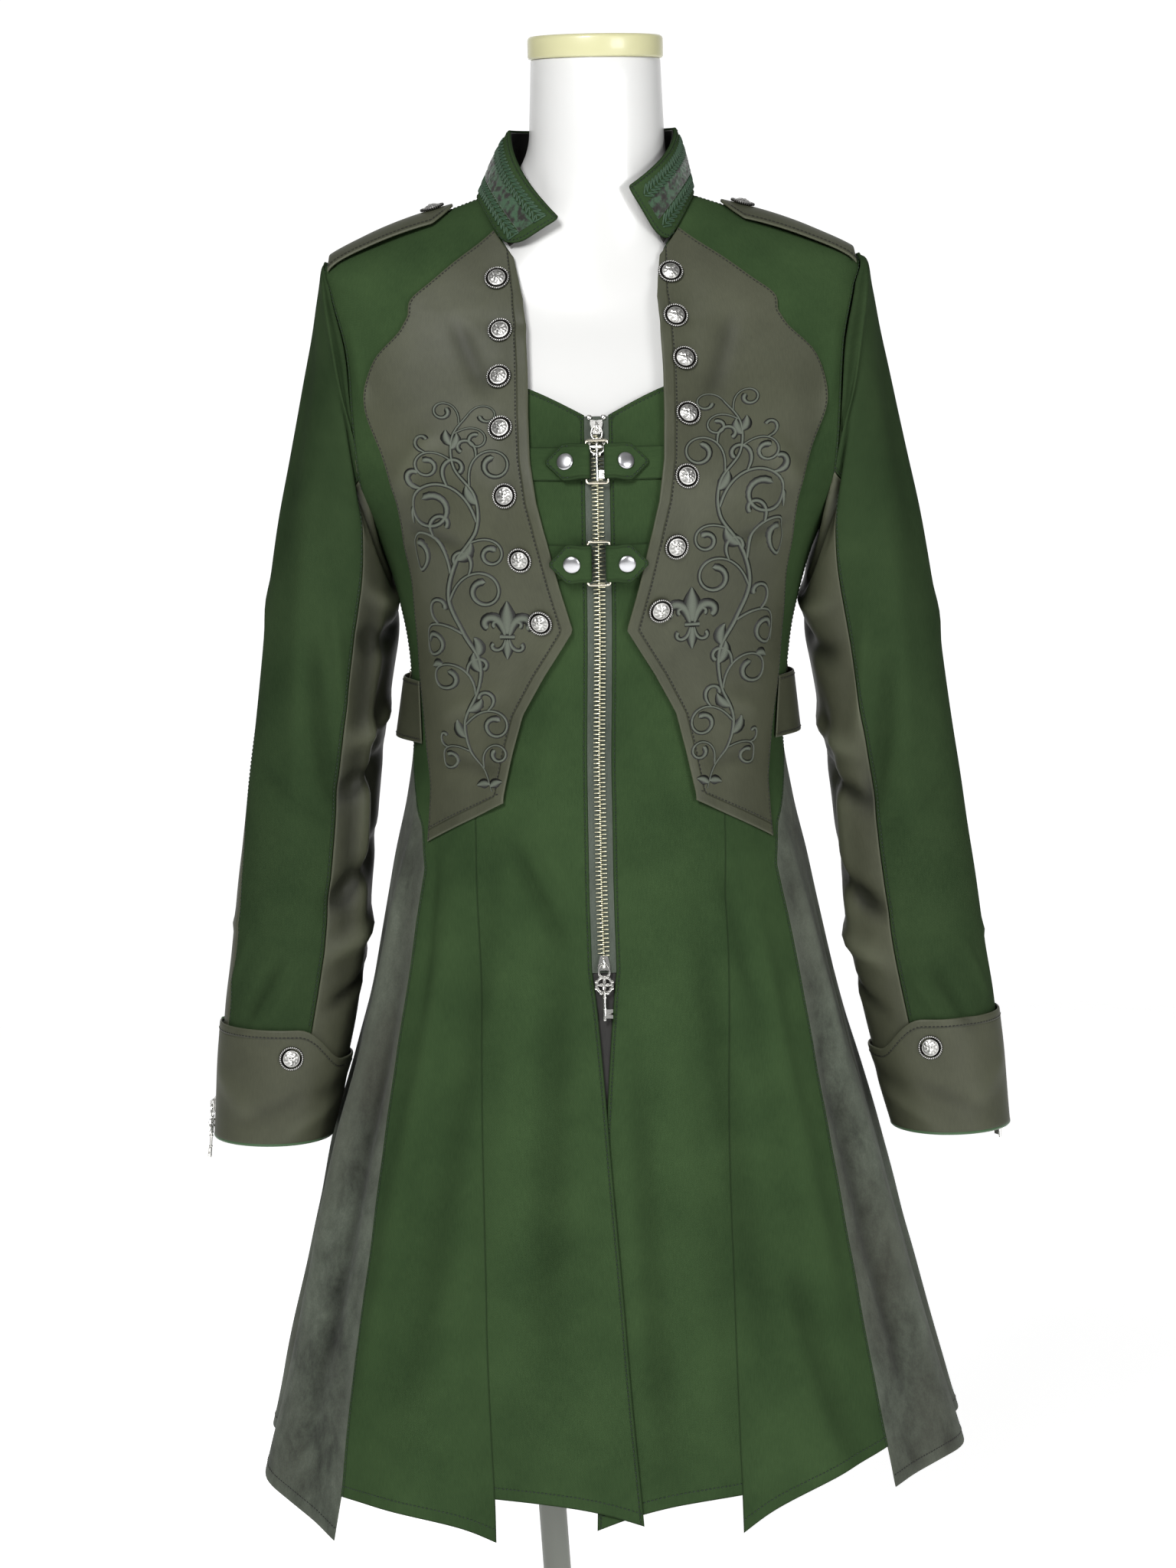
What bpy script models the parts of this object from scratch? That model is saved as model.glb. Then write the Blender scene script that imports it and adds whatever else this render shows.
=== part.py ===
"""A women's military-style tail coat of green twill, worn by a limbless dress form on its stand.

Metres, +Z up. The front of the coat faces -Y, and the wearer's right sleeve is on the -X side.
The origin is on the floor under the body's middle, on the underside of the stand's base.
Every cloth piece is a closed wall laid on one body surface. That surface is a stack of rings:
an angle goes round the body from the front (0) over +X (90) to the back (180), and a level
goes up it. Below the armpit a level is a height; above it the rings tilt over the shoulders.
"""
import math

import bmesh
import bpy
import numpy as np
from mathutils import Matrix, Vector
from mathutils.bvhtree import BVHTree

MM = 0.001

# Cloth: wall thickness of each layer, and the clearances between layers
CLOTH = 1.6 * MM
OVERLAY_CLOTH = 2.0 * MM
COLLAR_CLOTH = 2.4 * MM
STRAP_CLOTH = 1.4 * MM
SEAM_GAP = 0.35 * MM
HIDDEN_SEAM_GAP = 0.8 * MM
LAYER_GAP = 0.8 * MM
FORM_GAP = 3.5 * MM

# Body rings. Columns: level, half width, depth in front, depth behind, how far the ring's front
# hangs below its side, how far its back rises above its side, shift of the ring towards +X
BODY_RINGS = np.array([
    (0.340, 0.3020, 0.222, 0.232, 0.000, 0.000, 0.004),
    (0.460, 0.2690, 0.198, 0.205, 0.000, 0.000, 0.002),
    (0.530, 0.2500, 0.186, 0.190, 0.000, 0.000, 0.000),
    (0.620, 0.2270, 0.170, 0.175, 0.000, 0.000, -0.001),
    (0.700, 0.2080, 0.156, 0.160, 0.000, 0.000, -0.002),
    (0.770, 0.1890, 0.145, 0.149, 0.000, 0.000, -0.002),
    (0.840, 0.1725, 0.134, 0.139, 0.000, 0.000, -0.002),
    (0.910, 0.1575, 0.123, 0.125, 0.000, 0.000, -0.003),
    (0.960, 0.1460, 0.113, 0.110, 0.000, 0.000, -0.003),
    (1.000, 0.1395, 0.106, 0.098, 0.000, 0.000, -0.003),
    (1.045, 0.1405, 0.108, 0.096, 0.000, 0.000, -0.002),
    (1.100, 0.1470, 0.121, 0.104, 0.000, 0.000, -0.001),
    (1.165, 0.1680, 0.136, 0.114, 0.000, 0.000, -0.001),
    (1.210, 0.1960, 0.130, 0.119, 0.004, 0.000, -0.001),
    (1.260, 0.2110, 0.112, 0.120, 0.012, 0.000, -0.001),
    (1.310, 0.2090, 0.092, 0.112, 0.026, 0.003, -0.001),
    (1.348, 0.2040, 0.080, 0.098, 0.041, 0.008, -0.002),
    (1.366, 0.1970, 0.075, 0.088, 0.052, 0.011, -0.002),
    (1.380, 0.1650, 0.072, 0.083, 0.060, 0.012, -0.003),
    (1.394, 0.1280, 0.068, 0.077, 0.069, 0.013, -0.004),
    (1.404, 0.0990, 0.063, 0.069, 0.076, 0.014, -0.005),
    (1.411, 0.0786, 0.058, 0.062, 0.081, 0.015, -0.006),
])

# Folds of the skirt. Columns: angle from the front, width in degrees, rise out (+) or in (-)
SKIRT_FOLDS = np.array([
    (10.0, 7.0, 0.0030),
    (24.0, 6.0, -0.0050),
    (38.0, 7.0, 0.0045),
    (56.0, 6.0, -0.0030),
    (73.0, 7.0, 0.0070),
    (90.0, 7.5, -0.0120),
    (106.5, 7.5, 0.0100),
    (124.0, 7.5, -0.0120),
    (142.0, 9.0, 0.0140),
    (161.0, 8.0, -0.0150),
    (180.0, 8.5, 0.0120),
])
FOLD_TOP = 0.95
FOLD_HEIGHT = 0.50

# Armhole: an ellipse on the body surface, in levels and in degrees
ARMHOLE_BOTTOM = 1.165
ARMHOLE_TOP = 1.366
ARMHOLE_HALF_ANGLE = 31.0
ARMHOLE_STEPS = 16

NECK_LEVEL = 1.411
NECK_END_ANGLE = 46.0

# Levels of the cloth's rows below the armhole, from the hem to the armpit
SKIRT_LEVELS = [0.452, 0.525, 0.600, 0.670, 0.735, 0.795, 0.846, 0.885, 0.915]
WAIST_LEVELS = [0.945, 0.972, 1.005, 1.035, 1.066, 1.100, 1.132]
SHOULDER_LEVELS = [1.380, 1.394, 1.404, NECK_LEVEL]

# Front opening: the edges of the two fronts beside the zip, and how they cross below it
ZIP_HALF_GAP = 0.0088
ZIP_BOTTOM = 0.846
ZIP_TOP = 1.268
VENT_LIFT = 3.2 * MM
HEM_OVERLAP = {-1: 0.0180, 1: -0.0165}

PRINCESS_X = 0.092
NECKLINE_RISE = 0.036

# Seam between the side front and the suede side gore. Columns: level, angle
GORE_SEAM = np.array([
    (0.340, 50.0),
    (0.452, 50.0),
    (0.600, 53.0),
    (0.700, 54.5),
    (0.780, 57.0),
    (0.875, 57.5),
    (0.915, 57.0),
    (0.945, 63.0),
    (0.972, 75.0),
    (1.005, 90.0),
])

# Blunt top end of the gore: its width in degrees, and how far it stays below the seam's meeting
GORE_TIP_WIDTH = 2.4
GORE_TIP_DROP = 0.0040

# Hem levels at each panel's own edges. Columns: edge nearer the front, edge nearer the back
HEM = {
    "front_centre": {-1: (0.446, 0.462), 1: (0.443, 0.462)},
    "front_side": {-1: (0.431, 0.448), 1: (0.435, 0.478)},
    "side_gore": {-1: (0.415, 0.452), 1: (0.448, 0.458)},
}
BACK_HEM_SIDE = 0.450
BACK_HEM_CENTRE = 0.430

# Waistcoat-like overlay. Columns: level, front edge's x, side edge's angle
OVERLAY_EDGES = np.array([
    (0.972, 0.0690, 60.0),
    (1.005, 0.0620, 65.5),
    (1.035, 0.0545, 67.5),
    (1.066, 0.0390, 68.5),
    (1.100, 0.0190, 66.0),
    (1.132, 0.0280, 61.5),
    (1.165, 0.0362, 57.5),
    (1.1727, 0.0382, 55.8),
    (1.1944, 0.0435, 51.5),
    (1.2270, 0.0478, 50.0),
    (1.2655, 0.0488, 52.8),
    (1.3040, 0.0490, 50.5),
    (1.3366, 0.0490, 43.0),
    (1.3583, 0.0490, 42.0),
    (1.3660, 0.0490, 42.8),
    (1.3800, 0.0492, 45.5),
    (1.3940, 0.0497, 50.0),
    (1.4040, 0.0520, 54.0),
    (1.4100, 0.0545, 57.0),
])
OVERLAY_CORNER_ANGLE = 57.0
OVERLAY_CORNER_LEVEL = 0.939
OVERLAY_EDGE_STAND = 2.9 * MM
OVERLAY_EDGE_WIDTH = 0.026

# Stand collar: its top ring, and the height of its front corners
COLLAR_TOP_HALF_WIDTH = 0.0605
COLLAR_TOP_DEPTH = 0.0640
COLLAR_TOP_LEVEL = 1.4625
COLLAR_TOP_END_ANGLE = 24.0
COLLAR_CORNER_LEVEL = {-1: 1.397, 1: 1.419}
COLLAR_CURVE = 2.0 * MM

# Sleeve rings. Columns: outer side's x and z, inner side's x and z, half depth, middle's y
SLEEVE_RINGS = np.array([
    (0.2055, 1.3610, 0.1752, 1.1590, 0.0640, 0.002),
    (0.2090, 1.3380, 0.1740, 1.1460, 0.0660, 0.003),
    (0.2195, 1.2850, 0.1690, 1.1230, 0.0660, 0.004),
    (0.2335, 1.2200, 0.1610, 1.0950, 0.0640, 0.005),
    (0.2480, 1.1450, 0.1610, 1.0580, 0.0610, 0.006),
    (0.2597, 1.0600, 0.1650, 1.0080, 0.0570, 0.007),
    (0.2695, 0.9850, 0.1690, 0.9600, 0.0535, 0.005),
    (0.2795, 0.9100, 0.1745, 0.9050, 0.0505, 0.002),
    (0.2880, 0.8450, 0.1830, 0.8450, 0.0480, -0.001),
    (0.2955, 0.7850, 0.1975, 0.7850, 0.0455, -0.003),
    (0.3020, 0.7030, 0.2200, 0.7030, 0.0430, -0.005),
])
SLEEVE_STEPS = 17
SLEEVE_SWING = {-1: 0.0, 1: 0.006}
SLEEVE_FRONT_SEAM = 112.5
SLEEVE_BACK_SEAM_TOP = -112.5
SLEEVE_BACK_SEAM_CUFF = {-1: 24.0, 1: -12.0}

# Turned-back cuffs
CUFF_CLOTH = 2.0 * MM
CUFF_GAP = 1.3 * MM
CUFF_START = 8.93
CUFF_LOW_START = 9.28
CUFF_END = 10.02
CUFF_BUTTON_STEP = 10.22
CUFF_BUTTON_ANGLE = 100.0

# Buttons of the overlay, top to bottom. Columns: level and x on the -X side, on the +X side
OVERLAY_BUTTONS = np.array([
    (1.398, 0.0680, 1.402, 0.0610),
    (1.352, 0.0680, 1.371, 0.0605),
    (1.301, 0.0700, 1.317, 0.0650),
    (1.254, 0.0690, 1.264, 0.0660),
    (1.200, 0.0660, 1.213, 0.0640),
    (1.152, 0.0560, 1.160, 0.0550),
    (1.106, 0.0420, 1.114, 0.0430),
])
BUTTON_RADIUS = 10.0 * MM
# Button profile. Columns: radius, height
BUTTON_PROFILE = [(9.4, 0.0), (10.0, 1.5), (7.6, 2.1), (4.6, 3.9), (0.0, 4.7)]
BUTTON_SIDES = 12
BUTTON_GAP = 0.9 * MM
SEAT_GAP = 0.4 * MM

# Shoulder tabs, from the sleeve seam inwards
TAB_OUTER_X = 0.1945
TAB_INNER_X = 0.0990
TAB_HALF_WIDTH = 0.0200
TAB_POINT = 0.0160
TAB_STAND = 2.4 * MM
TAB_GAP = 1.6 * MM
TAB_CLOTH = 2.2 * MM
TAB_BUTTON_X = 0.1140

# Two straps across the front, each with a ring between its pointed ends
STRAPS = {
    "upper": {"level": 1.2255, "height": 0.0270, "tip": 0.0375, "tip_lift": 0.0056, "reach": 0.0515},
    "lower": {"level": 1.1500, "height": 0.0255, "tip": 0.0360, "tip_lift": 0.0094, "reach": 0.0375},
}
RING_WIRE = 1.0 * MM
RING_HALF_WIDTH = 8.0 * MM
RING_HALF_HEIGHT = 16.2 * MM
RING_CORNER = 2.0 * MM
RING_LIFT = 7.8 * MM
FOLD_CLEARANCE = 0.55 * MM
STRAP_LOW_LIFT = 2.8 * MM

# Side straps at the waist, which stand off the body and hold a ring at their back end
SIDE_STRAP_LEVELS = (1.006, 1.054)
SIDE_STRAP_START = 70.0
SIDE_STRAP_FOLD = 100.0
SIDE_STRAP_BACK = 94.0
SIDE_STRAP_STAND = 13.0 * MM
SIDE_STRAP_TOP_SHARE = 0.35
SIDE_RING_BACK = 106.0
SIDE_RING_LIFT = 10.5 * MM
BACK_TAB_END = 126.0

# Zip sliders and their key-shaped pulls, in millimetres of their own frames
SLIDER_LIFT = 1.5 * MM
SLIDER_SIZE = (8.4, 11.0, 2.4)
BRIDGE_SIZE = (2.0, 7.4, 2.7)
BRIDGE_HOLE = (5.0, 1.8)
PIVOT_HEIGHT = 3.3
BAIL_AXES = (4.0, 5.5)
BAIL_WIRE = 0.65
BOW_CENTRE = 15.7
BOW_RADIUS = 5.7
BOW_WIRE = 1.0
SHAFT_ENDS = (20.5, 42.0)
SHAFT_RADIUS = 1.25
BIT_ENDS = (33.5, 40.5)
BIT_REACH = 6.2
UPPER_SLIDER_LEVEL = 1.2560
UPPER_KEY_END_LIFT = 3.6 * MM
LOWER_KEY_END_LIFT = 7.2 * MM
CUFF_KEY_END_HEIGHT = 3.6 * MM
LOWER_SLIDER_LEVEL = 0.8530
CUFF_SLIDER_STEP = 9.78
CUFF_SLIDER_ANGLE = {-1: -8.0, 1: -34.0}

# Dress form and stand
FORM_BOTTOM = 0.800
FORM_SIDE_LIMIT = 0.1660
FORM_COLUMNS = 22
# How far the form stays inside the coat. Columns: level, inset
FORM_INSET = np.array([
    (0.800, 0.0270),
    (0.860, 0.0190),
    (0.915, 0.0110),
    (0.960, 0.0060),
    (1.005, 0.0050),
    (1.066, 0.0040),
    (1.100, FORM_GAP),
    (1.411, FORM_GAP),
])
NECK_RADIUS = 0.0503
NECK_TOP_RADIUS = 0.0484
NECK_X = 0.0033
NECK_STRAIGHT = 1.4640
NECK_TOP = 1.5134
CAP_RADIUS = 0.0505
CAP_HEIGHT = 0.0170
CAP_BEVEL = 0.0016
BASE_RADIUS = 0.1600
BASE_X = -0.0280
BASE_HEIGHT = 0.0140
BASE_BEVEL = 0.0040
COLUMN_RADIUS = 0.0108
COLUMN_TOP_X = -0.0715
SOCKET_RADIUS = 0.0200
SOCKET_HEIGHT = 0.0300

# Finishes. Columns: sRGB colour, roughness, metallic
FINISHES = {
    "green_twill": ("3C4F36", 0.85, 0.0),
    "taupe_sateen": ("57554B", 0.70, 0.0),
    "grey_suede": ("4A4E4A", 0.95, 0.0),
    "zip_tape": ("585C58", 0.85, 0.0),
    "antique_silver": ("A9A8A2", 0.35, 1.0),
    "bright_nickel": ("C6C6C2", 0.20, 1.0),
    "white_gloss": ("EDEEEA", 0.25, 0.0),
    "yellow_gloss": ("DEDA96", 0.30, 0.0),
    "grey_paint": ("74776F", 0.45, 0.0),
}
SIDES = {-1: "left", 1: "right"}


def finish(name):
    """Material of one finish, made on its first use."""
    material = bpy.data.materials.get(name)
    if material:
        return material
    colour, roughness, metallic = FINISHES[name]
    channels = [int(colour[i:i + 2], 16) / 255 for i in (0, 2, 4)]
    linear = [c / 12.92 if c < 0.04045 else ((c + 0.055) / 1.055) ** 2.4 for c in channels]
    material = bpy.data.materials.new(name)
    material.use_nodes = True
    shader = material.node_tree.nodes["Principled BSDF"]
    shader.inputs["Base Color"].default_value = (*linear, 1.0)
    shader.inputs["Roughness"].default_value = roughness
    shader.inputs["Metallic"].default_value = metallic
    return material


def add_object(name, mesh, finish_name, place=None):
    """Put a mesh in the scene as one named piece with its own finish."""
    obj = bpy.data.objects.new(name, mesh)
    mesh.materials.append(finish(finish_name))
    bpy.context.scene.collection.objects.link(obj)
    if place is not None:
        obj.matrix_world = place
    return obj


def mesh_from(name, points, faces):
    """Closed mesh from points and faces, its faces turned outwards and shaded smooth."""
    mesh = bpy.data.meshes.new(name)
    mesh.from_pydata([tuple(p) for p in points], [], faces)
    bm = bmesh.new()
    bm.from_mesh(mesh)
    bmesh.ops.remove_doubles(bm, verts=bm.verts, dist=1e-6)
    bmesh.ops.recalc_face_normals(bm, faces=bm.faces)
    bm.to_mesh(mesh)
    bm.free()
    mesh.shade_smooth()
    mesh.set_sharp_from_angle(angle=math.radians(40))
    return mesh


def blend(low, high, value):
    """Smooth step from 0 at low to 1 at high."""
    t = np.clip((value - low) / (high - low), 0.0, 1.0)
    return t * t * (3 - 2 * t)


def read_table(table, column, at):
    """Smooth curve through one column of a table, against its first column."""
    xs, ys = table[:, 0], table[:, column]
    slopes = np.gradient(ys, xs)
    i = np.clip(np.searchsorted(xs, at, side="right") - 1, 0, len(xs) - 2)
    step = xs[i + 1] - xs[i]
    t = (at - xs[i]) / step
    start = (1 + 2 * t) * (1 - t) ** 2 * ys[i] + t * (1 - t) ** 2 * step * slopes[i]
    end = t * t * (3 - 2 * t) * ys[i + 1] + t * t * (t - 1) * step * slopes[i + 1]
    return start + end


def skirt_fold(angle, level):
    """How far the skirt's folds move a point out from its ring."""
    around = np.abs((np.degrees(angle) + 180) % 360 - 180)
    total = np.zeros_like(around)
    for centre, width, rise in SKIRT_FOLDS:
        total = total + rise * np.exp(-((around - centre) / width) ** 2)
    return total * np.clip((FOLD_TOP - level) / FOLD_HEIGHT, 0.0, 1.2) ** 1.5


def body_point(angle, level):
    """Point of the body surface, the inner face of the coat's cloth. Angles in radians."""
    half, front, back, drop, rise, shift = [read_table(BODY_RINGS, k, level) for k in range(1, 7)]
    fold = skirt_fold(angle, level)
    s, c = np.sin(angle), np.cos(angle)
    x = shift + (half + fold) * s
    y = -(np.where(c > 0, front, back) + fold) * c
    z = level + np.where(c > 0, -drop, rise) * c * c
    return np.stack([x, y, z], axis=-1)


def body_normal(angle, level):
    """Outward direction of the body surface, from small steps along it."""
    step = 1e-3
    across = body_point(angle + step, level) - body_point(angle - step, level)
    top = np.minimum(level + step, NECK_LEVEL)
    up = body_point(angle, top) - body_point(angle, level - step)
    normal = np.cross(across, up)
    return normal / np.linalg.norm(normal, axis=-1, keepdims=True)


def lifted(angle, level, lift):
    """Body surface moved out by a lift."""
    angle, level, lift = np.broadcast_arrays(angle, level, lift)
    return body_point(angle, level) + body_normal(angle, level) * np.asarray(lift)[..., None]


def angle_at(x, level):
    """Angle at which the ring of a level reaches a distance x from its middle."""
    half = read_table(BODY_RINGS, 1, level)
    return np.arcsin(np.clip(x / half, -1.0, 1.0))


def frame_at(origin, across, up, spin=0.0):
    """Placement whose X goes across, Y up and Z out of a surface."""
    x_axis = Vector(across).normalized()
    z_axis = x_axis.cross(Vector(up)).normalized()
    y_axis = z_axis.cross(x_axis)
    turn = Matrix((x_axis, y_axis, z_axis)).transposed().to_4x4()
    return Matrix.Translation(Vector(origin)) @ turn @ Matrix.Rotation(spin, 4, "Z")


def body_frame(angle, level, lift, spin=0.0):
    """Placement on the body surface, at a lift above it."""
    step = 1e-3
    across = body_point(angle + step, level) - body_point(angle - step, level)
    up = body_point(angle, min(level + step, NECK_LEVEL)) - body_point(angle, level - step)
    return frame_at(lifted(angle, level, lift), across, up, spin)


def wall(name, outer, inner, finish_name, ring=False):
    """Closed wall between two grids of points; ring joins the last column to the first."""
    rows, columns = outer.shape[:2]
    count = rows * columns

    def corner(i, j, layer):
        return layer * count + i * columns + j % columns

    faces = []
    spans = columns if ring else columns - 1
    for i in range(rows - 1):
        for j in range(spans):
            for layer in (0, 1):
                faces.append([corner(i, j, layer), corner(i, j + 1, layer),
                              corner(i + 1, j + 1, layer), corner(i + 1, j, layer)])
    for j in range(spans):
        for i in (0, rows - 1):
            faces.append([corner(i, j, 0), corner(i, j + 1, 0),
                          corner(i, j + 1, 1), corner(i, j, 1)])
    if not ring:
        for i in range(rows - 1):
            for j in (0, columns - 1):
                faces.append([corner(i, j, 0), corner(i + 1, j, 0),
                              corner(i + 1, j, 1), corner(i, j, 1)])
    points = np.concatenate([outer.reshape(-1, 3), inner.reshape(-1, 3)])
    return add_object(name, mesh_from(name, points, faces), finish_name)


def body_wall(name, angle, level, low, thickness, finish_name):
    """Cloth wall on the body surface, its inner face at the lift called low."""
    outer = lifted(angle, level, low + thickness)
    inner = lifted(angle, level, low)
    return wall(name, outer, inner, finish_name)


def armhole_steps():
    """Angles round the armhole, from its top (0) over the front to its bottom (180)."""
    return np.radians(np.linspace(0, 180, ARMHOLE_STEPS // 2 + 1))


def armhole_levels():
    """Levels of the rows beside the armhole, going up."""
    middle = (ARMHOLE_TOP + ARMHOLE_BOTTOM) / 2
    half = (ARMHOLE_TOP - ARMHOLE_BOTTOM) / 2
    return list(middle + half * np.cos(armhole_steps()[::-1]))


def armhole_half_angle(level):
    """Half of the armhole's width in degrees at a level, and 0 above and below it."""
    middle = (ARMHOLE_TOP + ARMHOLE_BOTTOM) / 2
    half = (ARMHOLE_TOP - ARMHOLE_BOTTOM) / 2
    share = np.clip(1 - ((level - middle) / half) ** 2, 0.0, 1.0)
    return ARMHOLE_HALF_ANGLE * np.sqrt(share)


def rows_between(low, high):
    """Levels of all the cloth's rows within a range."""
    levels = np.array(SKIRT_LEVELS + WAIST_LEVELS + armhole_levels() + SHOULDER_LEVELS)
    return levels[(levels >= low - 1e-6) & (levels <= high + 1e-6)]


def hang_hem(level, hem):
    """Move a panel's lowest rows so that its first row lies on the hem."""
    first, last = SKIRT_LEVELS[0], SKIRT_LEVELS[4]
    share = np.clip((last - level) / (last - first), 0.0, 1.0)
    return level + (hem - first) * share


def seam_angle(level):
    """Angle of the side seam: the gore's seam below, the side above it, then the armhole."""
    gore = np.interp(level, GORE_SEAM[:, 0], GORE_SEAM[:, 1])
    return np.radians(gore - armhole_half_angle(level))


def gap_angle(level):
    """Half of a seam's gap as an angle at a level."""
    return SEAM_GAP / 2 / read_table(BODY_RINGS, 1, level)


def front_edge_x(side, level):
    """Distance of a front's free edge from the middle, towards its own side."""
    below = np.clip((ZIP_BOTTOM - level) / (ZIP_BOTTOM - SKIRT_LEVELS[0]), 0.0, 1.0) ** 0.8
    return ZIP_HALF_GAP + (side * HEM_OVERLAP[side] - ZIP_HALF_GAP) * below


def vent_lift(x, level):
    """Lift of the front that laps over the other, below the zip and near the middle."""
    near = 1 - blend(0.030, 0.085, np.abs(x))
    return VENT_LIFT * near * blend(ZIP_BOTTOM, ZIP_BOTTOM - 0.055, level)


def front_centre(side):
    """Centre front: from the zip or vent out to the princess seam, up to the low neckline."""
    levels = rows_between(SKIRT_LEVELS[0], ZIP_TOP - 0.004)
    levels = np.append(levels, ZIP_TOP)[:, None]
    share = np.linspace(0, 1, 6)[None, :]
    start = front_edge_x(side, levels)
    end = PRINCESS_X - SEAM_GAP / 2 - HIDDEN_SEAM_GAP * blend(1.160, 1.200, levels)
    x = start + (end - start) * share
    out = np.clip((x - ZIP_HALF_GAP) / (PRINCESS_X - ZIP_HALF_GAP), 0, 1)
    rise = NECKLINE_RISE * np.sin(math.pi / 2 * out)
    hem = np.interp(share, [0, 1], HEM["front_centre"][side])
    level = hang_hem(levels + rise * blend(1.165, ZIP_TOP, levels), hem)
    angle = angle_at(x, level)
    low = vent_lift(x, level) if side < 0 else np.zeros_like(level)
    name = f"front_centre_{SIDES[side]}"
    return body_wall(name, side * angle, level, low, CLOTH, "green_twill")


def front_side(side):
    """Side front: from the princess seam to the gore, side and armhole, up to the collar."""
    levels = rows_between(SKIRT_LEVELS[0], NECK_LEVEL)[:, None]
    share = np.linspace(0, 1, 6)[None, :]
    hem = np.interp(share, [0, 1], HEM["front_side"][side])
    level = hang_hem(levels, hem)
    front = level[:, :1]
    yoke = np.interp(front, OVERLAY_EDGES[:, 0], OVERLAY_EDGES[:, 1]) + 0.006
    inner_x = np.where(front > ZIP_TOP + NECKLINE_RISE, yoke, PRINCESS_X + SEAM_GAP / 2)
    start = angle_at(inner_x, front)
    collar_end = np.radians(NECK_END_ANGLE)
    start = start + (collar_end - start) * blend(1.404, NECK_LEVEL, front)
    end = seam_angle(level[:, -1:]) - gap_angle(front)
    angle = start + (end - start) * share
    name = f"front_side_{SIDES[side]}"
    return body_wall(name, side * angle, level, 0.0, CLOTH, "green_twill")


def side_gore(side):
    """Suede gore at the side of the skirt, pointed where it meets the side seam."""
    levels = rows_between(SKIRT_LEVELS[0], GORE_SEAM[-1, 0])[:, None]
    share = np.linspace(0, 1, 9)[None, :]
    tip = blend(0.972, 1.005, levels)
    front_hem, side_hem = HEM["side_gore"][side]
    hem = np.interp(share, [0, 0.5, 1], [front_hem, side_hem, BACK_HEM_SIDE])
    level = hang_hem(levels - GORE_TIP_DROP * tip, hem)
    widen = gap_angle(levels) - np.radians(GORE_TIP_WIDTH / 2) * tip
    start = seam_angle(hang_hem(levels, hem[:, :1])) + widen
    end = math.pi - seam_angle(hang_hem(levels, hem[:, -1:])) - widen
    angle = start + (end - start) * share
    name = f"side_gore_{SIDES[side]}"
    return body_wall(name, side * angle, level, 0.0, CLOTH, "grey_suede")


def back():
    """Back, cut in one on its fold, between the side seams, gores and armholes."""
    levels = rows_between(SKIRT_LEVELS[0], NECK_LEVEL)[:, None]
    share = np.linspace(0, 1, 13)[None, :]
    hem = BACK_HEM_SIDE + (BACK_HEM_CENTRE - BACK_HEM_SIDE) * np.sin(math.pi * share)
    level = hang_hem(levels, hem)
    start = math.pi - seam_angle(level[:, :1]) + gap_angle(levels)
    angle = start + (2 * math.pi - 2 * start) * share
    return body_wall("back", angle, level, 0.0, CLOTH, "green_twill")


def overlay_lift(angle, level):
    """Lift of the overlay's inner face; its front edge stands off, and the straps go under it."""
    x = np.sin(angle) * read_table(BODY_RINGS, 1, level)
    edge = np.interp(level, OVERLAY_EDGES[:, 0], OVERLAY_EDGES[:, 1])
    stand = 1 - blend(0.0, OVERLAY_EDGE_WIDTH, x - edge)
    return CLOTH + LAYER_GAP + OVERLAY_EDGE_STAND * stand


def overlay(side):
    """Overlay of taupe cloth on the chest, from the collar to a point below the waist."""
    share = np.linspace(0, 1, 8)[None, :]
    levels = OVERLAY_EDGES[:, 0][:, None]
    start = angle_at(OVERLAY_EDGES[:, 1][:, None], levels)
    end = np.radians(OVERLAY_EDGES[:, 2][:, None])
    angle = start + (end - start) * share
    level = levels + 0 * share
    corner = np.radians(OVERLAY_CORNER_ANGLE)
    bottom_angle = start[:1] + (corner - start[:1]) * share
    bottom_level = level[0, 0] - (level[0, 0] - OVERLAY_CORNER_LEVEL) * share - 0.004
    angle = np.concatenate([bottom_angle, angle])
    level = np.concatenate([bottom_level, level])
    low = overlay_lift(angle, level)
    name = f"overlay_{SIDES[side]}"
    return body_wall(name, side * angle, level, low, OVERLAY_CLOTH, "taupe_sateen")


def collar_point(along, height, lift):
    """Point of the collar: along it from -1 to 1, and up it from 0 to 1."""
    base_angle = math.pi - along * (math.pi - math.radians(NECK_END_ANGLE))
    top_angle = math.pi - along * (math.pi - math.radians(COLLAR_TOP_END_ANGLE))
    base = lifted(base_angle, np.full_like(base_angle, NECK_LEVEL), CLOTH + LAYER_GAP)
    side_along = 0.5 * math.pi / (math.pi - math.radians(COLLAR_TOP_END_ANGLE))
    fall = np.clip((np.abs(along) - side_along) / (1 - side_along), 0.0, 1.0)
    corner = np.where(along < 0, COLLAR_CORNER_LEVEL[-1], COLLAR_CORNER_LEVEL[1])
    top_z = COLLAR_TOP_LEVEL - (COLLAR_TOP_LEVEL - corner) * fall
    top = np.stack([COLLAR_TOP_HALF_WIDTH * np.sin(top_angle),
                    -COLLAR_TOP_DEPTH * np.cos(top_angle), top_z], axis=-1)
    out = np.stack([np.sin(top_angle), -np.cos(top_angle), 0 * top_angle], axis=-1)
    bulge = COLLAR_CURVE * np.sin(math.pi * height)
    share = height[..., None]
    return base + (top - base) * share + out * (bulge + lift)[..., None]


def collar():
    """Stand collar, open in front, its corners leaning in over the neck."""
    along = np.linspace(-1, 1, 27)[None, :]
    height = np.linspace(0, 1, 5)[:, None]
    along, height = np.broadcast_arrays(along, height)
    outer = collar_point(along, height, np.full(along.shape, COLLAR_CLOTH))
    inner = collar_point(along, height, np.zeros(along.shape))
    return wall("collar", outer, inner, "green_twill")


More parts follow.
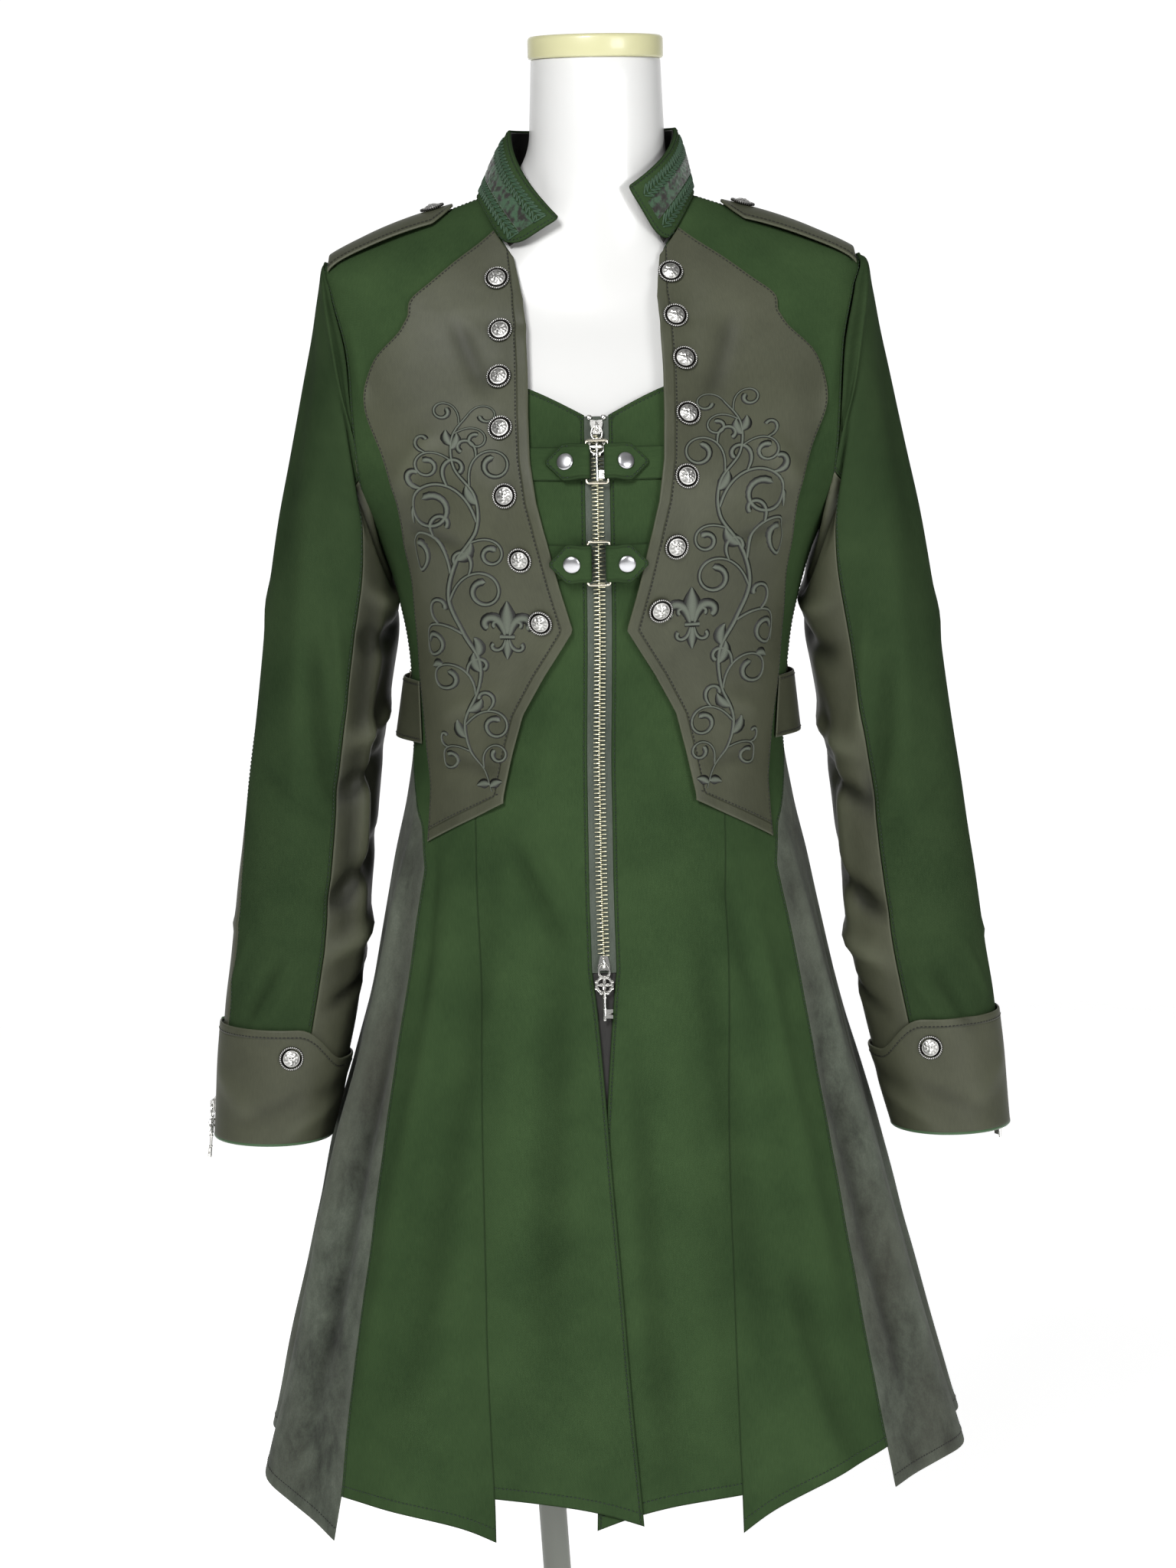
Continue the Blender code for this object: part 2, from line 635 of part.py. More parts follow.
def shoulder_level(x, y):
    """Level of the body surface at a place seen from above, near the shoulder."""
    low = np.full(np.shape(x), 1.30)
    high = np.full(np.shape(x), NECK_LEVEL)
    for _ in range(40):
        middle = (low + high) / 2
        half = read_table(BODY_RINGS, 1, middle)
        depth = read_table(BODY_RINGS, 2, middle)
        inside = (x / half) ** 2 + (y / depth) ** 2 < 1
        low = np.where(inside, middle, low)
        high = np.where(inside, high, middle)
    return (low + high) / 2


def shoulder_place(x, y):
    """Angle and level of the body surface at a place seen from above."""
    level = shoulder_level(x, y)
    half = read_table(BODY_RINGS, 1, level)
    depth = read_table(BODY_RINGS, 2, level)
    return np.arctan2(x / half, -y / depth), level


def shoulder_tab(side):
    """Shoulder tab, sewn in at the sleeve and pointed at its buttoned end."""
    reach = np.array([0.0, 0.12, 0.28, 0.44, 0.60, 0.74, 0.84, 0.93, 1.0])[:, None]
    across = np.linspace(-1, 1, 5)[None, :]
    x = TAB_OUTER_X + (TAB_INNER_X - TAB_OUTER_X) * reach
    point = np.clip((x - TAB_INNER_X) / TAB_POINT, 0.0, 1.0)
    width = TAB_HALF_WIDTH * (0.12 + 0.88 * np.sqrt(point))
    x, y = np.broadcast_arrays(x, across * width)
    angle, level = shoulder_place(x, y)
    low = CLOTH + TAB_GAP + TAB_STAND * np.sin(math.pi * reach) + 0 * across
    name = f"shoulder_tab_{SIDES[side]}"
    return body_wall(name, side * angle, level, low, TAB_CLOTH, "taupe_sateen")


def sleeve_point(side, step, round_angle):
    """Point of a sleeve's outer face: step down its rings, and an angle round it from outside."""
    armhole_middle = (ARMHOLE_TOP + ARMHOLE_BOTTOM) / 2
    armhole_half = (ARMHOLE_TOP - ARMHOLE_BOTTOM) / 2 - SEAM_GAP
    half_angle = math.radians(ARMHOLE_HALF_ANGLE) - 2 * SEAM_GAP / BODY_RINGS[14, 1]
    hole_angle = math.pi / 2 - half_angle * np.sin(round_angle)
    hole_level = armhole_middle + armhole_half * np.cos(round_angle)
    hole = lifted(side * hole_angle, hole_level, CLOTH)
    hole[..., 0] *= side
    points = []
    c, s = np.cos(round_angle), np.sin(round_angle)
    for outer_x, outer_z, inner_x, inner_z, depth, middle_y in SLEEVE_RINGS:
        points.append(np.stack([
            (outer_x + inner_x) / 2 + (outer_x - inner_x) / 2 * c,
            middle_y - depth * s,
            (outer_z + inner_z) / 2 + (outer_z - inner_z) / 2 * c], axis=-1))
    stack = np.stack([hole] + points)
    slopes = np.gradient(stack, axis=0)
    i = np.clip(np.floor(step).astype(int), 0, len(stack) - 2)
    t = (step - i)[..., None]
    grid = np.indices(i.shape)
    low = stack[(i, *grid)]
    high = stack[(i + 1, *grid)]
    low_slope = slopes[(i, *grid)]
    high_slope = slopes[(i + 1, *grid)]
    place = ((1 + 2 * t) * (1 - t) ** 2 * low + t * (1 - t) ** 2 * low_slope
             + t * t * (3 - 2 * t) * high + t * t * (t - 1) * high_slope)
    swing = SLEEVE_SWING[side] * (step / len(stack)) ** 2
    place[..., 0] = side * (place[..., 0] + swing)
    return place


def sleeve_grid(side, step, round_angle, lift):
    """Sleeve surface moved out by a lift, or into the sleeve by a negative one."""
    step, round_angle = np.broadcast_arrays(step, round_angle)
    d = 1e-3
    here = sleeve_point(side, step, round_angle)
    around = sleeve_point(side, step, round_angle + d) - sleeve_point(side, step, round_angle - d)
    above = sleeve_point(side, np.maximum(step - d, 0), round_angle)
    ahead = sleeve_point(side, step + d, round_angle) - above
    normal = side * np.cross(around, ahead)
    normal = normal / np.linalg.norm(normal, axis=-1, keepdims=True)
    return here + normal * np.broadcast_to(lift, step.shape)[..., None]


def sleeve_back_seam(side, step):
    """Angle of the sleeve's back seam, which turns to the outside towards the cuff."""
    low = SLEEVE_BACK_SEAM_CUFF[side]
    return SLEEVE_BACK_SEAM_TOP + (low - SLEEVE_BACK_SEAM_TOP) * blend(1.0, 9.0, step)


def sleeve(side):
    """Two-piece sleeve: the green upper piece and the taupe under piece."""
    step = np.linspace(0, 11, SLEEVE_STEPS)[:, None]
    gap = np.radians(0.25)
    back_seam = np.radians(sleeve_back_seam(side, step))
    front_seam = math.radians(SLEEVE_FRONT_SEAM)
    pieces = {
        "upper": (back_seam + gap, front_seam - gap, 11, "green_twill"),
        "under": (front_seam + gap, back_seam + 2 * math.pi - gap, 7, "taupe_sateen"),
    }
    for piece, (start, end, columns, finish_name) in pieces.items():
        share = np.linspace(0, 1, columns)[None, :]
        angle = start + (end - start) * share
        outer = sleeve_grid(side, step, angle, 0.0)
        inner = sleeve_grid(side, step, angle, -CLOTH)
        wall(f"sleeve_{piece}_{SIDES[side]}", outer, inner, finish_name)


def cuff(side):
    """Turned-back cuff round the end of the sleeve; its top edge dips beside the button."""
    angle = np.radians(np.arange(16) * 22.5)[None, :]
    share = np.linspace(0, 1, 4)[:, None]
    dip = blend(math.radians(100), math.radians(150), angle)
    dip = dip * (1 - blend(math.radians(215), math.radians(260), angle))
    start = CUFF_START + (CUFF_LOW_START - CUFF_START) * dip + 1
    step = start + (CUFF_END + 1 - start) * share
    outer = sleeve_grid(side, step, angle, CUFF_GAP + CUFF_CLOTH)
    inner = sleeve_grid(side, step, angle, CUFF_GAP)
    return wall(f"cuff_{SIDES[side]}", outer, inner, "taupe_sateen", ring=True)


def turned(name, profile, sides, middle=(0.0, 0.0), scale=1.0):
    """Turned solid about Z from a profile of radius and height; ends close on the axis."""
    points = [(middle[0], middle[1], profile[0][1] * scale)]
    rings = [p for p in profile if p[0] > 0]
    for radius, height in rings:
        for k in range(sides):
            a = 2 * math.pi * k / sides
            points.append((middle[0] + radius * scale * math.cos(a),
                           middle[1] + radius * scale * math.sin(a), height * scale))
    points.append((middle[0], middle[1], profile[-1][1] * scale))
    last = len(points) - 1
    faces = []
    for k in range(sides):
        n = (k + 1) % sides
        faces.append([0, 1 + n, 1 + k])
        for r in range(len(rings) - 1):
            a, b = 1 + r * sides, 1 + (r + 1) * sides
            faces.append([a + k, a + n, b + n, b + k])
        top = 1 + (len(rings) - 1) * sides
        faces.append([top + k, top + n, last])
    return mesh_from(name, points, faces)


def button(name, place):
    """Domed metal button with a raised rim."""
    mesh = turned(name, BUTTON_PROFILE, BUTTON_SIDES, scale=MM)
    return add_object(name, mesh, "antique_silver", place)


def seated(place, cloth, points):
    """Placement moved along its own Z until the nearest of its points just clears the cloth."""
    mesh = bpy.data.objects[cloth].data
    tree = BVHTree.FromPolygons([v.co for v in mesh.vertices], [p.vertices for p in mesh.polygons])
    normal = place.to_3x3() @ Vector((0, 0, 1))
    for _ in range(6):
        nearest = min(tree.find_nearest(place @ Vector(p))[3] for p in points)
        place = Matrix.Translation(normal * (SEAT_GAP - nearest)) @ place
    return place


def disc_points():
    """Points over a button's underside."""
    turns = [2 * math.pi * k / BUTTON_SIDES for k in range(BUTTON_SIDES)]
    rim = BUTTON_PROFILE[0][0] * MM
    return [(r * math.cos(a), r * math.sin(a), 0) for r in (0.0, rim / 2, rim) for a in turns]


def resting_frame(surface, u, v):
    """Placement of a button on a surface of two parameters, clear of the cloth round it."""
    d = 1e-4
    reach = []
    for du, dv in ((d, 0), (0, d)):
        speed = np.linalg.norm(surface(u + du, v + dv) - surface(u - du, v - dv)) / (2 * d)
        reach.append(BUTTON_RADIUS / speed)
    across = surface(u + reach[0], v) - surface(u - reach[0], v)
    up = surface(u, v + reach[1]) - surface(u, v - reach[1])
    normal = np.cross(across, up)
    normal = normal / np.linalg.norm(normal)
    origin = surface(u, v)
    high = 0.0
    for k in range(8):
        a = math.pi / 4 * k
        rim = surface(u + reach[0] * math.cos(a), v + reach[1] * math.sin(a))
        high = max(high, float(np.dot(rim - origin, normal)))
    return frame_at(origin + normal * (high + BUTTON_GAP), across, up)


def overlay_surface(side):
    """Outer face of an overlay against the angle and the level."""
    def surface(angle, level):
        level = min(level, NECK_LEVEL)
        lift = overlay_lift(side * angle, level) + OVERLAY_CLOTH
        return lifted(angle, level, lift)
    return surface


def tab_surface(side):
    """Outer face of a shoulder tab against x and y."""
    def surface(x, y):
        angle, level = shoulder_place(abs(x), y)
        reach = np.clip((abs(x) - TAB_OUTER_X) / (TAB_INNER_X - TAB_OUTER_X), 0.0, 1.0)
        lift = CLOTH + TAB_GAP + TAB_STAND * np.sin(math.pi * reach) + TAB_CLOTH
        return lifted(side * angle, level, lift)
    return surface


def cuff_surface(side):
    """Outer face of a cuff against the angle round it and the distance up the rings."""
    def surface(angle, up):
        step = np.array([[-up]])
        around = np.array([[-side * angle]])
        return sleeve_grid(side, step, around, CUFF_GAP + CUFF_CLOTH)[0, 0]
    return surface


def buttons():
    """Seven buttons down each overlay, one on each shoulder tab and one on each cuff."""
    for side, name in SIDES.items():
        level_column, x_column = (0, 1) if side < 0 else (2, 3)
        for row, values in enumerate(OVERLAY_BUTTONS):
            level, x = values[level_column], values[x_column]
            angle = side * float(angle_at(x, level))
            place = resting_frame(overlay_surface(side), angle, level)
            place = seated(place, f"overlay_{name}", disc_points())
            button(f"button_{name}_{row + 1}", place)
        place = resting_frame(tab_surface(side), side * TAB_BUTTON_X, 0.0)
        place = seated(place, f"shoulder_tab_{name}", disc_points())
        button(f"button_tab_{name}", place)
        around = -side * math.radians(CUFF_BUTTON_ANGLE)
        place = resting_frame(cuff_surface(side), around, -CUFF_BUTTON_STEP)
        place = seated(place, f"cuff_{name}", disc_points())
        button(f"button_cuff_{name}", place)


def sleeve_frame(side, step, degrees, lift):
    """Placement on a sleeve, its Z outwards and its Y up the arm."""
    d = 1e-3
    a = math.radians(degrees)
    at = np.array([[step]])
    here = sleeve_grid(side, at, np.array([[a]]), lift)[0, 0]
    near = sleeve_grid(side, at, np.array([[a + d]]), lift)[0, 0]
    below = sleeve_grid(side, at + d, np.array([[a]]), lift)[0, 0]
    return frame_at(here, -side * (near - here), here - below)


def above(side, x, level, lift):
    """Point over the body surface whose own distance from the middle is x."""
    angle = angle_at(x, level)
    lean = body_normal(angle, level)[..., 0]
    return lifted(side * angle_at(x - lift * lean, level), level, lift)


def strap_path(strap):
    """Path of a front strap in distance from the middle and lift: in, round the ring, back."""
    radius = RING_WIRE + FOLD_CLEARANCE + STRAP_CLOTH / 2
    bar = RING_HALF_WIDTH
    path = [(strap["reach"], STRAP_LOW_LIFT), (0.030, STRAP_LOW_LIFT + 0.2 * MM),
            (0.018, RING_LIFT - radius - 0.9 * MM), (bar + 0.003, RING_LIFT - radius)]
    for k in range(0, 7):
        turn = math.pi * k / 6
        path.append((bar - radius * math.sin(turn), RING_LIFT - radius * math.cos(turn)))
    top = RING_LIFT + radius
    path += [(bar + 0.004, top), (0.020, top + (strap["tip_lift"] - top) * 0.35),
             (strap["tip"] - 0.011, top + (strap["tip_lift"] - top) * 0.75),
             (strap["tip"], strap["tip_lift"])]
    return np.array(path)


def path_offsets(path):
    """Unit directions square to a flat path, to its left."""
    ahead = np.gradient(path, axis=0)
    ahead = ahead / np.linalg.norm(ahead, axis=1, keepdims=True)
    return np.stack([-ahead[:, 1], ahead[:, 0]], axis=1)


def front_strap(which, side):
    """Strap that goes round its ring's upright bar and back over itself to a pointed tip."""
    strap = STRAPS[which]
    path = strap_path(strap)
    square = path_offsets(path)
    height = np.full(len(path), strap["height"] / 2)
    height[-4:] *= 1.07
    height[-1] *= 0.08
    layers = []
    for way in (-1, 1):
        spot = path + way * square * STRAP_CLOTH / 2
        low, middle, high = [above(side, spot[:, 0], strap["level"] + h, spot[:, 1])
                             for h in (-height, 0 * height, height)]
        straight = blend(3.4 * MM, 5.0 * MM, spot[:, 1])[:, None]
        middle = middle + ((low + high) / 2 - middle) * straight
        layers.append(np.stack([low, middle, high]))
    name = f"strap_{which}_{SIDES[side]}"
    return wall(name, layers[0], layers[1], "green_twill")


def round_bar(path, radius, sides, height=None):
    """Points and faces of a closed bar of round section along a flat closed path in XY."""
    path = np.asarray(path)
    ahead = np.roll(path, -1, axis=0) - np.roll(path, 1, axis=0)
    ahead = ahead / np.linalg.norm(ahead, axis=1, keepdims=True)
    square = np.stack([ahead[:, 1], -ahead[:, 0]], axis=1)
    points = []
    for p, n in zip(path, square):
        for k in range(sides):
            a = 2 * math.pi * (k + 0.5) / sides
            r, z = radius * math.cos(a), (height or radius) * math.sin(a)
            points.append((p[0] + n[0] * r, p[1] + n[1] * r, z))
    count = len(path)
    faces = []
    for i in range(count):
        for k in range(sides):
            n, m = (i + 1) % count, (k + 1) % sides
            faces.append([i * sides + k, n * sides + k, n * sides + m, i * sides + m])
    return points, faces


def rounded_rectangle(half_width, half_height, corner, steps=3):
    """Closed path with rounded corners, counter-clockwise."""
    path = []
    for quarter, (sx, sy) in enumerate([(1, 1), (-1, 1), (-1, -1), (1, -1)]):
        for k in range(steps + 1):
            a = math.pi / 2 * (quarter + k / steps)
            path.append((sx * (half_width - corner) + corner * math.cos(a),
                         sy * (half_height - corner) + corner * math.sin(a)))
    return path


def wire_ring(name, place, half_width, half_height):
    """Rectangular ring of bent wire."""
    path = rounded_rectangle(half_width, half_height, RING_CORNER)
    points, faces = round_bar(path, RING_WIRE, 6)
    return add_object(name, mesh_from(name, points, faces), "bright_nickel", place)


def front_ring(which):
    """Ring between the two halves of a front strap."""
    strap = STRAPS[which]
    low = lifted(0.0, strap["level"] - strap["height"] / 2, RING_LIFT)
    high = lifted(0.0, strap["level"] + strap["height"] / 2, RING_LIFT)
    place = frame_at((low + high) / 2, (1, 0, 0), high - low)
    return wire_ring(f"ring_{which}", place, RING_HALF_WIDTH, RING_HALF_HEIGHT)


def side_strap_lift(angle, share):
    """Lift of the middle of the side strap: it stands off more at its lower edge."""
    stand = blend(SIDE_STRAP_START, SIDE_STRAP_FOLD - 4, angle)
    edge = 1 - (1 - SIDE_STRAP_TOP_SHARE) * share
    return CLOTH + LAYER_GAP + STRAP_CLOTH / 2 + SIDE_STRAP_STAND * stand * edge


def side_ring_bars(side):
    """Middle of the side ring's near bar, its direction up, and across to its far bar."""
    radius = RING_WIRE + FOLD_CLEARANCE + STRAP_CLOTH / 2
    ends = [lifted(side * math.radians(SIDE_STRAP_FOLD), level, side_strap_lift(SIDE_STRAP_FOLD, share) - radius)
            for share, level in zip((0.0, 1.0), SIDE_STRAP_LEVELS)]
    near = (ends[0] + ends[1]) / 2
    up = ends[1] - ends[0]
    height = np.linalg.norm(up)
    up = up / height
    middle = (SIDE_STRAP_LEVELS[0] + SIDE_STRAP_LEVELS[1]) / 2
    across = lifted(side * math.radians(SIDE_RING_BACK), middle, SIDE_RING_LIFT) - near
    across = across - up * np.dot(across, up)
    return near, up, height, across


def side_strap(side):
    """Strap at the side of the waist, sewn in beside the overlay and folded round its ring."""
    radius = RING_WIRE + FOLD_CLEARANCE + STRAP_CLOTH / 2
    girth = read_table(BODY_RINGS, 3, 1.03)
    fold = math.radians(SIDE_STRAP_FOLD) * girth
    rows = []
    for share, level in zip((0.0, 1.0), SIDE_STRAP_LEVELS):
        angles = np.linspace(SIDE_STRAP_START, SIDE_STRAP_FOLD, 7)
        path = [(math.radians(a) * girth, side_strap_lift(a, share)) for a in angles]
        middle = side_strap_lift(SIDE_STRAP_FOLD, share) - radius
        for k in range(1, 6):
            turn = math.pi * k / 6
            path.append((fold + radius * math.sin(turn), middle + radius * math.cos(turn)))
        path.append((fold, middle - radius))
        path.append((math.radians(SIDE_STRAP_BACK) * girth, middle - radius - 0.6 * MM * (1 - share)))
        path = np.array(path)
        square = path_offsets(path)
        layer = []
        for way in (1, -1):
            spot = path + way * square * STRAP_CLOTH / 2
            angle = side * spot[:, 0] / girth
            layer.append(lifted(angle, np.full(len(path), level), spot[:, 1]))
        rows.append(layer)
    outer = np.stack([rows[0][0], (rows[0][0] + rows[1][0]) / 2, rows[1][0]])
    inner = np.stack([rows[0][1], (rows[0][1] + rows[1][1]) / 2, rows[1][1]])
    return wall(f"side_strap_{SIDES[side]}", outer, inner, "taupe_sateen")


def side_ring(side):
    """Ring at the back end of the side strap, its other bar held by the back tab."""
    near, up, height, across = side_ring_bars(side)
    place = frame_at(near + across / 2, side * across, up)
    half_width = np.linalg.norm(across) / 2
    return wire_ring(f"side_ring_{SIDES[side]}", place, half_width, height / 2 + 2.6 * MM)


def back_tab(side):
    """Short tab sewn to the back and folded round the far bar of the side ring."""
    near, up, height, across = side_ring_bars(side)
    radius = RING_WIRE + FOLD_CLEARANCE + STRAP_CLOTH / 2
    along = across / np.linalg.norm(across)
    out = side * np.cross(along, up)
    rows = []
    for share, level in zip((0.0, 1.0), SIDE_STRAP_LEVELS):
        bar = near + across + up * height * (share - 0.5)
        foot = lifted(side * math.radians(BACK_TAB_END), level, STRAP_LOW_LIFT)
        rest = foot + (bar + out * radius - foot) * 0.5 + out * 0.8 * MM
        down = rest - (bar + out * radius)
        line = [foot, rest]
        line += [bar + out * radius * math.cos(t) - along * radius * math.sin(t)
                 for t in np.radians([0, 30, 60, 90, 120, 150, 180])]
        line += [bar - out * radius + down / np.linalg.norm(down) * 0.005]
        rows.append(np.array(line))
    layers = []
    for way in (1, -1):
        moved = []
        for line in rows:
            ahead = np.gradient(line, axis=0)
            normal = side * np.cross(up, ahead)
            normal = normal / np.linalg.norm(normal, axis=1, keepdims=True)
            moved.append(line + normal * way * STRAP_CLOTH / 2)
        layers.append(np.stack([moved[0], (moved[0] + moved[1]) / 2, moved[1]]))
    return wall(f"back_tab_{SIDES[side]}", layers[0], layers[1], "taupe_sateen")


def zip_tape():
    """Zip tape between the two fronts, behind the teeth."""
    levels = rows_between(ZIP_BOTTOM + 0.004, ZIP_TOP - 0.004)
    levels = np.concatenate([[ZIP_BOTTOM], levels, [ZIP_TOP - 0.001]])[:, None]
    x = np.linspace(-1, 1, 3)[None, :] * (ZIP_HALF_GAP - SEAM_GAP)
    angle = angle_at(x, levels)
    level = levels + 0 * x
    return body_wall("zip_tape", angle, level, 0.1 * MM, 1.0 * MM, "zip_tape")


def box_points(low, high):
    """Points and faces of a box between two corners."""
    points = [(x, y, z) for x in (low[0], high[0]) for y in (low[1], high[1])
              for z in (low[2], high[2])]
    faces = [[0, 1, 3, 2], [4, 6, 7, 5], [0, 4, 5, 1], [2, 3, 7, 6], [0, 2, 6, 4], [1, 5, 7, 3]]
    return points, faces


def union(name, shapes):
    """One mesh from several overlapping closed shapes, in millimetres."""
    objects = []
    for index, (points, faces) in enumerate(shapes):
        mesh = mesh_from(f"{name}_{index}", np.array(points) * MM, faces)
        obj = bpy.data.objects.new(mesh.name, mesh)
        bpy.context.scene.collection.objects.link(obj)
        objects.append(obj)
    base = objects[0]
    for other in objects[1:]:
        modifier = base.modifiers.new("join", "BOOLEAN")
        modifier.operation = "UNION"
        modifier.solver = "EXACT"
        modifier.object = other
    bpy.context.view_layer.update()
    evaluated = base.evaluated_get(bpy.context.evaluated_depsgraph_get())
    result = bpy.data.meshes.new_from_object(evaluated)
    result.name = name
    for obj in objects:
        bpy.data.objects.remove(obj)
    bm = bmesh.new()
    bm.from_mesh(result)
    bmesh.ops.remove_doubles(bm, verts=bm.verts, dist=1e-6)
    bmesh.ops.dissolve_degenerate(bm, edges=bm.edges, dist=1e-6)
    bm.to_mesh(result)
    bm.free()
    result.shade_smooth()
    result.set_sharp_from_angle(angle=math.radians(35))
    return result


def slider_mesh():
    """Zip slider: a wedge body with a bridge that the pull's bail goes through."""
    width, length, height = SLIDER_SIZE
    narrow = width * 0.62
    outline = [(-width / 2, length / 2), (-narrow / 2, -length / 2), (narrow / 2, -length / 2),
               (width / 2, length / 2)]
    points = [(x, y, z) for z in (0.0, height) for x, y in outline]
    faces = [[0, 1, 2, 3], [7, 6, 5, 4], [0, 4, 5, 1], [1, 5, 6, 2], [2, 6, 7, 3], [3, 7, 4, 0]]
    thick, span, rise = BRIDGE_SIZE
    hole_span, hole_rise = BRIDGE_HOLE
    arch = [(-span / 2, -0.6), (-span / 2, rise), (span / 2, rise), (span / 2, -0.6),
            (hole_span / 2, -0.6), (hole_span / 2, hole_rise), (-hole_span / 2, hole_rise),
            (-hole_span / 2, -0.6)]
    count = len(arch)
    arch_points = [(x, y, height + z) for x in (-thick / 2, thick / 2) for y, z in arch]
    arch_faces = [[k, (k + 1) % count, count + (k + 1) % count, count + k] for k in range(count)]
    for layer in (0, count):
        arch_faces += [[layer + k for k in quad] for quad in ((0, 1, 6, 7), (1, 2, 5, 6), (2, 3, 4, 5))]
    return union("slider", [(points, faces), (arch_points, arch_faces)])


def key_mesh():
    """Key-shaped pull: a bail, a round bow with a cross, a shaft and a bit, hanging down -Y."""
    wide, long = BAIL_AXES
    turns = [2 * math.pi * k / 12 for k in range(12)]
    bail = round_bar([(wide * math.cos(a), long * math.sin(a) - long) for a in turns], BAIL_WIRE, 5)
    turns = [2 * math.pi * k / 14 for k in range(14)]
    bow = round_bar([(BOW_RADIUS * math.cos(a), BOW_RADIUS * math.sin(a) - BOW_CENTRE)
                     for a in turns], BOW_WIRE, 5)
    thin = 0.6
    arm = BOW_RADIUS - 0.2
    across = box_points((-arm, -BOW_CENTRE - thin, -thin), (arm, -BOW_CENTRE + thin, thin))
    upright = box_points((-thin * 1.1, -BOW_CENTRE - arm, -thin * 0.9),
                         (thin * 1.1, -BOW_CENTRE + arm, thin * 0.9))
    shaft = []
    for y in (-SHAFT_ENDS[0], -SHAFT_ENDS[1]):
        for k in range(6):
            a = math.pi / 3 * k
            shaft.append((SHAFT_RADIUS * math.cos(a), y, SHAFT_RADIUS * math.sin(a)))
    shaft_faces = [[k, (k + 1) % 6, 6 + (k + 1) % 6, 6 + k] for k in range(6)]
    shaft_faces += [[5, 4, 3, 2, 1, 0], [6, 7, 8, 9, 10, 11]]
    bit = box_points((0.3, -BIT_ENDS[1], -thin * 1.2), (BIT_REACH, -BIT_ENDS[0], thin * 1.2))
    return union("key", [bow, bail, across, upright, (shaft, shaft_faces), bit])


def zip_pulls():
    """Sliders of the front zip and the cuff zips, each with its key on a bail."""
    slider = slider_mesh()
    key = key_mesh()
    places = {
        "upper": (body_frame(0.0, UPPER_SLIDER_LEVEL, SLIDER_LIFT), 0.0,
                  lifted(0.0, UPPER_SLIDER_LEVEL - 0.0365, UPPER_KEY_END_LIFT)),
        "lower": (body_frame(0.0, LOWER_SLIDER_LEVEL, SLIDER_LIFT), math.pi,
                  lifted(0.0, LOWER_SLIDER_LEVEL - 0.0420, LOWER_KEY_END_LIFT)),
    }
    for side, name in SIDES.items():
        lift = CUFF_GAP + CUFF_CLOTH + 1.0 * MM
        angle = CUFF_SLIDER_ANGLE[side]
        place = sleeve_frame(side, CUFF_SLIDER_STEP + 1, angle, lift)
        half_x, half_y = SLIDER_SIZE[0] / 2 * MM, SLIDER_SIZE[1] / 2 * MM
        corners = [(x, y, 0) for x in (-half_x, 0, half_x) for y in (-half_y, 0, half_y)]
        place = seated(place, f"cuff_{name}", corners)
        end = place @ Vector((0, -0.042, CUFF_KEY_END_HEIGHT))
        places[f"cuff_{name}"] = (place, 0.0, np.array(end))
    for name, (place, spin, end) in places.items():
        slider_place = place @ Matrix.Rotation(spin, 4, "Z")
        add_object(f"slider_{name}", slider.copy(), "antique_silver", slider_place)
        pivot = np.array(place @ Vector((0, 0, PIVOT_HEIGHT * MM)))
        across = np.array(place.to_3x3() @ Vector((1, 0, 0)))
        add_object(f"key_{name}", key.copy(), "antique_silver", frame_at(pivot, across, pivot - end))


def form_torso():
    """Torso and neck of the dress form, one smooth closed body inside the coat."""
    levels = np.concatenate([[FORM_BOTTOM, 0.86], rows_between(0.915, NECK_LEVEL)])[:, None]
    turn = np.linspace(0, 2 * math.pi, FORM_COLUMNS, endpoint=False)[None, :]
    inset = np.interp(levels, FORM_INSET[:, 0], FORM_INSET[:, 1])
    body = lifted(turn, levels, -inset)
    body[..., 0] = np.clip(body[..., 0], -FORM_SIDE_LIMIT, FORM_SIDE_LIMIT)
    body[0, :, 2] = FORM_BOTTOM
    neck_base = body[-1]
    rings = [body]
    straight = np.stack([NECK_X + NECK_RADIUS * np.sin(turn[0]), -NECK_RADIUS * np.cos(turn[0]),
                         np.full(FORM_COLUMNS, NECK_STRAIGHT)], axis=-1)
    for share in (0.14, 0.32, 0.6, 1.0):
        narrow = 1 - (1 - share) ** 2.4
        ring = neck_base + (straight - neck_base) * narrow
        ring[:, 2] = neck_base[:, 2] + (NECK_STRAIGHT - neck_base[:, 2]) * share
        rings.append(ring[None])
    top = straight.copy()
    top[:, :2] = (straight[:, :2] - (NECK_X, 0)) * NECK_TOP_RADIUS / NECK_RADIUS + (NECK_X, 0)
    top[:, 2] = NECK_TOP
    rings.append(top[None])
    grid = np.concatenate(rings)
    rows = len(grid)
    points = list(grid.reshape(-1, 3))
    points.append(grid[0].mean(axis=0))
    points.append(grid[-1].mean(axis=0))
    faces = []
    for j in range(FORM_COLUMNS):
        n = (j + 1) % FORM_COLUMNS
        for i in range(rows - 1):
            a, b = i * FORM_COLUMNS, (i + 1) * FORM_COLUMNS
            faces.append([a + j, a + n, b + n, b + j])
        faces.append([rows * FORM_COLUMNS, n, j])
        last = (rows - 1) * FORM_COLUMNS
        faces.append([rows * FORM_COLUMNS + 1, last + j, last + n])
    return add_object("form_torso", mesh_from("form_torso", points, faces), "white_gloss")


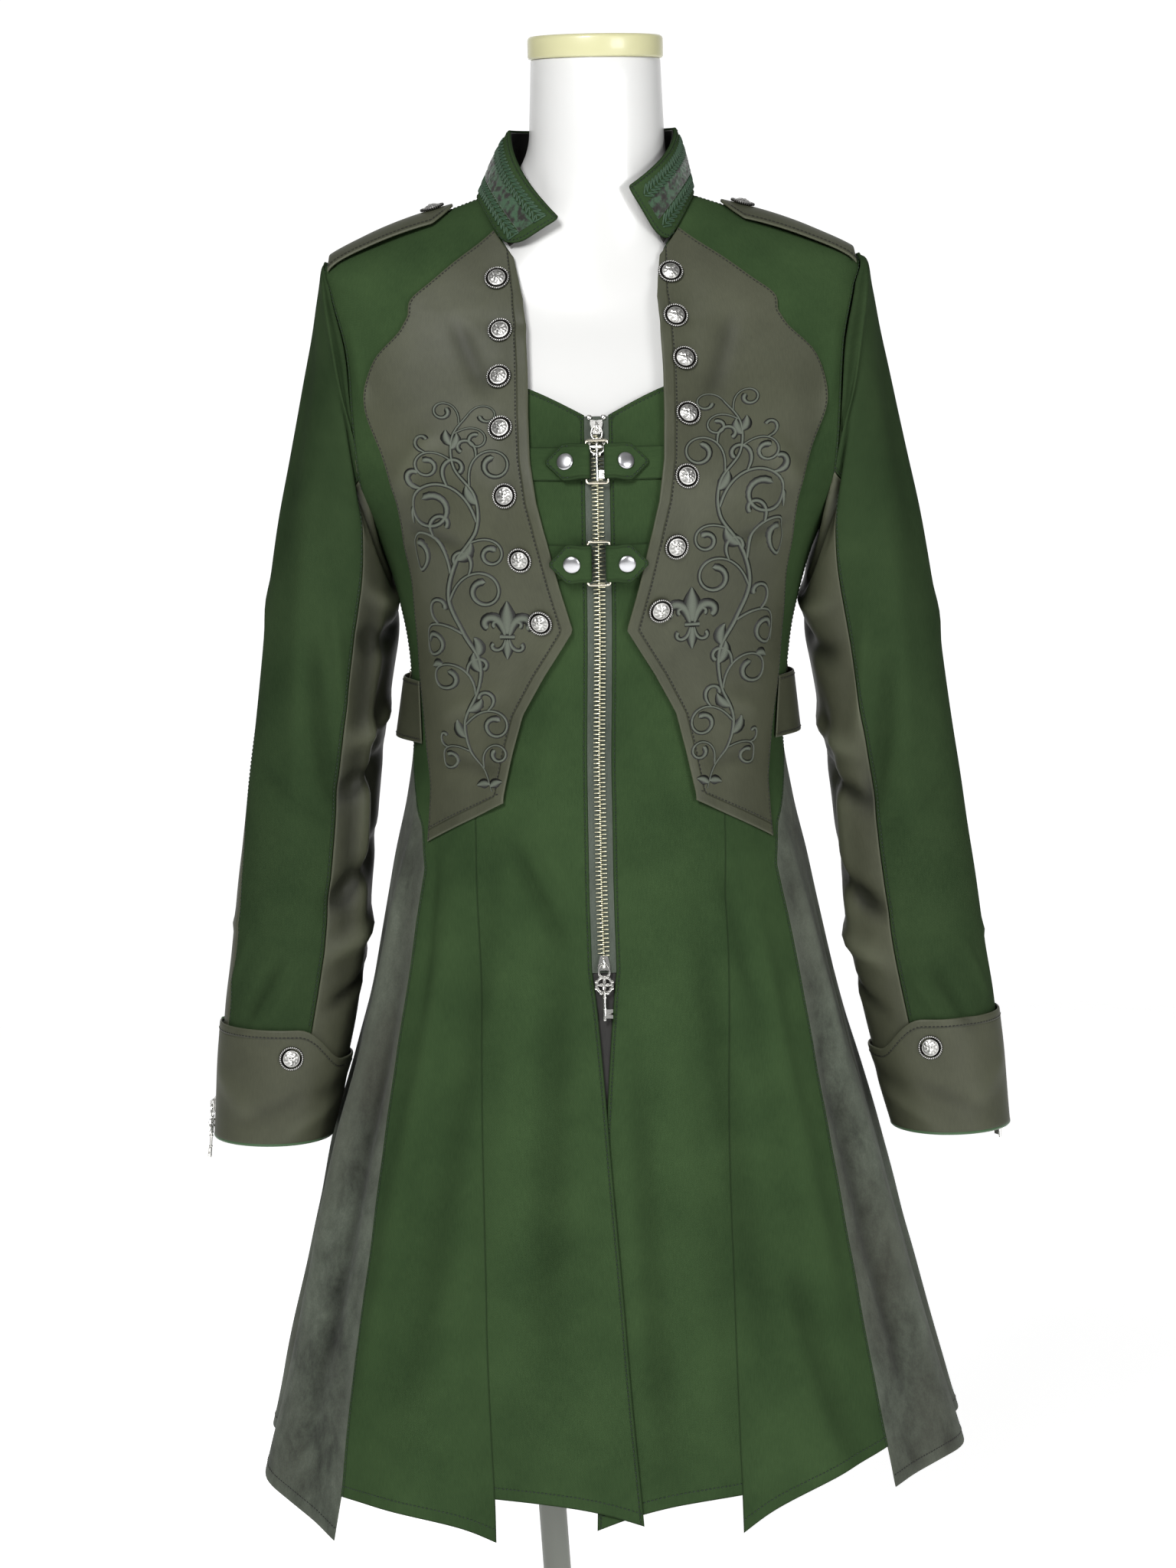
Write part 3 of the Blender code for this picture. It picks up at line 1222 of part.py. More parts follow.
def form_cap():
    """Disc that closes the neck."""
    low = NECK_TOP + 0.3 * MM
    high = low + CAP_HEIGHT
    profile = [(CAP_RADIUS - CAP_BEVEL, low), (CAP_RADIUS, low + CAP_BEVEL),
               (CAP_RADIUS, high - CAP_BEVEL), (CAP_RADIUS - CAP_BEVEL, high)]
    mesh = turned("form_cap", profile, 32, middle=(NECK_X, 0.0))
    return add_object("form_cap", mesh, "yellow_gloss")


def form_stand():
    """Round base with a leaning column that goes up into the torso's underside."""
    base_profile = [(BASE_RADIUS, 0.0), (BASE_RADIUS, BASE_HEIGHT - BASE_BEVEL),
                    (BASE_RADIUS - BASE_BEVEL, BASE_HEIGHT), (SOCKET_RADIUS, BASE_HEIGHT + 0.002),
                    (SOCKET_RADIUS * 0.8, SOCKET_HEIGHT)]
    base = turned("base", base_profile, 40, middle=(BASE_X, 0.0))
    stand = add_object("form_stand", base, "grey_paint")
    foot = Vector((BASE_X, 0, BASE_HEIGHT / 2))
    head = Vector((COLUMN_TOP_X, 0, FORM_BOTTOM - 0.5 * MM))
    column_profile = [(COLUMN_RADIUS, 0.0), (COLUMN_RADIUS, 1.0)]
    column = turned("column", column_profile, 16)
    for vertex in column.vertices:
        middle = foot.lerp(head, vertex.co.z)
        vertex.co = Vector((middle.x + vertex.co.x, vertex.co.y, middle.z))
    pole = bpy.data.objects.new("column", column)
    pole.hide_render = True
    pole.display_type = "WIRE"
    bpy.context.scene.collection.objects.link(pole)
    joint = stand.modifiers.new("column", "BOOLEAN")
    joint.operation = "UNION"
    joint.solver = "EXACT"
    joint.object = pole
    return stand


def build():
    """Make every piece of the form and the coat."""
    for obj in list(bpy.data.objects):
        bpy.data.objects.remove(obj)
    form_torso()
    form_cap()
    form_stand()
    back()
    collar()
    zip_tape()
    for side in SIDES:
        front_centre(side)
        front_side(side)
        side_gore(side)
        overlay(side)
        shoulder_tab(side)
        sleeve(side)
        cuff(side)
        side_strap(side)
        side_ring(side)
        back_tab(side)
        for which in STRAPS:
            front_strap(which, side)
    for which in STRAPS:
        front_ring(which)
    buttons()
    zip_pulls()


build()
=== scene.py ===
import math

import bmesh
import bpy
import numpy as np
from mathutils import Matrix, Vector


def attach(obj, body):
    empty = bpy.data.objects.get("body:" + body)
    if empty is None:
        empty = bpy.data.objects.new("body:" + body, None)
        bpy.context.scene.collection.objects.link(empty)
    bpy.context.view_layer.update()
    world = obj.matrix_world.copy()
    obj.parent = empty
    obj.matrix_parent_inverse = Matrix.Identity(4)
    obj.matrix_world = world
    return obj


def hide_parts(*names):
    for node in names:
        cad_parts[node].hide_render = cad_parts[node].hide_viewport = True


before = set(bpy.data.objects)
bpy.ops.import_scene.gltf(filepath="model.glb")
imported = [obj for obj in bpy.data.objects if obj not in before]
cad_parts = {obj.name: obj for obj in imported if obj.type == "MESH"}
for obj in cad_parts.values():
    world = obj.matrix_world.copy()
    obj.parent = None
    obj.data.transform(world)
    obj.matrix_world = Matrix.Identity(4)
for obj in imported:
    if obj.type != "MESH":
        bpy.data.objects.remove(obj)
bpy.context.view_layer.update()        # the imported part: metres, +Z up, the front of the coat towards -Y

mm = 0.001
coatBody = "coat_and_form"
sideNames = {-1: "left", 1: "right"}     # as the viewer sees them: -1 is on the -X side


# Camera, floor and light

view = {"focal": 5172, "height": 2048, "place": (-0.0116, -3.0, 1.40), "tiltDown": 8.2, "roll": 1.0,
        "floorRadius": 4.0, "floorSides": 64, "frontGlow": 0.13, "backGlow": 1.06, "floorGlow": 0.66}
lamps = [   # name, place, point it looks at, width, height, watts
    ("keySoftbox", (-0.9, -2.7, 2.9), (0, 0, 0.9), 0.9, 1.2, 106),
    ("fillSoftbox", (1.9, -2.4, 1.5), (0.1, 0, 0.9), 1.2, 1.0, 40),
    ("ceilingWash", (0.0, 1.0, 5.0), (0, 1.0, 0), 8.0, 8.0, 38),
]


def linear(code):       # sRGB hex to linear light: ((c + 0.055) / 1.055) to the power 2.4
    parts = [int(code[i:i + 2], 16) / 255 for i in (0, 2, 4)]
    return tuple(c / 12.92 if c < 0.04045 else ((c + 0.055) / 1.055) ** 2.4 for c in parts) + (1.0,)


def addNode(tree, kind, inputs=None, **settings):   # one node; inputs are values or the sockets that feed it
    node = tree.nodes.new("ShaderNode" + kind)
    for key, value in settings.items():
        setattr(node, key, value)
    for key, value in (inputs or {}).items():
        if isinstance(value, bpy.types.NodeSocket):
            tree.links.new(value, node.inputs[key])
        else:
            node.inputs[key].default_value = value
    return node


def newMaterial(name, sockets):     # constants go on the shader's own sockets
    material = bpy.data.materials.new(name)
    material.use_nodes = True
    shader = material.node_tree.nodes["Principled BSDF"]
    for key, value in sockets.items():
        shader.inputs[key].default_value = value
    return material, material.node_tree, shader


def attribute(tree, name):
    return addNode(tree, "Attribute", attribute_name=name).outputs["Fac"]


def objectPlace(tree):
    return addNode(tree, "TexCoord").outputs["Object"]


def mapped(tree, vector, turn=0.0, scale=(1, 1, 1)):
    return addNode(tree, "Mapping", {"Vector": vector, "Rotation": (0, 0, turn), "Scale": scale}).outputs["Vector"]


def noise(tree, vector, scale, detail, **more):
    return addNode(tree, "TexNoise", {"Vector": vector, "Scale": scale, "Detail": detail, **more}).outputs["Fac"]


def mixed(tree, share, low, high):      # colours as hex codes, values or sockets
    low, high = [linear(c) if isinstance(c, str) else c for c in (low, high)]
    return addNode(tree, "MixRGB", {"Fac": share, "Color1": low, "Color2": high}).outputs["Color"]


def remap(tree, value, low, high, first=0.0, last=1.0, kind="LINEAR"):      # low to high becomes first to last
    return addNode(tree, "MapRange", {"Value": value, "From Min": low, "From Max": high, "To Min": first,
                                      "To Max": last}, interpolation_type=kind).outputs["Result"]


def timesPlus(tree, value, times, plus=0.0):
    return addNode(tree, "Math", {0: value, 1: times, 2: plus}, operation="MULTIPLY_ADD").outputs[0]


def dress(tree, shader, colour, height=None):   # height in metres
    tree.links.new(colour, shader.inputs["Base Color"])
    if height is not None:
        bump = addNode(tree, "Bump", {"Height": height, "Strength": 1.0, "Distance": 1.0})
        tree.links.new(bump.outputs["Normal"], shader.inputs["Normal"])


def setStage():
    data = bpy.data.cameras.new("photoCamera")
    data.sensor_fit = "VERTICAL"
    data.sensor_height = 36
    data.lens = view["focal"] / view["height"] * 36
    camera = bpy.data.objects.new("photoCamera", data)
    down, roll = math.radians(view["tiltDown"]), math.radians(view["roll"])
    ahead = Vector((0, math.cos(down), -math.sin(down)))
    up = Vector((0, math.sin(down), math.cos(down)))
    right = Vector((1, 0, 0))
    turnedRight = right * math.cos(roll) - up * math.sin(roll)
    turnedUp = right * math.sin(roll) + up * math.cos(roll)
    rows = [tuple(row) for row in zip(turnedRight, turnedUp, -ahead, view["place"])]
    camera.matrix_world = Matrix(rows + [(0, 0, 0, 1)])
    bpy.context.scene.collection.objects.link(camera)
    bpy.context.scene.camera = camera
    for name, place, aim, width, height, watts in lamps:
        light = bpy.data.lights.new(name, "AREA")
        light.shape, light.size, light.size_y, light.energy = "RECTANGLE", width, height, watts
        lamp = bpy.data.objects.new(name, light)
        lamp.location = place
        lamp.rotation_euler = (Vector(aim) - Vector(place)).to_track_quat("-Z", "Y").to_euler()
        lamp.visible_camera = False
        bpy.context.scene.collection.objects.link(lamp)
    # The studio: a white backdrop behind the coat, dimmer in front of it, by the direction's Y
    world = bpy.data.worlds.new("paleStudio")
    world.use_nodes = True
    tree = world.node_tree
    way = addNode(tree, "SeparateXYZ", {0: addNode(tree, "TexCoord").outputs["Generated"]}).outputs["Y"]
    glow = remap(tree, way, 0.60, 0.96, view["frontGlow"], view["backGlow"], "SMOOTHSTEP")
    tree.links.new(glow, tree.nodes["Background"].inputs["Strength"])
    tree.nodes["Background"].inputs["Color"].default_value = (1.0, 1.0, 1.0, 1.0)
    bpy.context.scene.world = world
    bpy.context.scene.view_settings.view_transform = "Standard"
    # White paper floor: matt, with a faint fibre mottle
    paper, tree, shader = newMaterial("paperFloor", {"Roughness": 0.9, "Specular IOR Level": 0.2,
                                                     "Emission Color": (1, 1, 1, 1),
                                                     "Emission Strength": view["floorGlow"]})
    dress(tree, shader, mixed(tree, noise(tree, objectPlace(tree), 2.0, 4.0), "FBFBFA", "FFFFFF"))
    turns = np.linspace(0, 2 * math.pi, view["floorSides"], endpoint=False)
    rim = np.stack([view["floorRadius"] * np.cos(turns), view["floorRadius"] * np.sin(turns), 0 * turns], axis=1)
    mesh = bpy.data.meshes.new("paperFloor")
    mesh.from_pydata([tuple(p) for p in rim], [], [list(range(len(rim)))])
    mesh.materials.append(paper)
    floor = bpy.data.objects.new("paperFloor", mesh)
    bpy.context.scene.collection.objects.link(floor)


setStage()
print("camera, lamps and floor are set")


# Shape of the wearer: rings round the body, and the folds and creases of the cloth over it

bodyRings = np.array([  # level, half width, depth in front, depth behind, front drop, back rise, shift to +X
    (0.340, 0.3020, 0.222, 0.232, 0.000, 0.000, 0.004), (0.460, 0.2690, 0.198, 0.205, 0.000, 0.000, 0.002),
    (0.530, 0.2500, 0.186, 0.190, 0.000, 0.000, 0.000), (0.620, 0.2270, 0.170, 0.175, 0.000, 0.000, -0.001),
    (0.700, 0.2080, 0.156, 0.160, 0.000, 0.000, -0.002), (0.770, 0.1890, 0.145, 0.149, 0.000, 0.000, -0.002),
    (0.840, 0.1725, 0.134, 0.139, 0.000, 0.000, -0.002), (0.910, 0.1575, 0.123, 0.125, 0.000, 0.000, -0.003),
    (0.960, 0.1460, 0.113, 0.110, 0.000, 0.000, -0.003), (1.000, 0.1395, 0.106, 0.098, 0.000, 0.000, -0.003),
    (1.045, 0.1405, 0.108, 0.096, 0.000, 0.000, -0.002), (1.100, 0.1470, 0.121, 0.104, 0.000, 0.000, -0.001),
    (1.165, 0.1680, 0.136, 0.114, 0.000, 0.000, -0.001), (1.210, 0.1960, 0.130, 0.119, 0.004, 0.000, -0.001),
    (1.260, 0.2110, 0.112, 0.120, 0.012, 0.000, -0.001), (1.310, 0.2090, 0.092, 0.112, 0.026, 0.003, -0.001),
    (1.348, 0.2040, 0.080, 0.098, 0.041, 0.008, -0.002), (1.366, 0.1970, 0.075, 0.088, 0.052, 0.011, -0.002),
    (1.380, 0.1650, 0.072, 0.083, 0.060, 0.012, -0.003), (1.394, 0.1280, 0.068, 0.077, 0.069, 0.013, -0.004),
    (1.404, 0.0990, 0.063, 0.069, 0.076, 0.014, -0.005), (1.411, 0.0786, 0.058, 0.062, 0.081, 0.015, -0.006)])
neckLevel = 1.411
# The armhole's middle level, half its height, half its angle in degrees, and the body's half width there
armhole = {"middle": 1.2655, "half": 0.1005, "halfAngle": 31.0, "halfWidth": 0.2110}

skirtFolds = np.array([  # degrees from the front, width in degrees, rise in metres
    (10.0, 7.0, 0.0030), (24.0, 6.0, -0.0050), (38.0, 7.0, 0.0045), (56.0, 6.0, -0.0030), (73.0, 7.0, 0.0070),
    (90.0, 7.5, -0.0120), (106.5, 7.5, 0.0100), (124.0, 7.5, -0.0120), (142.0, 9.0, 0.0140), (161.0, 8.0, -0.0150),
    (180.0, 8.5, 0.0120)])

coatCreases = np.array([  # from degrees, level, to degrees, level, width in mm, rise in mm
    (-27, 0.945, -9, 0.862, 7, -4.6), (-19, 0.950, -5, 0.890, 6, 2.4), (-12, 0.87, -12, 0.56, 11, -4.6),
    (-22, 0.84, -23, 0.48, 12, 3.8), (-31, 0.93, -38, 0.50, 11, -3.8), (-44, 0.90, -50, 0.47, 10, 3.8),
    (6.5, 0.80, 8.5, 0.46, 7, -4.6), (16, 0.84, 17, 0.48, 12, 4.2), (26, 0.90, 29, 0.55, 10, -4.2),
    (36, 0.63, 42, 0.47, 9, -4.9), (44, 0.90, 45, 0.55, 10, 3.8), (-52, 0.93, -49, 0.80, 6, -2.1),
    (34, 0.93, 40, 0.80, 7, -2.1), (-68, 0.95, -74, 0.56, 9, 6.5), (-82, 0.88, -80, 0.48, 8, -6.5),
    (-61, 0.84, -62, 0.47, 7, -4.6), (66, 0.94, 71, 0.52, 9, 5.7), (80, 0.90, 84, 0.48, 8, -6.5),
    (59, 0.80, 61, 0.50, 7, -4.6), (-95, 0.80, -100, 0.46, 8, 4.6), (96, 0.80, 100, 0.46, 8, 4.6),
    (-50, 1.200, -33, 1.250, 7, 2.2), (-54, 1.175, -34, 1.160, 6, -2.1), (50, 1.200, 34, 1.245, 7, 2.2),
    (54, 1.175, 35, 1.162, 6, -2.1), (-56, 1.03, -28, 1.055, 6, 1.5), (-58, 1.00, -30, 0.992, 6, -1.7),
    (57, 1.03, 30, 1.050, 6, 1.5), (58, 1.00, 32, 0.996, 6, -1.7), (-12, 1.060, -20, 0.960, 7, 1.4),
    (11, 1.050, 19, 0.950, 7, 1.4), (-8, 1.190, -16, 1.165, 4, 0.8), (8, 1.185, 17, 1.160, 4, 0.8),
    (-30, 1.36, -22, 1.28, 7, -2.0), (30, 1.36, 22, 1.27, 7, -2.0), (-60, 1.33, -52, 1.26, 7, 2.1),
    (60, 1.33, 52, 1.25, 7, 2.1)])
backCreases = np.array([    # one side's, mirrored to the other
    (150, 1.05, 168, 1.03, 6, 2.4), (146, 1.00, 170, 0.985, 6, -2.1), (130, 1.20, 150, 1.13, 8, 2.7),
    (122, 1.28, 140, 1.25, 8, -2.4), (160, 0.92, 168, 0.55, 9, 4.2), (118, 0.90, 113, 0.50, 9, -3.8)])
coatCreases = np.concatenate([coatCreases, backCreases, backCreases * [-1, 1, -1, 1, 1, 1]])


lastCrease = {}     # the creases under the points that were worked out last, for the panel's attribute


def blend(low, high, value):    # smooth step from 0 at low to 1 at high
    t = np.clip((value - low) / (high - low), 0.0, 1.0)
    return t * t * (3 - 2 * t)


def between(low, high, share):
    return low + (high - low) * share


def cubic(t, low, high, lowSlope, highSlope):   # from low to high as t goes from 0 to 1, with the slopes at both ends
    return ((1 + 2 * t) * (1 - t) ** 2 * low + t * (1 - t) ** 2 * lowSlope
            + t * t * (3 - 2 * t) * high + t * t * (t - 1) * highSlope)


def readTable(table, column, at):   # smooth curve through one column against the first one
    xs, ys = table[:, 0], table[:, column]
    slopes = np.gradient(ys, xs)
    i = np.clip(np.searchsorted(xs, at, side="right") - 1, 0, len(xs) - 2)
    step = xs[i + 1] - xs[i]
    return cubic((at - xs[i]) / step, ys[i], ys[i + 1], step * slopes[i], step * slopes[i + 1])


def follow(at, run, table):     # each column of a table, read at distances along a run
    return np.stack([np.interp(at, run, column) for column in table.T], axis=-1)


def unit(vectors):
    return vectors / np.linalg.norm(vectors, axis=-1, keepdims=True)


def creaseLift(creases, a, b, scaleA, scaleB):
    # Each crease is a ridge along a straight line: rise times a bell of the distance to it, faded at both ends.
    # Between them the cloth is uneven by slow waves of a third of a millimetre.
    total = 0.30 * mm * (np.sin(a * scaleA / 0.021 + 2.1 * np.sin(b * scaleB / 0.05))
                         * np.sin(b * scaleB / 0.017 + 1.3 * np.sin(a * scaleA / 0.033)))
    for a0, b0, a1, b1, width, rise in creases:
        x, y = (a - a0) * scaleA, (b - b0) * scaleB
        dx, dy = (a1 - a0) * scaleA, (b1 - b0) * scaleB
        long = dx * dx + dy * dy
        t = (x * dx + y * dy) / long
        away = np.abs(x * dy - y * dx) / math.sqrt(long)
        total = total + rise * mm * np.exp(-(away / (width * mm)) ** 2) * blend(-0.12, 0.3, t) * blend(1.12, 0.7, t)
    return total


def wrapDegrees(angle):
    return (np.degrees(angle) + 180) % 360 - 180


def bodyPoint(angle, level):
    # x is the shift plus half width times sine, y is depth times cosine, z is the level, tilted over the shoulders
    half, front, behind, drop, rise, shift = [readTable(bodyRings, k, level) for k in range(1, 7)]
    around = np.abs(wrapDegrees(angle))
    fold = sum(rise0 * np.exp(-((around - centre) / width) ** 2) for centre, width, rise0 in skirtFolds)
    fold = fold * np.clip((0.95 - level) / 0.50, 0.0, 1.2) ** 1.5
    s, c = np.sin(angle), np.cos(angle)
    return np.stack([shift + (half + fold) * s, -(np.where(c > 0, front, behind) + fold) * c,
                     level + np.where(c > 0, -drop, rise) * c * c], axis=-1)


def bodyNormal(angle, level):   # across one step of the angle, crossed with up one step of the level
    d = 1e-3
    across = bodyPoint(angle + d, level) - bodyPoint(angle - d, level)
    up = bodyPoint(angle, np.minimum(level + d, neckLevel)) - bodyPoint(angle, level - d)
    return unit(np.cross(across, up))


def lifted(angle, level, lift):     # body surface moved out by a lift
    angle, level, lift = np.broadcast_arrays(angle, level, lift)
    return bodyPoint(angle, level) + bodyNormal(angle, level) * np.asarray(lift)[..., None]


def onCoat(angle, level, lift):     # the same with the cloth's creases, which die out beside the zip and the neck
    calm = blend(0.02, 0.14, np.abs(np.sin(angle))) * blend(1.40, 1.36, level)
    calm = np.where(np.cos(angle) > 0, np.maximum(calm, 0.15), 1.0)
    crease = creaseLift(coatCreases, wrapDegrees(angle), level, math.radians(0.16), 1.0)
    lastCrease["rise"] = crease * calm
    return lifted(angle, level, lift + crease * calm)


def angleAt(x, level):      # angle at which a level's ring is x away from the middle
    return np.arcsin(np.clip(x / readTable(bodyRings, 1, level), -1.0, 1.0))


# Mesh making

def makeMesh(name, points, quads, tris=np.empty((0, 3), int), outward=True):
    points = np.asarray(points, float).reshape(-1, 3)
    mesh = bpy.data.meshes.new(name)
    mesh.vertices.add(len(points))
    mesh.vertices.foreach_set("co", points.astype(np.float32).ravel())
    corners = np.concatenate([np.asarray(quads).reshape(-1), np.asarray(tris).reshape(-1)]).astype(np.int32)
    count4, count3 = len(quads), len(tris)
    starts = np.concatenate([np.arange(count4) * 4, count4 * 4 + np.arange(count3) * 3]).astype(np.int32)
    mesh.loops.add(len(corners))
    mesh.loops.foreach_set("vertex_index", corners)
    mesh.polygons.add(len(starts))
    mesh.polygons.foreach_set("loop_start", starts)
    mesh.update(calc_edges=True)
    mesh.validate()
    if outward:
        bm = bmesh.new()
        bm.from_mesh(mesh)
        bmesh.ops.recalc_face_normals(bm, faces=bm.faces)
        bm.to_mesh(mesh)
        bm.free()
    mesh.shade_smooth()
    return mesh


def addPiece(name, mesh, finish, nodes=(), body=coatBody):
    mesh.materials.append(materials[finish])
    piece = bpy.data.objects.new(name, mesh)
    bpy.context.scene.collection.objects.link(piece)
    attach(piece, body)
    if nodes:
        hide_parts(*nodes)
    return piece


def setAttribute(mesh, name, values):
    layer = mesh.attributes.new(name, "FLOAT", "POINT")
    layer.data.foreach_set("value", np.asarray(values, np.float32).ravel())


def setMap(mesh, u, v):     # the cloth's own map, in metres across and along it
    index = np.empty(len(mesh.loops), np.int32)
    mesh.loops.foreach_get("vertex_index", index)
    layer = mesh.uv_layers.new(name="cloth")
    pairs = np.stack([np.ravel(u)[index], np.ravel(v)[index]], axis=1)
    layer.data.foreach_set("uv", pairs.astype(np.float32).ravel())


def gridQuads(rows, columns, first=0, closed=False):    # closed joins the last column to the first one
    i, j = np.meshgrid(np.arange(rows - 1), np.arange(columns if closed else columns - 1), indexing="ij")
    n = (j + 1) % columns
    low, high = i * columns, (i + 1) * columns
    return first + np.stack([low + j, low + n, high + n, high + j], axis=-1).reshape(-1, 4)


def closedRows(rows, ends):     # rows of points round a body, closed by a fan round each end point
    count, sides = rows.shape[:2]
    k = np.arange(sides)
    n, far = (k + 1) % sides, (count - 1) * sides
    tris = np.concatenate([np.stack([n, k, 0 * k + count * sides], axis=1),
                           np.stack([far + k, far + n, 0 * k + count * sides + 1], axis=1)])
    return np.concatenate([rows.reshape(-1, 3), ends]), gridQuads(count, sides, closed=True), tris


def copiedFaces(quads, tris, count, each):      # faces of copies of a shape that has so many points each
    first = (np.arange(count) * each)[:, None, None]
    return (quads + first).reshape(-1, 4), (tris + first).reshape(-1, 3)


def placedCopies(shape, spots, *axes):      # the shape's points at each spot, along that spot's three vectors
    return spots[:, None] + sum(shape[None, :, k:k + 1] * axis[:, None] for k, axis in enumerate(axes))


def gather(shapes):     # several shapes (points, quads, tris) as one
    points, quads, tris, first = [], [], [], 0
    for p, q, t in shapes:
        points.append(p)
        quads.append(q + first)
        tris.append(t + first)
        first += len(p)
    return np.concatenate(points), np.concatenate(quads), np.concatenate(tris)


def tubeAlong(path, radius, sides, facing, closed=False, flat=1.0):
    # Round bar: at each point of the path a ring of the radius, set by the path's direction and a facing vector.
    path = np.asarray(path, float)
    count = len(path)
    ahead = np.roll(path, -1, axis=0) - np.roll(path, 1, axis=0) if closed else np.gradient(path, axis=0)
    ahead = unit(ahead)
    across = unit(np.cross(ahead, np.broadcast_to(facing, path.shape)))
    out = np.cross(across, ahead)
    turn = 2 * math.pi * (np.arange(sides) + 0.5) / sides
    size = np.broadcast_to(radius, (count,))[:, None, None]
    points = path[:, None] + size * (across[:, None] * np.cos(turn)[None, :, None]
                                     + flat * out[:, None] * np.sin(turn)[None, :, None])
    if closed:
        quads = gridQuads(count + 1, sides, closed=True) % (count * sides)      # the last row is the first one again
        return points.reshape(-1, 3), quads, np.empty((0, 3), int)
    cap = 0.4 * size[:, 0]
    return closedRows(points, [path[0] - ahead[0] * cap[0], path[-1] + ahead[-1] * cap[-1]])


def turnedShape(profile, sides):    # turned about Z from radius and height; both ends close on the axis
    profile = np.asarray(profile, float)
    turn = 2 * math.pi * np.arange(sides) / sides
    radius, height = profile[:, :1], profile[:, 1:]
    rows = np.stack([radius * np.cos(turn), radius * np.sin(turn), height + 0 * turn], axis=-1)
    return closedRows(rows, [(0, 0, profile[0, 1]), (0, 0, profile[-1, 1])])


def plateShape(outline, low, high, bevel):  # flat plate: the outline carried up, drawn in by the bevel at both faces
    outline = np.asarray(outline, float)
    ahead = unit(np.roll(outline, -1, axis=0) - np.roll(outline, 1, axis=0))
    inward = np.stack([-ahead[:, 1], ahead[:, 0]], axis=1)
    rows = np.array([np.column_stack([outline + inward * draw, np.full(len(outline), z)])
                     for draw, z in ((bevel, low), (0, low + bevel), (0, high - bevel), (bevel, high))])
    middle = outline.mean(axis=0)
    return closedRows(rows, [(*middle, low), (*middle, high)])


def arc(x, y, radius, degrees):     # points of a circle's part
    return [(x + radius * math.cos(t), y + radius * math.sin(t)) for t in np.radians(degrees)]


def moved(shape, origin, across, up):   # shape placed with its X across, its Y up and its Z out
    x = unit(np.asarray(across, float))
    z = unit(np.cross(x, up))
    turn = np.stack([x, np.cross(z, x), z])
    return shape[0] @ turn + np.asarray(origin), shape[1], shape[2]


# Materials, each named for the real one

clothColumns = ("foldPaint", "dark", "light", "edge", "worn", "rib", "ribTurn", "ribDepth", "roughness", "sheen",
                "specular", "fold")     # rib, its depth and the fold in mm, its turn in radians
# foldPaint: how much painted shade goes into a crease's valley and how much painted highlight onto its ridge
clothRows = {
    # Cotton twill, piece-dyed dark green: matt, its ribs drawn at 1.1 mm because the real 0.4 mm is too fine
    "cottonTwill": ((0.24, 0.3), "273721", "34462B", "1B2517", 0.75, 1.1, 1.10, 0.030, 0.95, 0.0, 0.03, 0.30),
    # The same twill on the sleeves, a little darker: a shaded copy of it, painted shade
    "shadedSleeveTwill": ((0.30, 0.35), "22301D", "2F3E27", "182013", 0.75, 1.1, 1.10, 0.030, 0.95, 0.0, 0.03, 0.30),
    # Polyester sateen in grey-brown: smooth floats that catch a soft light, ribs drawn at 0.9 mm
    "taupeSateen": ((0.85, 0.55), "36382B", "454738", "575A49", 0.35, 0.9, 0.35, 0.016, 0.52, 0.0, 0.24, 0.35),
    # Grey-green herringbone zip tape of polyester
    "zipTapeWeave": ((0, 0), "30372F", "4E554C", "4E554C", 0.2, 1.5, 0.78, 0.05, 0.75, 0.1, 0.3, 0.0),
    # Dark satin lining inside the collar
    "satinLining": ((0, 0), "1B1A19", "262523", "2C2A28", 0.4, 0.9, 0.3, 0.01, 0.5, 0.0, 0.3, 0.0),
}
wavePeriod = 0.314      # of a wave texture whose scale is one


def waves(tree, vector, period, **more):
    return addNode(tree, "TexWave", {"Vector": vector, "Scale": wavePeriod / period, **more}).outputs["Fac"]


def paintedFoldLight(tree, base, dark, light, deep, high):    # painted highlight along a crease's ridge, painted shade down in its valley
    crease = attribute(tree, "crease")
    shade = tuple(0.25 * v for v in linear(dark)[:3]) + (1.0,)
    for colour, reach, much in ((shade, -4 * mm, deep), (light, 4 * mm, high)):
        base = mixed(tree, remap(tree, crease, 0.0, reach, 0.0, much), base, colour)
    return base


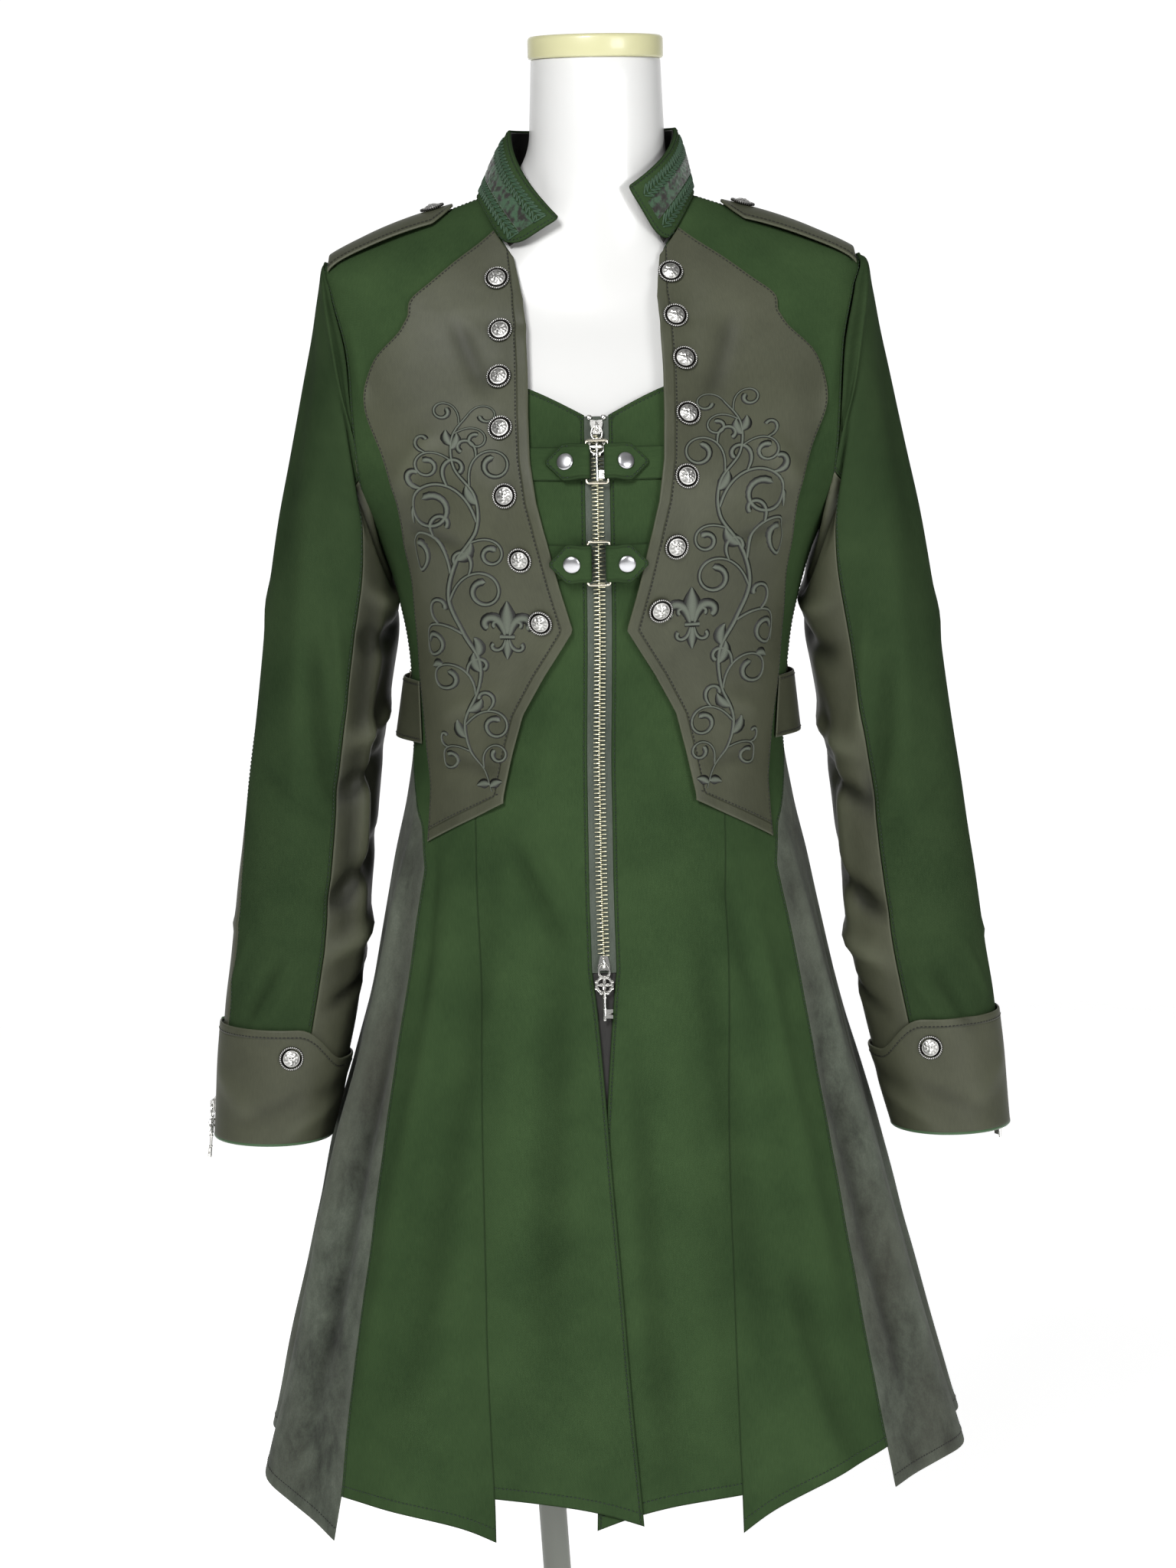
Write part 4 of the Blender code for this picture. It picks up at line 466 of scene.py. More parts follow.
def wovenCloth(name):
    look = dict(zip(clothColumns, clothRows[name]))
    material, tree, shader = newMaterial(name, {"Roughness": look["roughness"], "Sheen Weight": look["sheen"],
                                                "Sheen Roughness": 0.5, "Specular IOR Level": look["specular"]})
    cloth = addNode(tree, "UVMap", uv_map="cloth").outputs["UV"]
    place, line = objectPlace(tree), attribute(tree, "line")
    ribs = waves(tree, mapped(tree, cloth, look["ribTurn"]), look["rib"] * mm,
                 **{"Distortion": 1.2, "Detail": 1.0, "Detail Scale": 3.0})
    slub = noise(tree, mapped(tree, cloth, scale=(900, 130, 1)), 1.0, 2.0)
    cloud = noise(tree, place, 16.0, 4.0, Roughness=0.55)
    tone = remap(tree, timesPlus(tree, cloud, 0.70, timesPlus(tree, slub, 0.30)), 0.3, 0.7)
    base = mixed(tree, tone, look["dark"], look["light"])
    base = paintedFoldLight(tree, base, look["dark"], look["edge"] if name == "taupeSateen" else look["light"], *look["foldPaint"])
    # Painted shade darkens the twill within 1.6 mm of its edges, the sateen's folded edge is worn paler, and painted
    # shade darkens the groove of the topstitched line
    base = mixed(tree, remap(tree, attribute(tree, "edge"), 0.0, 1.6 * mm, look["worn"], 0.0), base, look["edge"])
    apart = addNode(tree, "Math", {0: line}, operation="ABSOLUTE").outputs[0]
    groove = remap(tree, apart, 0.0, 1.3 * mm, 1.0, 0.0, "SMOOTHSTEP")
    base = mixed(tree, timesPlus(tree, groove, 0.30), base, "14160F")
    # Heights: the pressed fold up to the stitching, ribs, the groove of the stitching, fine unevenness
    high = remap(tree, line, -0.8 * mm, 0.8 * mm, look["fold"] * mm, 0.0, "SMOOTHSTEP")
    high = timesPlus(tree, ribs, look["ribDepth"] * mm, high)
    high = timesPlus(tree, groove, -0.28 * mm, high)
    high = timesPlus(tree, noise(tree, place, 70.0, 2.0), 0.25 * mm, high)
    dress(tree, shader, base, high)
    return material


def brushedSuede(name):
    # Microfibre suede, dark grey: a short nap brushed both ways leaves cloudy patches; its folds take a painted
    # highlight on their ridges and painted shade in their valleys
    material, tree, shader = newMaterial(name, {"Roughness": 0.9, "Sheen Weight": 0.05, "Sheen Roughness": 0.6,
                                                "Specular IOR Level": 0.15})
    place = objectPlace(tree)
    long = mapped(tree, place, scale=(1.0, 1.0, 0.65))
    patch = remap(tree, noise(tree, long, 30.0, 8.0, Roughness=0.72, Distortion=0.15), 0.32, 0.70)
    nap = noise(tree, place, 700.0, 2.0)
    base = mixed(tree, patch, "232720", "5A6155")
    base = mixed(tree, remap(tree, noise(tree, long, 11.0, 3.0), 0.4, 0.7, 0.0, 0.55), base, "3B3A32")
    base = mixed(tree, remap(tree, nap, 0.3, 0.7, 0.0, 0.22), base, "1E211E")
    base = paintedFoldLight(tree, base, "23261F", "5E6459", 0.4, 0.2)
    base = mixed(tree, remap(tree, attribute(tree, "edge"), 0.0, 9 * mm, 0.3, 0.0), base, "50554B")
    dress(tree, shader, base, timesPlus(tree, patch, 0.35 * mm, timesPlus(tree, nap, 0.10 * mm)))
    return material


def brocadeWeave(name):
    # Cut-pile brocade: green pile over a dark brown-green ground, flecked finely. The relief makes the figures.
    material, tree, shader = newMaterial(name, {"Roughness": 0.85, "Sheen Weight": 0.4, "Specular IOR Level": 0.25})
    speck = noise(tree, objectPlace(tree), 230.0, 3.0)
    dress(tree, shader, mixed(tree, remap(tree, speck, 0.40, 0.58), "191712", "2F4A34"),
          timesPlus(tree, speck, 0.5 * mm))
    return material


def spunThread(name, low, high, sheen, twist):
    # Spun polyester thread or cord: painted highlight on its crown, painted shade where it meets the cloth, twisted
    # plies as fine ridges
    material, tree, shader = newMaterial(name, {"Roughness": 0.55, "Sheen Weight": sheen, "Specular IOR Level": 0.4})
    fleck = noise(tree, objectPlace(tree), 1400.0, 2.0)
    tone = remap(tree, timesPlus(tree, fleck, 0.3, attribute(tree, "rise")), 0.2, 1.1)
    cloth = addNode(tree, "UVMap", uv_map="cloth").outputs["UV"]
    plies = waves(tree, mapped(tree, cloth, 0.5), twist * mm)
    dress(tree, shader, mixed(tree, tone, low, high), timesPlus(tree, plies, 0.07 * mm))
    return material


def castMetal(name, bright, patina, roughness, wear):
    # Plated die-cast zinc, or brass or nickel: a plain metal, darker by its recess value, with fine scuffs: patina in
    # the buttons' hollows, painted shade at the zip teeth's feet
    material, tree, shader = newMaterial(name, {"Metallic": 1.0})
    scuff = noise(tree, objectPlace(tree), 420.0, 4.0)
    stain = remap(tree, timesPlus(tree, scuff, wear, attribute(tree, "recess")), wear * 0.5, 1.0)
    dress(tree, shader, mixed(tree, stain, bright, patina))
    rough = remap(tree, stain, 0.0, 1.0, roughness, min(roughness + 0.35, 0.9))
    tree.links.new(rough, shader.inputs["Roughness"])
    return material


def smoothCoat(name, colour, shade, roughness, coat, ripple):
    # Sprayed or moulded gloss: a slow ripple of the surface and a faint change of shade
    material, tree, shader = newMaterial(name, {"Roughness": roughness, "Coat Weight": coat, "Coat Roughness": 0.08})
    place = objectPlace(tree)
    dress(tree, shader, mixed(tree, noise(tree, place, 9.0, 3.0), colour, shade),
          timesPlus(tree, noise(tree, place, 160.0, 1.0), ripple * mm))
    return material


materials, slots = {}, {}
for slot, make, *rows in (      # the part's slot, the maker, what it takes for each material
        ("green_twill", wovenCloth, ("cottonTwill",), ("shadedSleeveTwill",)),
        ("taupe_sateen", wovenCloth, ("taupeSateen",), ("satinLining",)),
        ("zip_tape", wovenCloth, ("zipTapeWeave",)),
        ("grey_suede", brushedSuede, ("brushedSuede",)),
        ("green_twill", brocadeWeave, ("brocadeWeave",)),
        ("green_twill", spunThread, ("greenThread", "0B130C", "17281A", 0.0, 0.55),
         ("gimpCord", "060C07", "2A4730", 0.08, 0.6), ("greenPiping", "1F3A22", "33532F", 0.3, 1.1)),
        ("taupe_sateen", spunThread, ("taupeThread", "0C0C0A", "1A1B17", 0.0, 0.55),
         ("embroideryThread", "11120F", "52584D", 0.0, 0.7)),
        ("antique_silver", castMetal, ("antiqueSilver", "EDECE8", "171614", 0.24, 0.25),
         ("paleBrass", "D2CEB2", "2E2C1E", 0.26, 0.15)),
        ("bright_nickel", castMetal, ("polishedChrome", "C0C0C3", "6A6C74", 0.30, 0.02),
         ("paleNickel", "D9D3C2", "6E6A5E", 0.18, 0.15)),
        ("white_gloss", smoothCoat, ("glossWhite", "CDCDCC", "C8C8C6", 0.32, 0.25, 0.010)),
        ("yellow_gloss", smoothCoat, ("glossYellow", "C2C097", "BCB990", 0.35, 0.25, 0.006)),
        ("grey_paint", smoothCoat, ("greyPowderCoat", "777A72", "6C6F68", 0.42, 0.0, 0.02))):
    for row in rows:
        materials[row[0]] = make(*row)
        slots[row[0]] = slot
print("materials are mixed:", len(materials))


# Cut and sewn cloth

sewing = {"stitchLength": 2.3, "stitchPitch": 3.1, "stitchHalfWidth": 0.46}
stitchStore = {"greenThread": [], "taupeThread": []}
panels = {}


def gridLines(length, step):    # from 0 to 1: fine lines beside both ends for the rolled edge, even steps between
    fine = np.array([0.0, 0.35, 0.9, 1.8, 3.2]) * mm / length
    if fine[-1] > 0.3:
        return np.linspace(0, 1, 9)
    count = max(int(round((1 - 2 * fine[-1]) * length / step)) + 1, 2)
    return np.concatenate([fine[:-1], np.linspace(fine[-1], 1 - fine[-1], count), 1 - fine[:-1][::-1]])


def runs(points, axis):     # distance along the grid from its first row or column
    step = np.linalg.norm(np.diff(points, axis=axis), axis=-1)
    start = np.zeros_like(np.take(step, [0], axis=axis))
    return np.cumsum(np.concatenate([start, step], axis=axis), axis=axis)


def sewPanel(name, surface, thick, finish, nodes, step=5.2 * mm,
             stitched=(), inset=6 * mm):
    # Closed wall of cloth: surface(across, up, lift) gives its points, both from 0 to 1. Its edges are rolled:
    # within one thickness of an edge the faces draw together on a quarter circle.
    coarse = np.linspace(0, 1, 33)
    a, u = np.meshgrid(coarse, coarse)
    base = surface(a, u, 0 * a)
    wide, tall = runs(base, 1)[:, -1], runs(base, 0)[-1]
    a, u = np.meshgrid(gridLines(wide.max(), step), gridLines(tall.max(), step))
    base = surface(a, u, 0 * a)
    x, y = runs(base, 1), runs(base, 0)
    away = {"left": x, "right": x[:, -1:] - x, "bottom": y, "top": y[-1:] - y}
    edge = np.minimum.reduce(list(away.values()))
    roll = np.clip(edge / (thick * 0.9), 0, 1)
    roll = np.sqrt(1 - (1 - roll) ** 2) * 0.45
    lastCrease["rise"] = 0 * a
    outer = surface(a, u, thick * (0.55 + roll))
    crease = lastCrease["rise"] if np.shape(lastCrease["rise"]) == a.shape else 0 * a
    inner = surface(a, u, thick * (0.45 - roll))
    line = np.minimum.reduce([away[s] for s in stitched]) - inset if stitched else edge + 1.0
    rows, columns = a.shape
    count = rows * columns
    index = np.arange(count).reshape(rows, columns)
    ring = np.concatenate([index[0], index[1:, -1], index[-1, -2::-1], index[-2:0:-1, 0]])
    rim = np.stack([ring, np.roll(ring, -1), np.roll(ring, -1) + count, ring + count], axis=1)
    quads = np.concatenate([gridQuads(rows, columns), gridQuads(rows, columns, count), rim])
    mesh = makeMesh(name, np.concatenate([outer.reshape(-1, 3), inner.reshape(-1, 3)]), quads)
    setMap(mesh, np.tile(x.ravel(), 2), np.tile(y.ravel(), 2))
    setAttribute(mesh, "edge", np.tile(edge.ravel(), 2))
    setAttribute(mesh, "crease", np.tile(crease.ravel(), 2))
    setAttribute(mesh, "line", np.concatenate([line.ravel(), np.ones(count)]))
    piece = addPiece(name, mesh, finish, nodes)
    # The cut: the flat size of the panel across and up, measured along its coarse lines
    panels[name] = {"surface": surface, "thick": thick, "wide": (coarse, wide), "tall": (coarse, tall)}


def panelPath(name, side, inset, first=0.0, last=1.0, count=260):   # on the outer face, an inset away from one side
    panel = panels[name]
    along = np.linspace(first, last, count)
    across = {"left": along * 0, "right": along * 0 + 1, "bottom": along, "top": along}[side]
    up = {"left": along, "right": along, "bottom": along * 0, "top": along * 0 + 1}[side]
    if side in ("left", "right"):
        share = np.minimum(inset / np.interp(along, *panel["wide"]), 0.5)
        across = share if side == "left" else 1 - share
    else:
        share = np.minimum(inset / np.interp(along, *panel["tall"]), 0.5)
        up = share if side == "bottom" else 1 - share
    low = panel["surface"](across, up, 0 * across + panel["thick"])
    return low, panel["surface"](across, up, 0 * across + panel["thick"] + mm) - low


def stitchAlong(thread, path, normal):  # one row of lockstitches, each a small spindle half sunk in the cloth
    run = runs(path, 0)
    count = int(run[-1] / (sewing["stitchPitch"] * mm))
    if count < 1:
        return
    at = (np.arange(count) + 0.5) * run[-1] / count
    ahead = unit(follow(at + 0.3 * mm, run, path) - follow(at - 0.3 * mm, run, path))
    out = unit(follow(at, run, normal))
    half, fat = sewing["stitchLength"] / 2 * mm, sewing["stitchHalfWidth"] * mm
    shape = np.array([(-half, 0, -0.25 * mm), (half, 0, -0.25 * mm)]
                     + [(way * half * 0.62, fat * math.cos(t), fat * 0.8 * math.sin(t) + 0.05 * mm)
                        for way in (-1, 1) for t in (0, math.pi / 2, math.pi, 1.5 * math.pi)])
    stitchStore[thread].append(placedCopies(shape, follow(at, run, path), ahead, np.cross(out, ahead), out))


def topstitch(name, thread, *sideInsets):
    for side, inset, *ends in sideInsets:
        stitchAlong(thread, *panelPath(name, side, inset * mm, *(ends or (0.0, 1.0))))


# Fronts, gores and back

fronts = {"clothThick": 1.6, "seamGap": -0.5, "zipHalfGap": 8.8, "zipBottom": 0.846, "zipTop": 1.268,
          "princess": 92.0, "necklineRise": 36.0, "ventLift": 3.2, "hemOverlap": {-1: 18.0, 1: -16.5},
          "hemLevel": 0.452, "hemRow": 0.735, "neckEnd": 46.0, "goreTop": 1.005, "goreTip": 0.972,
          "sheetLow": 0.60}
hems = {"frontCentre": {-1: (0.446, 0.462), 1: (0.443, 0.462)}, "frontSide": {-1: (0.431, 0.448), 1: (0.435, 0.478)},
        "sideGore": {-1: (0.415, 0.452), 1: (0.448, 0.458)}, "backSide": 0.450, "backCentre": 0.430}
hemDip = {"frontCentre": {-1: 0.006, 1: 0.006}, "frontSide": {-1: 0.006, 1: 0.008}, "sideGore": {-1: 0.004, 1: 0.004}}
goreSeam = np.array([  # level, degrees
    (0.340, 50.0), (0.452, 50.0), (0.600, 53.0), (0.700, 54.5), (0.780, 57.0), (0.875, 57.5), (0.915, 57.0),
    (0.945, 63.0), (0.972, 75.0), (1.005, 90.0)])
clothThick = fronts["clothThick"] * mm


def hangHem(level, hem):    # the lowest rows are moved so that the first one lies on the hem
    share = np.clip((fronts["hemRow"] - level) / (fronts["hemRow"] - fronts["hemLevel"]), 0, 1)
    return level + (hem - fronts["hemLevel"]) * share


def seamAngle(level):       # side seam: the gore's seam, then the side, then round the armhole
    share = (level - armhole["middle"]) / armhole["half"]
    hole = armhole["halfAngle"] * np.sqrt(np.clip(1 - share ** 2, 0, 1))
    return np.radians(np.interp(level, goreSeam[:, 0], goreSeam[:, 1]) - hole)


def gapAngle(level):
    return fronts["seamGap"] * mm / 2 / readTable(bodyRings, 1, level)


def frontCentre(side):
    hand = sideNames[side]
    def surface(across, up, lift):
        level = between(fronts["hemLevel"], fronts["zipTop"], up)
        below = np.clip((fronts["zipBottom"] - level) / (fronts["zipBottom"] - fronts["hemLevel"]), 0, 1) ** 0.8
        gap = fronts["zipHalfGap"] * mm
        start = between(gap, side * fronts["hemOverlap"][side] * mm, below)
        end = (fronts["princess"] - fronts["seamGap"] / 2 - 0.8 * blend(1.160, 1.200, level)) * mm
        x = between(start, end, across)
        out = np.clip((x - gap) / (fronts["princess"] * mm - gap), 0, 1)
        rise = fronts["necklineRise"] * mm * np.sin(math.pi / 2 * out)
        hem = np.interp(across, [0, 1], hems["frontCentre"][side])
        hem = hem + hemDip["frontCentre"][side] * np.sin(math.pi * across)
        level = hangHem(level + rise * blend(1.165, fronts["zipTop"], level), hem)
        if side < 0:
            apart = 1 - blend(0.030, 0.085, np.abs(x))
            lift = lift + fronts["ventLift"] * mm * apart * blend(fronts["zipBottom"], 0.791, level)
        return onCoat(side * angleAt(x, level), level, lift)
    name = f"frontCentre_{hand}"
    sewPanel(name, surface, clothThick, "cottonTwill", [f"front_centre_{hand}"], stitched=("left", "top"),
             inset=2.6 * mm)
    topstitch(name, "greenThread", ("left", 2.6), ("top", 4.5), ("bottom", 9.0))


def frontSide(side):
    hand = sideNames[side]
    def surface(across, up, lift):
        level = between(fronts["hemLevel"], neckLevel, up)
        hem = np.interp(across, [0, 1], hems["frontSide"][side])
        hem = hem + hemDip["frontSide"][side] * np.sin(math.pi * across)
        front = hangHem(level, hems["frontSide"][side][0])
        outer = hangHem(level, hems["frontSide"][side][1])
        yoke = np.interp(front, overlayEdges[:, 0], overlayEdges[:, 1]) + 0.006
        innerX = np.where(front > 1.304, yoke, (fronts["princess"] + fronts["seamGap"] / 2) * mm)
        start = angleAt(innerX, front)
        start = start + (math.radians(fronts["neckEnd"]) - start) * blend(1.404, neckLevel, front)
        end = seamAngle(outer) - gapAngle(front)
        return onCoat(side * between(start, end, across), hangHem(level, hem), lift)
    name = f"frontSide_{hand}"
    sewPanel(name, surface, clothThick, "cottonTwill", [f"front_side_{hand}"], stitched=("right",), inset=2.6 * mm)
    topstitch(name, "greenThread", ("right", 2.6), ("bottom", 9.0))


def sideGore(side):
    hand = sideNames[side]
    def surface(across, up, lift):
        level = between(fronts["hemLevel"], fronts["goreTop"], up)
        tip = blend(fronts["goreTip"], fronts["goreTop"], level)
        frontHem, sideHem = hems["sideGore"][side]
        hem = np.interp(across, [0, 0.5, 1], [frontHem, sideHem, hems["backSide"]])
        widen = gapAngle(level) - math.radians(1.2) * tip
        start = seamAngle(hangHem(level, frontHem)) + widen
        end = math.pi - seamAngle(hangHem(level, hems["backSide"])) - widen
        hem = hem + hemDip["sideGore"][side] * np.sin(math.pi * np.clip(across * 2, 0, 1))
        return onCoat(side * between(start, end, across), hangHem(level - 0.004 * tip, hem), lift)
    name = f"sideGore_{hand}"
    sewPanel(name, surface, clothThick, "brushedSuede", [f"side_gore_{hand}"])
    topstitch(name, "taupeThread", ("bottom", 9.0))


def coatBack():
    def surface(across, up, lift):
        level = between(fronts["hemLevel"], neckLevel, up)
        hem = between(hems["backSide"], hems["backCentre"], np.sin(math.pi * across))
        start = math.pi - seamAngle(hangHem(level, hems["backSide"])) + gapAngle(level)
        angle = start + (2 * math.pi - 2 * start) * across
        # Two shaped seams and the centre seam are pressed in: valleys 0.9 mm deep that curve out over the shoulders
        seam = np.radians(152 - 16 * blend(1.02, 1.30, level))
        away = np.minimum(np.abs(angle - seam), np.abs(2 * math.pi - angle - seam))
        away = np.minimum(away, np.abs(angle - math.pi)) * 0.16
        pressed = -0.9 * mm * np.exp(-(away / 1.6 / mm) ** 2) * blend(0.0, 2 * mm, lift - 0.3 * mm)
        return onCoat(angle, hangHem(level, hem), lift + pressed)
    sewPanel("coatBack", surface, clothThick, "cottonTwill", ["back"], step=6.2 * mm)
    topstitch("coatBack", "greenThread", ("left", 2.6), ("right", 2.6), ("bottom", 9.0))


# Overlay of sateen on the chest

overlayEdges = np.array([  # level, x of the front edge, degrees of the side edge
    (0.935, 0.0690, 57.0), (0.968, 0.0690, 59.7), (0.972, 0.0690, 60.0), (1.005, 0.0620, 65.5), (1.035, 0.0545, 67.5),
    (1.066, 0.0390, 68.5), (1.100, 0.0190, 66.0), (1.132, 0.0280, 61.5), (1.165, 0.0362, 57.5), (1.1727, 0.0382, 55.8),
    (1.1944, 0.0435, 51.5), (1.2270, 0.0478, 50.0), (1.2655, 0.0488, 52.8), (1.3040, 0.0490, 50.5),
    (1.3366, 0.0490, 43.0), (1.3583, 0.0490, 42.0), (1.3660, 0.0490, 42.8), (1.3800, 0.0492, 45.5),
    (1.3940, 0.0497, 50.0), (1.4040, 0.0520, 54.0), (1.4100, 0.0545, 57.0)])
overlays = {"thick": 2.0, "layerGap": 0.8, "stand": 2.9, "standWidth": 26.0, "bottomDrop": 0.033, "bottom": 0.968,
            "top": 1.410}


def overlayLift(angle, level):      # its front edge stands off, and the straps go under it
    x = np.abs(np.sin(angle)) * readTable(bodyRings, 1, level)
    edge = np.interp(level, overlayEdges[:, 0], overlayEdges[:, 1])
    stand = overlays["stand"] * (1 - blend(0, overlays["standWidth"] * mm, x - edge))
    return clothThick + (overlays["layerGap"] + stand) * mm


def onOverlay(side, x, level, lift):    # point over the overlay's outer face, x away from the middle
    angle = angleAt(x, level)
    return onCoat(side * angle, level, overlayLift(angle, level) + overlays["thick"] * mm + lift)


def overlay(side):
    hand = sideNames[side]
    def surface(across, up, lift):
        level = between(overlays["bottom"], overlays["top"], up)
        fall = overlays["bottomDrop"] * (1 - np.clip((level - overlays["bottom"]) / 0.10, 0, 1))
        start = angleAt(np.interp(level, overlayEdges[:, 0], overlayEdges[:, 1]), level)
        end = np.radians(readTable(overlayEdges, 2, level - fall))
        angle = between(start, end, across)
        level = level - fall * across
        return onCoat(side * angle, level, overlayLift(angle, level) + lift)
    name = f"overlayCloth_{hand}"
    sewPanel(name, surface, overlays["thick"] * mm, "taupeSateen", [f"overlay_{hand}"],
             step=4.0 * mm,
             stitched=("left", "bottom"), inset=8.5 * mm)
    topstitch(name, "taupeThread", ("left", 8.5, 0.02, 1.0), ("bottom", 8.5, 0.06, 1.0), ("right", 2.0))


for side in sideNames:
    frontCentre(side)
    frontSide(side)
    sideGore(side)
    overlay(side)
coatBack()


def ventDarkSheet():       # dark sheet under the right front, which closes the view through the vent below the zip
    def surface(across, up, lift):
        level = between(fronts["sheetLow"], fronts["zipBottom"] + 2 * mm, up)
        return lifted(angleAt((across * 2 - 1) * 0.016, level), level, lift - 0.9 * mm)
    sewPanel("ventDarkSheet", surface, 0.7 * mm, "satinLining", [],
             step=5 * mm)


ventDarkSheet()
print("fronts, gores, overlays and back are sewn")


# Collar

collars = {"thick": 2.4, "topHalfWidth": 0.0605, "topDepth": 0.0640, "topLevel": 1.4625, "topEnd": 24.0,
           "corner": {-1: 1.397, 1: 1.419}, "bulge": 2.0}


def collarPoint(along, height, lift):   # along from -1 to 1 round the neck, height from 0 to 1
    along, height, lift = np.broadcast_arrays(along, height, lift)
    topReach = math.pi - math.radians(collars["topEnd"])
    baseAngle = math.pi - along * (math.pi - math.radians(fronts["neckEnd"]))
    topAngle = math.pi - along * topReach
    base = lifted(baseAngle, np.full_like(baseAngle, neckLevel), clothThick + overlays["layerGap"] * mm)
    sideAlong = 0.5 * math.pi / topReach
    fall = np.clip((np.abs(along) - sideAlong) / (1 - sideAlong), 0, 1)
    corner = np.where(along < 0, collars["corner"][-1], collars["corner"][1])
    top = np.stack([collars["topHalfWidth"] * np.sin(topAngle), -collars["topDepth"] * np.cos(topAngle),
                    collars["topLevel"] - (collars["topLevel"] - corner) * fall], axis=-1)
    out = np.stack([np.sin(topAngle), -np.cos(topAngle), 0 * topAngle], axis=-1)
    bulge = collars["bulge"] * mm * np.sin(math.pi * height)
    return between(base, top, height[..., None]) + out * (bulge + lift)[..., None]


def collarPieces():
    def surface(across, up, lift):      # the wings' lower corners are rounded off
        short = 0.055 * (1 - np.sqrt(1 - np.clip(1 - up / 0.42, 0, 1) ** 2))
        short = short + 0.012 * (1 - np.sqrt(1 - np.clip((up - 0.9) / 0.1, 0, 1) ** 2))
        return collarPoint((across * 2 - 1) * (1 - short), up, lift)
    def lining(across, up, lift):
        return collarPoint((across * 2 - 1) * 0.985, 0.03 + 0.93 * up, lift - 1.5 * mm)
    sewPanel("collarStand", surface, collars["thick"] * mm, "cottonTwill", ["collar"],
             step=3.5 * mm, stitched=("top",),
             inset=2.4 * mm)
    topstitch("collarStand", "greenThread", ("top", 2.2), ("bottom", 2.0), ("left", 2.2), ("right", 2.2))
    sewPanel("collarLining", lining, 0.7 * mm, "satinLining", [], step=6 * mm)


collarPieces()


# Shoulder tabs

tabs = {"outerX": 0.1945, "innerX": 0.0990, "halfWidth": 0.0200, "point": 0.0160, "stand": 2.4, "gap": 1.6,
        "thick": 2.2}


def shoulderPlace(x, y):    # angle and level of the body surface seen from above, by halving the range of levels
    low, high = np.full(np.shape(x), 1.30), np.full(np.shape(x), neckLevel)
    for _ in range(40):
        middle = (low + high) / 2
        inside = (x / readTable(bodyRings, 1, middle)) ** 2 + (y / readTable(bodyRings, 2, middle)) ** 2 < 1
        low, high = np.where(inside, middle, low), np.where(inside, high, middle)
    level = (low + high) / 2
    half, front = [readTable(bodyRings, k, level) for k in (1, 2)]
    return np.arctan2(x / half, -y / front), level


def shoulderTab(side):
    hand = sideNames[side]
    def surface(across, up, lift):
        x = between(tabs["outerX"], tabs["innerX"], up)
        point = np.clip((x - tabs["innerX"]) / tabs["point"], 0, 1)
        width = tabs["halfWidth"] * (0.12 + 0.88 * np.sqrt(point))
        angle, level = shoulderPlace(x, (across * 2 - 1) * width)
        rise = (tabs["gap"] + tabs["stand"] * np.sin(math.pi * up)) * mm
        return lifted(side * angle, level, clothThick + rise + lift)
    name = f"shoulderTab_{hand}"
    sewPanel(name, surface, tabs["thick"] * mm, "taupeSateen", [f"shoulder_tab_{hand}"],
             step=2.5 * mm,
             stitched=("left", "right", "top"), inset=3.4 * mm)
    topstitch(name, "taupeThread", ("left", 3.4, 0.0, 0.93), ("right", 3.4, 0.0, 0.93))


# Sleeves and cuffs

sleeveRings = np.array([  # outer side's x and z, inner side's x and z, half depth, middle's y
    (0.2055, 1.3610, 0.1668, 1.1590, 0.0640, 0.002), (0.2090, 1.3380, 0.1622, 1.1460, 0.0660, 0.003),
    (0.2195, 1.2850, 0.1555, 1.1230, 0.0660, 0.004), (0.2335, 1.2200, 0.1515, 1.0950, 0.0640, 0.005),
    (0.2480, 1.1450, 0.1560, 1.0580, 0.0610, 0.006), (0.2597, 1.0600, 0.1640, 1.0080, 0.0570, 0.007),
    (0.2695, 0.9850, 0.1690, 0.9600, 0.0535, 0.005), (0.2795, 0.9100, 0.1745, 0.9050, 0.0505, 0.002),
    (0.2880, 0.8450, 0.1815, 0.8450, 0.0480, -0.001), (0.2955, 0.7850, 0.1940, 0.7850, 0.0455, -0.003),
    (0.3020, 0.7030, 0.2155, 0.7030, 0.0430, -0.005)])
sleeves = {"swing": {-1: 0.0, 1: 0.006}, "frontSeam": 112.5, "backSeamTop": -112.5,
           "backSeamCuff": {-1: 24.0, 1: -12.0},
           "cuffThick": 2.0, "cuffGap": 1.3, "cuffTop": 9.93, "cuffLow": 10.28, "cuffEnd": 11.02,
           "zipAngle": {-1: -8.0, 1: -34.0}, "seam": 0.35}
